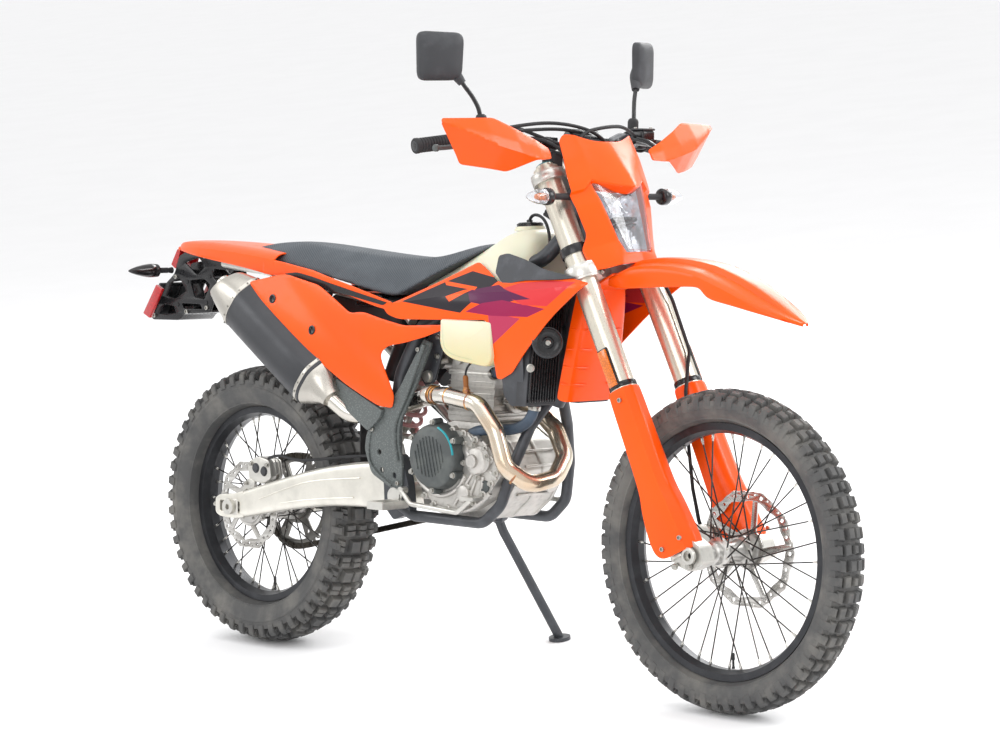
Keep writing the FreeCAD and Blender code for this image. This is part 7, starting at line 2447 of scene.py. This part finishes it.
def frameGuards():
    r = pivotGuard["holeRadius"]
    holes = []
    for x, z in pivotGuard["holes"]:
        holes.append([(x + r * math.cos(a), z + r * math.sin(a), 0.1) for a in np.linspace(0, 2 * math.pi,
                                            15)[:-1]])

    def lift(x, z):
        return (x, -(pivotGuard["out"] - pivotGuard["curve"] * (z - pivotGuard["middle"]) ** 2), z)

    cover = skin("guardSkin", pivotGuard["outline"], lift, 8.0, 10.0, [], holes, 8.0, (0, -1, 0),
                 finishes["knurl"], 2.0)
    ribs = [tubeAlong("guardRib", pivotGuard["rib"], 5.0, finishes["knurl"], 12),
            tubeAlong("guardRibLow", pivotGuard["lowRib"], 2.6, finishes["knurl"], 10)]
    spots = [((x, pivotGuard["boltY"], z), (0, -1, 0), 1.15) for x, z in pivotGuard["bolts"]]
    right = merged("frameGuardRight", [cover] + ribs + [onSpots("guardBolts", socketBolt, spots,
                                            finishes["bolt"])])
    return settle(merged("frameGuards", [right, flipped(right)]), "chassis",
                  ["frame_guards"], 34.0)


frameGuards()


radiatorFace = {"slats": 11, "outerY": -131.0, "pitch": 8.3, "slatThick": 2.6,
                "rails": [(288, 882), (278, 770), (265, 652)],
                "horn": (322, -128, 784), "hornWay": (0.78, -0.62, 0.05)}


def radiatorFronts():
    parts = []
    for i in range(radiatorFace["slats"]):
        y = radiatorFace["outerY"] + i * radiatorFace["pitch"]
        parts.append(plate("radiatorSlat", [(281, 884, 2), (292, 884, 2), (270, 648, 2), (259, 648, 2)],
                           y, y + radiatorFace["slatThick"], finishes["gloss"], "xz", 1.5, 0.6))
    for x, z in radiatorFace["rails"]:
        parts.append(tubeAlong("radiatorRail", [(x, radiatorFace["outerY"], z), (x, -90, z), (x, -46, z)],
                               4.2, finishes["gloss"], 10, 2))
    right = merged("radiatorFrontRight", parts)
    left = flipped(right)
    at, way = radiatorFace["horn"], radiatorFace["hornWay"]
    horn = [lathe("hornBody", [(0, -18), (20, -18), (26, -12), (31, -8), (32.5, -4), (32.5, 3), (30, 6),
                               (24, 7), (19, 4.5), (14, 5), (11, 8), (0, 9)], at, way, finishes["gloss"],
                  48, False), lathe("hornRim", [(31.6, -3), (34.2, -3), (34.6, 0), (34.2, 3), (31.6, 3)],
                                    at, way, finishes["grey"], 48),
            lathe("hornNut", [(0, 8), (6, 8), (6, 12), (4.6, 13), (0, 13)], at, way, finishes["bolt"], 12,
                  False), tubeAlong("hornStay", [(308, -116, 784), (296, -108, 800), (286, -104, 820)],
                                    5.0, finishes["gloss"], 10)]
    bolts = onSpots("radiatorBolts", hexBolt, [((276, -134, 726), (0.7, -0.7, 0), 1.5),
                                            ((276, 134, 726), (0.7, 0.7, 0), 1.5)], finishes["bolt"])
    return settle(merged("radiatorFronts", [right, left, bolts] + horn), "chassis",
                  ["radiator_guards"], 34.0)


radiatorFronts()


def turnedTree():
    # one part on each point, turned about the sideways axis by the point's own angle
    tree, given, result = startTree("linksOnPath", [("Part", "NodeSocketObject"),
                                            ("Finish", "NodeSocketMaterial")])
    part = add(tree, "GeometryNodeObjectInfo", {"transform_space": "ORIGINAL"}, Object=given.outputs["Part"])
    angle = add(tree, "GeometryNodeInputNamedAttribute", {"data_type": "FLOAT"}, Name="angle")
    turn = add(tree, "ShaderNodeCombineXYZ", {}, i0=0.0, i1=angle.outputs[0], i2=0.0)
    copies = add(tree, "GeometryNodeInstanceOnPoints", {}, Points=given.outputs["Geometry"],
                 Instance=part.outputs["Geometry"], Rotation=turn.outputs[0])
    plain = add(tree, "GeometryNodeRealizeInstances", {}, Geometry=copies.outputs[0])
    painted = add(tree, "GeometryNodeSetMaterial", {}, Geometry=plain.outputs[0],
                  Material=given.outputs["Finish"])
    tree.links.new(painted.outputs[0], result.inputs[0])
    return tree


chainDrive = {"front": (-85.0, 412.0), "frontRadius": 35.67, "rearRadius": 113.8, "y": 88.0, "pitch": 15.875}


def chainPath():
    # pins along both runs and round both sprockets, evenly spaced
    front, rear = Vector(chainDrive["front"]), Vector(stance["rearAxle"])
    small, large = chainDrive["frontRadius"], chainDrive["rearRadius"]
    reach = (rear - front).length
    slope = math.atan2(rear.y - front.y, rear.x - front.x)
    lean = math.acos((small - large) / reach)
    points = []
    count = 60
    for i in range(count + 1):
        a = slope + lean + (2 * math.pi - 2 * lean) * i / count
        points.append(front + Vector((math.cos(a), math.sin(a))) * small)
    for i in range(2 * count + 1):
        a = slope - lean + 2 * lean * i / (2 * count)
        points.append(rear + Vector((math.cos(a), math.sin(a))) * large)
    lengths = [0.0]
    for p, q in zip(points, points[1:] + points[:1]):
        lengths.append(lengths[-1] + (q - p).length)
    links = int(round(lengths[-1] / chainDrive["pitch"] / 2)) * 2
    pins = []
    for k in range(links):
        t = lengths[-1] * k / links
        i = max(j for j in range(len(points)) if lengths[j] <= t)
        share = (t - lengths[i]) / (lengths[i + 1] - lengths[i])
        pins.append(points[i].lerp(points[(i + 1) % len(points)], share))
    return pins


def linkPart(name, gap, rollers):
    half = chainDrive["pitch"] / 2
    shape = []
    for side in (1, -1):
        for i in range(7):
            a = math.radians(-75 + 25 * i) + (0 if side > 0 else math.pi)
            shape.append((side * half + 7.0 * math.cos(a), 7.0 * math.sin(a), 0.1))
    parts = [plate("linkPlate", shape, y, y + 2.0, finishes["chain"], "xz", 0.1,
                   0.0) for y in (-gap - 2.0, gap)]
    for x in (-half, half):
        wide, r = (gap, 4.6) if rollers else (gap + 3.2, 2.6)
        parts.append(lathe("linkPin", [(0, -wide), (r, -wide), (r, wide), (0, wide)], (x, 0, 0),
                           (0, 1, 0), finishes["chain"], 10, False))
    return merged(name, parts)


def driveChain():
    pins = chainPath()
    tree = turnedTree()
    pieces = []
    for start, part in ((0, linkPart("innerLink", 3.2, True)), (1, linkPart("outerLink", 5.4, False))):
        middles, angles = [], []
        for k in range(start, len(pins), 2):
            a, b = pins[k], pins[(k + 1) % len(pins)]
            middles.append(((a.x + b.x) / 2, chainDrive["y"], (a.y + b.y) / 2))
            angles.append(-math.atan2(b.y - a.y, b.x - a.x))
        cloud = newObject("chainRun", middles, [], [])
        cloud.data.attributes.new("angle", "FLOAT", "POINT")
        cloud.data.attributes["angle"].data.foreach_set("value", angles)
        pieces.append(runTree("chainRun", tree, {"Part": part, "Finish": finishes["chain"]}, cloud))
        discard(part)
    return settle(merged("driveChain", pieces), "chassis", ["chain"], 34.0)


driveChain()
print("tail gear, guards and chain made")


# swingarm, shock, hoses and brakes

armShape = {
    # along, top, bottom, outer face, inner face
    "rows": [(-712, 381, 315, 128, 102), (-700, 384, 316, 128, 102), (-600, 412, 336, 128, 102),
             (-500, 440, 353, 127, 100), (-420, 459, 365, 124, 97), (-340, 473, 370, 115, 84),
             (-280, 481, 370, 104, 68), (-240, 481, 368, 97, 60), (-190, 458, 372, 93, 57),
             (-160, 430, 384, 92, 57), (-152, 418, 396, 90, 60)],
}


def swingArm():
    parts = []
    rows = []
    for x, top, low, outer, inner in armShape["rows"]:
        r = min(13.0, (top - low) * 0.3, (outer - inner) * 0.45)
        mid = (top + low) / 2
        bulge = 0.0 if x < -690 else 1.2
        rows.append([(x, -outer + r, top), (x, -outer + r * 0.25, top - r * 0.28), (x, -outer, top - r),
                     (x, -outer - bulge, mid + 8), (x, -outer - bulge, mid - 8), (x, -outer, low + r),
                     (x, -outer + r * 0.25, low + r * 0.28), (x, -outer + r, low), (x, -inner - r, low),
                     (x, -inner, low + r), (x, -inner, mid), (x, -inner, top - r), (x, -inner - r, top)])
    verts, faces = lattice(rows, True, True)
    arm = newObject("armBeam", verts, faces, [finishes["arm"]])
    outwards(arm.data)
    marks = arm.data.attributes.new("crease_edge", "FLOAT", "EDGE")
    last = (len(rows) - 1) * 13
    for edge in arm.data.edges:
        i, j = edge.vertices
        if (i < 13 and j < 13) or (i >= last and j >= last):
            marks.data[edge.index].value = 0.9
    addModifier(arm, "SUBSURF", levels=2, render_levels=2)
    parts.append(arm)
    # the end that holds the axle in a slot, with its adjuster
    low, high = stance["rearAxle"][1] - 13.2, stance["rearAxle"][1] + 13.2
    ends = [(-700, 382, 8), (-742, 371, 10), (-790, 367, 10), (-806, 358, 8), (-806, 322, 8),
            (-790, 313, 10), (-742, 311, 10), (-700, 316, 8)]
    slot = [(-716, low, 5), (-716, high, 5), (-789, high, 5), (-789, low, 5)]
    parts.append(cutPlate("armEnd", ends, [slot], -127.0, -103.0, finishes["arm"], 8.0, 2.4))
    parts.append(block("axleSlide", (stance["rearAxle"][0], -126.5, stance["rearAxle"][1]), (44, 6, 40),
                       finishes["cast"], 3.0))
    parts.append(lathe("axleNut", [(13, 0), (19, 0), (19, 8), (17, 10), (13, 10)],
                       (stance["rearAxle"][0], -129.5, stance["rearAxle"][1]), (0, -1, 0),
                       finishes["bolt"], 6))
    parts.append(lathe("adjuster", [(0, 0), (3.4, 0), (3.4, 20), (5.8, 20), (5.8, 27), (0, 27)],
                       (-794, -115, 340), (-1, 0, 0), finishes["bolt"], 6, False))
    # a shallow pocket's rim along the outer face
    rim = [(-300, -112.5, 440), (-420, -125.2, 430), (-520, -129.0, 408), (-640, -129.4, 366),
           (-560, -129.4, 362), (-440, -125.6, 384), (-320, -114.5, 392)]
    parts.append(tubeAlong("armRib", rim[:4], 1.6, finishes["arm"], 8))
    parts.append(tubeAlong("armRibLow", rim[4:], 1.6, finishes["arm"], 8))
    parts.append(lathe("pivotCap", [(14, 0), (21, 0), (23, 2), (23, 8), (19, 11), (14, 11)],
                       (-172, -112, 408), (0, -1, 0), finishes["cast"], 40))
    right = merged("armRight", parts)
    left = flipped(right)
    bridge = cutPlate("armBridge", [(-236, 476, 8), (-330, 466, 14), (-352, 420, 14), (-330, 372, 12),
                                    (-240, 370, 8)], [], -92.0, 92.0, finishes["arm"], 8.0, 4.0)
    tunnel = lathe("armTunnel", [(16, -92), (29, -92), (30, -90), (30, 90), (29, 92), (16, 92)],
                   (-172, 0, 408), (0, 1, 0), finishes["arm"], 44)
    comb = [(-250, 489, 2), (-300, 486, 2)]
    x = -300
    while x > -520:
        z = 489 + (x + 250) * 0.12 - max(0.0, -330 - x) * 0.10
        comb += [(x, z, 1.5), (x - 12, z - 2, 1.5), (x - 13, z - 8, 1.5), (x - 24, z - 10, 1.5)]
        x -= 25
    comb += [(-540, 430, 2), (-420, 456, 4), (-330, 470, 4), (-250, 478, 2)]
    slider = plate("chainSlider", comb, 100.0, 112.0, finishes["dark"], "xz", 1.5, 0.8)
    return settle(merged("swingArm", [right, left, bridge, tunnel, slider]), "chassis",
                  ["swingarm"], 36.0)


swingArm()


shock = {
    "top": (-156, 0, 748), "low": (-250, 0, 582), "coils": 6.5, "coilRadius": 30.5, "wire": 5.2,
         "firstCoil": 36,
    "can": (-214, -52, 768), "canWay": (-0.38, -0.05, -0.92),
         "neck": [(-156, -8, 752), (-176, -30, 762), (-206, -48, 764)],
}


def rearShock():
    top, low = Vector(shock["top"]), Vector(shock["low"])
    way = (low - top).normalized()
    reach = (low - top).length
    body = lathe("shockBody", [(0, -6), (24, -6), (28, -2), (28, 34), (24, 36), (24, 40), (20, 42),
                               (20, reach - 24), (9, reach - 22), (9, reach + 90), (16, reach + 92),
                               (16, reach + 104), (0, reach + 106)], tuple(top), way, finishes["cast"],
                 40, False)
    rings = [lathe("springSeat", [(21, d), (36, d), (37, d + 2), (37, d + 6), (33, d + 9), (21, d + 9)],
                   tuple(top), way, finishes["cast"], 44)
             for d in (22, reach + 34)]
    side = way.orthogonal().normalized()
    other = way.cross(side)
    coil = []
    turns, steps, radius = shock["coils"], 20, shock["coilRadius"]
    for i in range(int(turns * steps) + 1):
        a = 2 * math.pi * i / steps
        d = shock["firstCoil"] + (reach - 6) * i / (turns * steps)
        coil.append(tuple(top + way * d + side * (radius * math.cos(a)) + other * (radius * math.sin(a))))
    spring = tubeAlong("shockSpring", coil, shock["wire"], finishes["spring"], 10, 3, 2)
    can = lathe("shockCan", [(0, 0), (18, 0), (21, 3), (21, 18), (20, 20), (20, 84), (21, 86), (21, 98),
                             (16, 103), (0, 103)], shock["can"], shock["canWay"], finishes["sleeve"], 36,
                False)
    neck = tubeAlong("shockNeck", shock["neck"], 11.0, finishes["cast"], 16, 2)
    ear = cutPlate("shockEar", [(-168, 800, 8), (-136, 800, 8), (-136, 750, 6), (-176, 740, 6)],
                   [roundHole(-152, 784, 7.0)], -14.0, 14.0, finishes["cast"], 6.0, 2.0)
    foot = cutPlate("shockFoot", [(-284, 520, 6), (-310, 506, 6), (-298, 478, 6), (-272, 482, 6)],
                    [roundHole(-290, 494, 6.0)], -14.0, 14.0, finishes["cast"], 6.0, 2.0)
    return settle(merged("rearShock", [body, spring, can, neck, ear, foot] + rings), "chassis",
                  ["shock_absorber"], 36.0)


rearShock()


coolant = {
    "low": [(58, -112, 540), (56, -111, 556), (74, -108, 571), (106, -105, 578), (150, -102, 580),
            (196, -98, 584), (226, -92, 598), (240, -86, 622), (244, -84, 646)], "lowRadius": 12.4,
    "high": [(96, -70, 700), (130, -84, 716), (170, -92, 726), (212, -90, 728), (240, -84, 728)],
           "highRadius": 11.0,
    "clamps": [((58, -112, 546), (0.0, 0, 1)), ((242, -85, 634), (0.15, 0.05, 1)),
               ((104, -74, 703), (1, -0.4, 0.4)), ((230, -87, 728), (1, 0.2, 0))],
}


def coolantHoses():
    hose = tubeAlong("hoseLow", coolant["low"], coolant["lowRadius"], finishes["hose"], 22, 3, 8)
    upper = tubeAlong("hoseHigh", coolant["high"], coolant["highRadius"], finishes["hose"], 20, 3, 8)
    clamps = []
    for point, way in coolant["clamps"]:
        clamps.append(lathe("hoseClamp", [(12.2, -5), (14.0, -5), (14.4, -4), (14.4, 4), (14.0, 5),
                                          (12.2, 5)], point, way, finishes["bolt"], 30))
        clamps.append(block("clampScrew", (point[0] + 2, point[1] - 15, point[2]), (10, 7, 8),
                            finishes["bolt"], 1.6))
    return settle(merged("coolantHoses", [hose, upper] + clamps), "chassis",
                  ["coolant_hoses"], 40.0)


coolantHoses()


rearBrake = {
    "outline": [(-716, 405, 8), (-722, 448, 10), (-685, 466, 12), (-642, 458, 10), (-634, 414, 10),
                (-664, 398, 8)],
    "carrier": [(-770, 366, 6), (-756, 320, 8), (-730, 318, 8), (-712, 350, 8), (-690, 402, 8),
                (-716, 412, 8), (-742, 376, 6)],
    "line": [(-650, -90, 462), (-610, -96, 476), (-520, -116, 466), (-430, -112, 476), (-330, -100, 490),
             (-262, -92, 494)],
    "lineRadius": 3.6, "pots": [(-690, 436), (-660, 430)],
}


def rearCaliper():
    outline = rearBrake["outline"]
    outer = cutPlate("caliperOuter", outline, [], -96.0, -74.5, finishes["cast"], 9.0, 3.0)
    inner = cutPlate("caliperInner", outline, [], -65.0, -55.0, finishes["cast"], 9.0, 3.0)
    bridge = cutPlate("caliperBridge", [(-700, 458, 4), (-685, 465, 8), (-644, 457, 8), (-637, 420, 8),
                                        (-650, 424, 6), (-664, 444, 10), (-684, 455, 8)], [], -78.0, -62.0,
                      finishes["cast"], 5.0, 1.0)
    parts = [outer, inner, bridge]
    for x, z in rearBrake["pots"]:
        parts.append(lathe("caliperPot", [(0, 0), (9, 0), (10.5, 3), (12.5, 4), (13.5, 6), (13.5, 14),
                                          (0, 14)], (x, -100, z), (0, 1, 0), finishes["dark"], 28, False))
    carrier = cutPlate("caliperCarrier", rearBrake["carrier"],
                       [roundHole(-743, 340, 14.0, 24), roundHole(-722, 376, 6.0)], -98.0, -91.0,
                       finishes["cast"], 6.0, 1.6)
    line = tubeAlong("rearBrakeLine", rearBrake["line"], rearBrake["lineRadius"], finishes["grip"], 10)
    bolts = onSpots("caliperBolts", hexBolt, [((-706, -97, 446), (0, -1, 0), 1.0),
                                            ((-648, -97, 446), (0, -1, 0), 1.0),
                                            ((-722, -99, 398), (0, -1, 0), 0.9)], finishes["bolt"])
    return settle(merged("rearCaliper", parts + [carrier, line, bolts]), "chassis",
                  ["rear_caliper"], 34.0)


rearCaliper()


frontBrake = {
    "ahead": -44, "up": 26, "pots": [(-12, 14), (8, -12)], "potY": 91, "faceY": (67.0, 86.0),
              "backY": (47.0, 57.0),
    # the last bend of the brake hose, ahead, left and up along the fork
    "hose": [(-42, 66, 110), (-46, 66, 92), (-50, 67, 78), (-50, 69, 66)], "hoseRadius": 4.4,
              "banjo": (-50, 69, 62),
}


def frontCaliper():
    x, _, z = forkPoint(frontBrake["ahead"], 0, frontBrake["up"])
    outline = [(x - 40, z - 34, 10), (x - 44, z + 20, 12), (x - 22, z + 42, 12), (x + 20, z + 38, 12),
               (x + 34, z, 12), (x + 20, z - 36, 10)]
    outer = cutPlate("caliperFace", outline, [], *frontBrake["faceY"], finishes["cast"], 10.0, 3.4)
    inner = cutPlate("caliperBack", outline, [], *frontBrake["backY"], finishes["cast"], 10.0, 3.0)
    bridge = cutPlate("caliperTop", [(x - 40, z - 22, 4), (x - 43, z + 18, 10), (x - 22, z + 41, 10),
                                     (x - 10, z + 40, 2), (x - 34, z + 17, 6), (x - 36.5, z - 22, 2)], [],
                      54.0, 70.0, finishes["cast"], 5.0, 1.0)
    parts = [outer, inner, bridge]
    for dx, dz in frontBrake["pots"]:
        parts.append(lathe("caliperCup", [(0, 0), (10, 0), (12, 3), (14.5, 4), (15, 7), (15, 14), (0, 14)],
                           (x + dx, frontBrake["potY"], z + dz), (0, -1, 0), finishes["dark"], 28, False))
    lug = cutPlate("caliperLug", [(x + 5, z - 20, 6), (x + 5, z + 20, 6), (x + 58, z + 30, 6),
                                  (x + 58, z - 12, 6)], [roundHole(x + 30, z + 8, 6.0)], 72.0, 84.0,
                   finishes["cast"], 6.0, 2.0)
    bolts = onSpots("frontCaliperBolts", hexBolt, [((x - 24, 87, z - 18), (0, 1, 0), 1.0),
                                            ((x + 14, 87, z + 24), (0, 1, 0), 1.0)], finishes["bolt"])
    return settle(merged("frontCaliper", parts + [lug, bolts]), "steering",
                  ["front_caliper"], 34.0)


frontCaliper()


def hoseEnd():
    # the brake hose's last bend and its banjo on the caliper
    path = [forkPoint(f, y, s) for f, y, s in frontBrake["hose"]]
    bend = tubeAlong("hoseBend", path, frontBrake["hoseRadius"], finishes["grip"], 12)
    banjo = lathe("hoseBanjo", [(0, -7), (7.5, -7), (8.5, -5), (8.5, 5), (7.5, 7), (0, 7)],
                  forkPoint(*frontBrake["banjo"]), (0, 1, 0), finishes["bolt"], 24, False)
    nipple = onSpots("banjoBolt", hexBolt, [(forkPoint(-50, 76, 62), (0, 1, 0), 1.0)], finishes["bolt"])
    return settle(merged("hoseEnd", [bend, banjo, nipple]), "steering", (), 36.0)


hoseEnd()


loom = {
    # routes behind the head tube, clear of the clamps as they turn, with the radius of each
    "runs": [([(-92, -34, 668), (-60, -36, 692), (-46, -38, 740), (-44, -36, 790), (-48, -32, 826),
               (-78, -34, 848)], 6.5), ([(-96, -26, 672), (-62, -40, 700), (-50, -44, 760),
                                         (-52, -38, 810), (-80, -40, 844)], 4.5),
             ([(-90, -16, 674), (-52, -22, 710), (-42, -24, 760), (-50, -20, 812), (-76, -22, 846)], 5.0)],
    "plugs": [(-50, -42, 742, (30, 22, 36)), (-54, -38, 694, (24, 26, 28))],
}


def wiringLoom():
    parts = []
    for run, r in loom["runs"]:
        parts.append(tubeAlong("loomCable", [forkPoint(f, y, s) for f, y, s in run], r, finishes["grip"],
                               12))
    for f, y, s, size in loom["plugs"]:
        box = block("loomPlug", (0, 0, 0), size, finishes["dark"], 3.0)
        turn = Matrix.Rotation(-rake, 4, "Y")
        turn.translation = forkPoint(f, y, s)
        box.data.transform(turn)
        parts.append(box)
    return settle(merged("wiringLoom", parts), "chassis", (), 34.0)


wiringLoom()


pipeShield = [(-455, 688, 5), (-413, 710, 6), (-372, 664, 8), (-352, 640, 5), (-372, 624, 5),
              (-420, 622, 10), (-452, 640, 6)]


def heatShields():
    shield = skin("silencerShield", pipeShield,
                  lambda x, z: (x, -158.0 - 5.0 * math.cos((z - 664) / 30.0), z), 6.0, 6.0, [], (), 1.6,
                  (0, -1, 0), finishes["endCap"], 0.6)
    stay = tubeAlong("shieldStay", [(-410, -120, 664), (-410, -140, 664), (-410, -160, 664)], 4.0,
                     finishes["endCap"], 10, 2)
    screw = onSpots("shieldScrews", socketBolt, [((-424, -162.5, 684), (0, -1, 0), 1.0),
                                            ((-384, -162.5, 640), (0, -1, 0), 1.0)], finishes["bolt"])
    return settle(merged("heatShield", [shield, stay, screw]), "chassis", (), 40.0)


heatShields()


intake = {
    "box": (-330, 0, 820), "boxSize": (250, 150, 96), "duct": [(-225, 0, 770), (-190, 0, 740),
                                            (-150, 0, 706), (-116, 0, 682)],
    "ductRadius": 27.0, "fuses": (-300, -72, 858), "fusesSize": (90, 34, 30),
}


def airBox():
    # the dark parts behind the side panels, under the seat
    box = block("airBoxBody", intake["box"], intake["boxSize"], finishes["dark"], 18.0)
    duct = tubeAlong("intakeDuct", intake["duct"], intake["ductRadius"], finishes["grip"], 28, 3)
    tool = block("fuseBox", intake["fuses"], intake["fusesSize"], finishes["gloss"], 5.0)
    return settle(merged("airBox", [box, duct, tool]), "chassis", (), 34.0)


airBox()
print("swingarm, shock, hoses and brakes made")


# floor, light and camera

studio = {
    "floorTone": paint(247, 247, 248), "floorSize": 60.0, "worldTone": (1.0, 1.0, 1.0, 1.0),
          "worldStrength": 0.98,
    # name, place, aim, size and power of each softbox
    "lights": [("topSoftbox", (0.4, -0.6, 4.2), (0.0, 0.0, 0.5), (5.0, 3.4), 66.0),
               ("keySoftbox", (2.2, -4.4, 3.0), (0.0, 0.0, 0.6), (3.0, 2.4), 60.0),
               ("frontSoftbox", (3.8, 2.3, 2.9), (0.4, 0.0, 0.8), (2.2, 2.0), 105.0),
               ("leftSoftbox", (-1.0, 4.4, 2.9), (0.1, 0.0, 0.8), (3.8, 1.8), 130.0),
               ("rearSoftbox", (-3.4, -3.2, 3.2), (0.2, 0.0, 0.8), (2.6, 2.0), 52.0)],
}
camera = {"azimuth": 0.784825, "height": 1.138116, "distance": 7.328247, "focalPixels": 3192.139,
          "roll": 0.007474,
          "middle": (484.7785, 381.91), "pitch": 0.062886, "pictureWidth": 1000.0, "pictureHeight": 750.0}


def makeFloor():
    size = studio["floorSize"]
    f = Finish("paleFloor", specular=0.2)
    speck = f.noise(3.0, 3.0)
    f.set(colour=f.mix(f.span(speck, 0.3, 0.7), studio["floorTone"], paint(249, 249, 250)),
          roughness=0.75 + (speck - 0.5) * 0.1)
    floor = newObject("studioFloor", [(-size, -size, 0), (size, -size, 0), (size, size, 0),
                                      (-size, size, 0)], [(0, 1, 2, 3)], [f.material])


def addLight(name, place, aim, size, power):
    data = bpy.data.lights.new(name, "AREA")
    data.shape = "RECTANGLE"
    data.size, data.size_y = size
    data.energy = power
    obj = bpy.data.objects.new(name, data)
    bpy.context.scene.collection.objects.link(obj)
    obj.location = place
    obj.rotation_euler = (Vector(aim) - Vector(place)).to_track_quat("-Z", "Y").to_euler()


def makeStudio():
    world = bpy.data.worlds.new("studioWorld")
    world.use_nodes = True
    world.node_tree.nodes["Background"].inputs[0].default_value = studio["worldTone"]
    world.node_tree.nodes["Background"].inputs[1].default_value = studio["worldStrength"]
    bpy.context.scene.world = world
    for light in studio["lights"]:
        addLight(*light)
    settings = bpy.context.scene.view_settings
    settings.view_transform = "Standard"
    settings.look = "None"


def makeCamera():
    azimuth, pitch, roll = camera["azimuth"], camera["pitch"], camera["roll"]
    place = Vector((camera["distance"] * math.sin(azimuth), -camera["distance"] * math.cos(azimuth),
                    camera["height"]))
    ahead = Vector((-math.sin(azimuth) * math.cos(pitch), math.cos(azimuth) * math.cos(pitch),
                    -math.sin(pitch)))
    right = Vector((math.cos(azimuth), math.sin(azimuth), 0.0))
    up = right.cross(ahead)
    turnedRight = right * math.cos(roll) + up * math.sin(roll)
    turnedUp = up * math.cos(roll) - right * math.sin(roll)
    data = bpy.data.cameras.new("photoCamera")
    data.sensor_width = 36.0
    data.lens = camera["focalPixels"] / camera["pictureWidth"] * data.sensor_width
    data.shift_x = (camera["pictureWidth"] / 2 - camera["middle"][0]) / camera["pictureWidth"]
    data.shift_y = (camera["middle"][1] - camera["pictureHeight"] / 2) / camera["pictureWidth"]
    data.clip_end = 200.0
    obj = bpy.data.objects.new("photoCamera", data)
    bpy.context.scene.collection.objects.link(obj)
    pose = Matrix((turnedRight, turnedUp, -ahead)).transposed().to_4x4()
    pose.translation = place
    obj.matrix_world = Matrix.Translation(stance["shift"]) @ unlean @ pose
    bpy.context.scene.camera = obj


makeFloor()
makeStudio()
makeCamera()
discard(hexBolt, socketBolt)
print("studio and camera made")
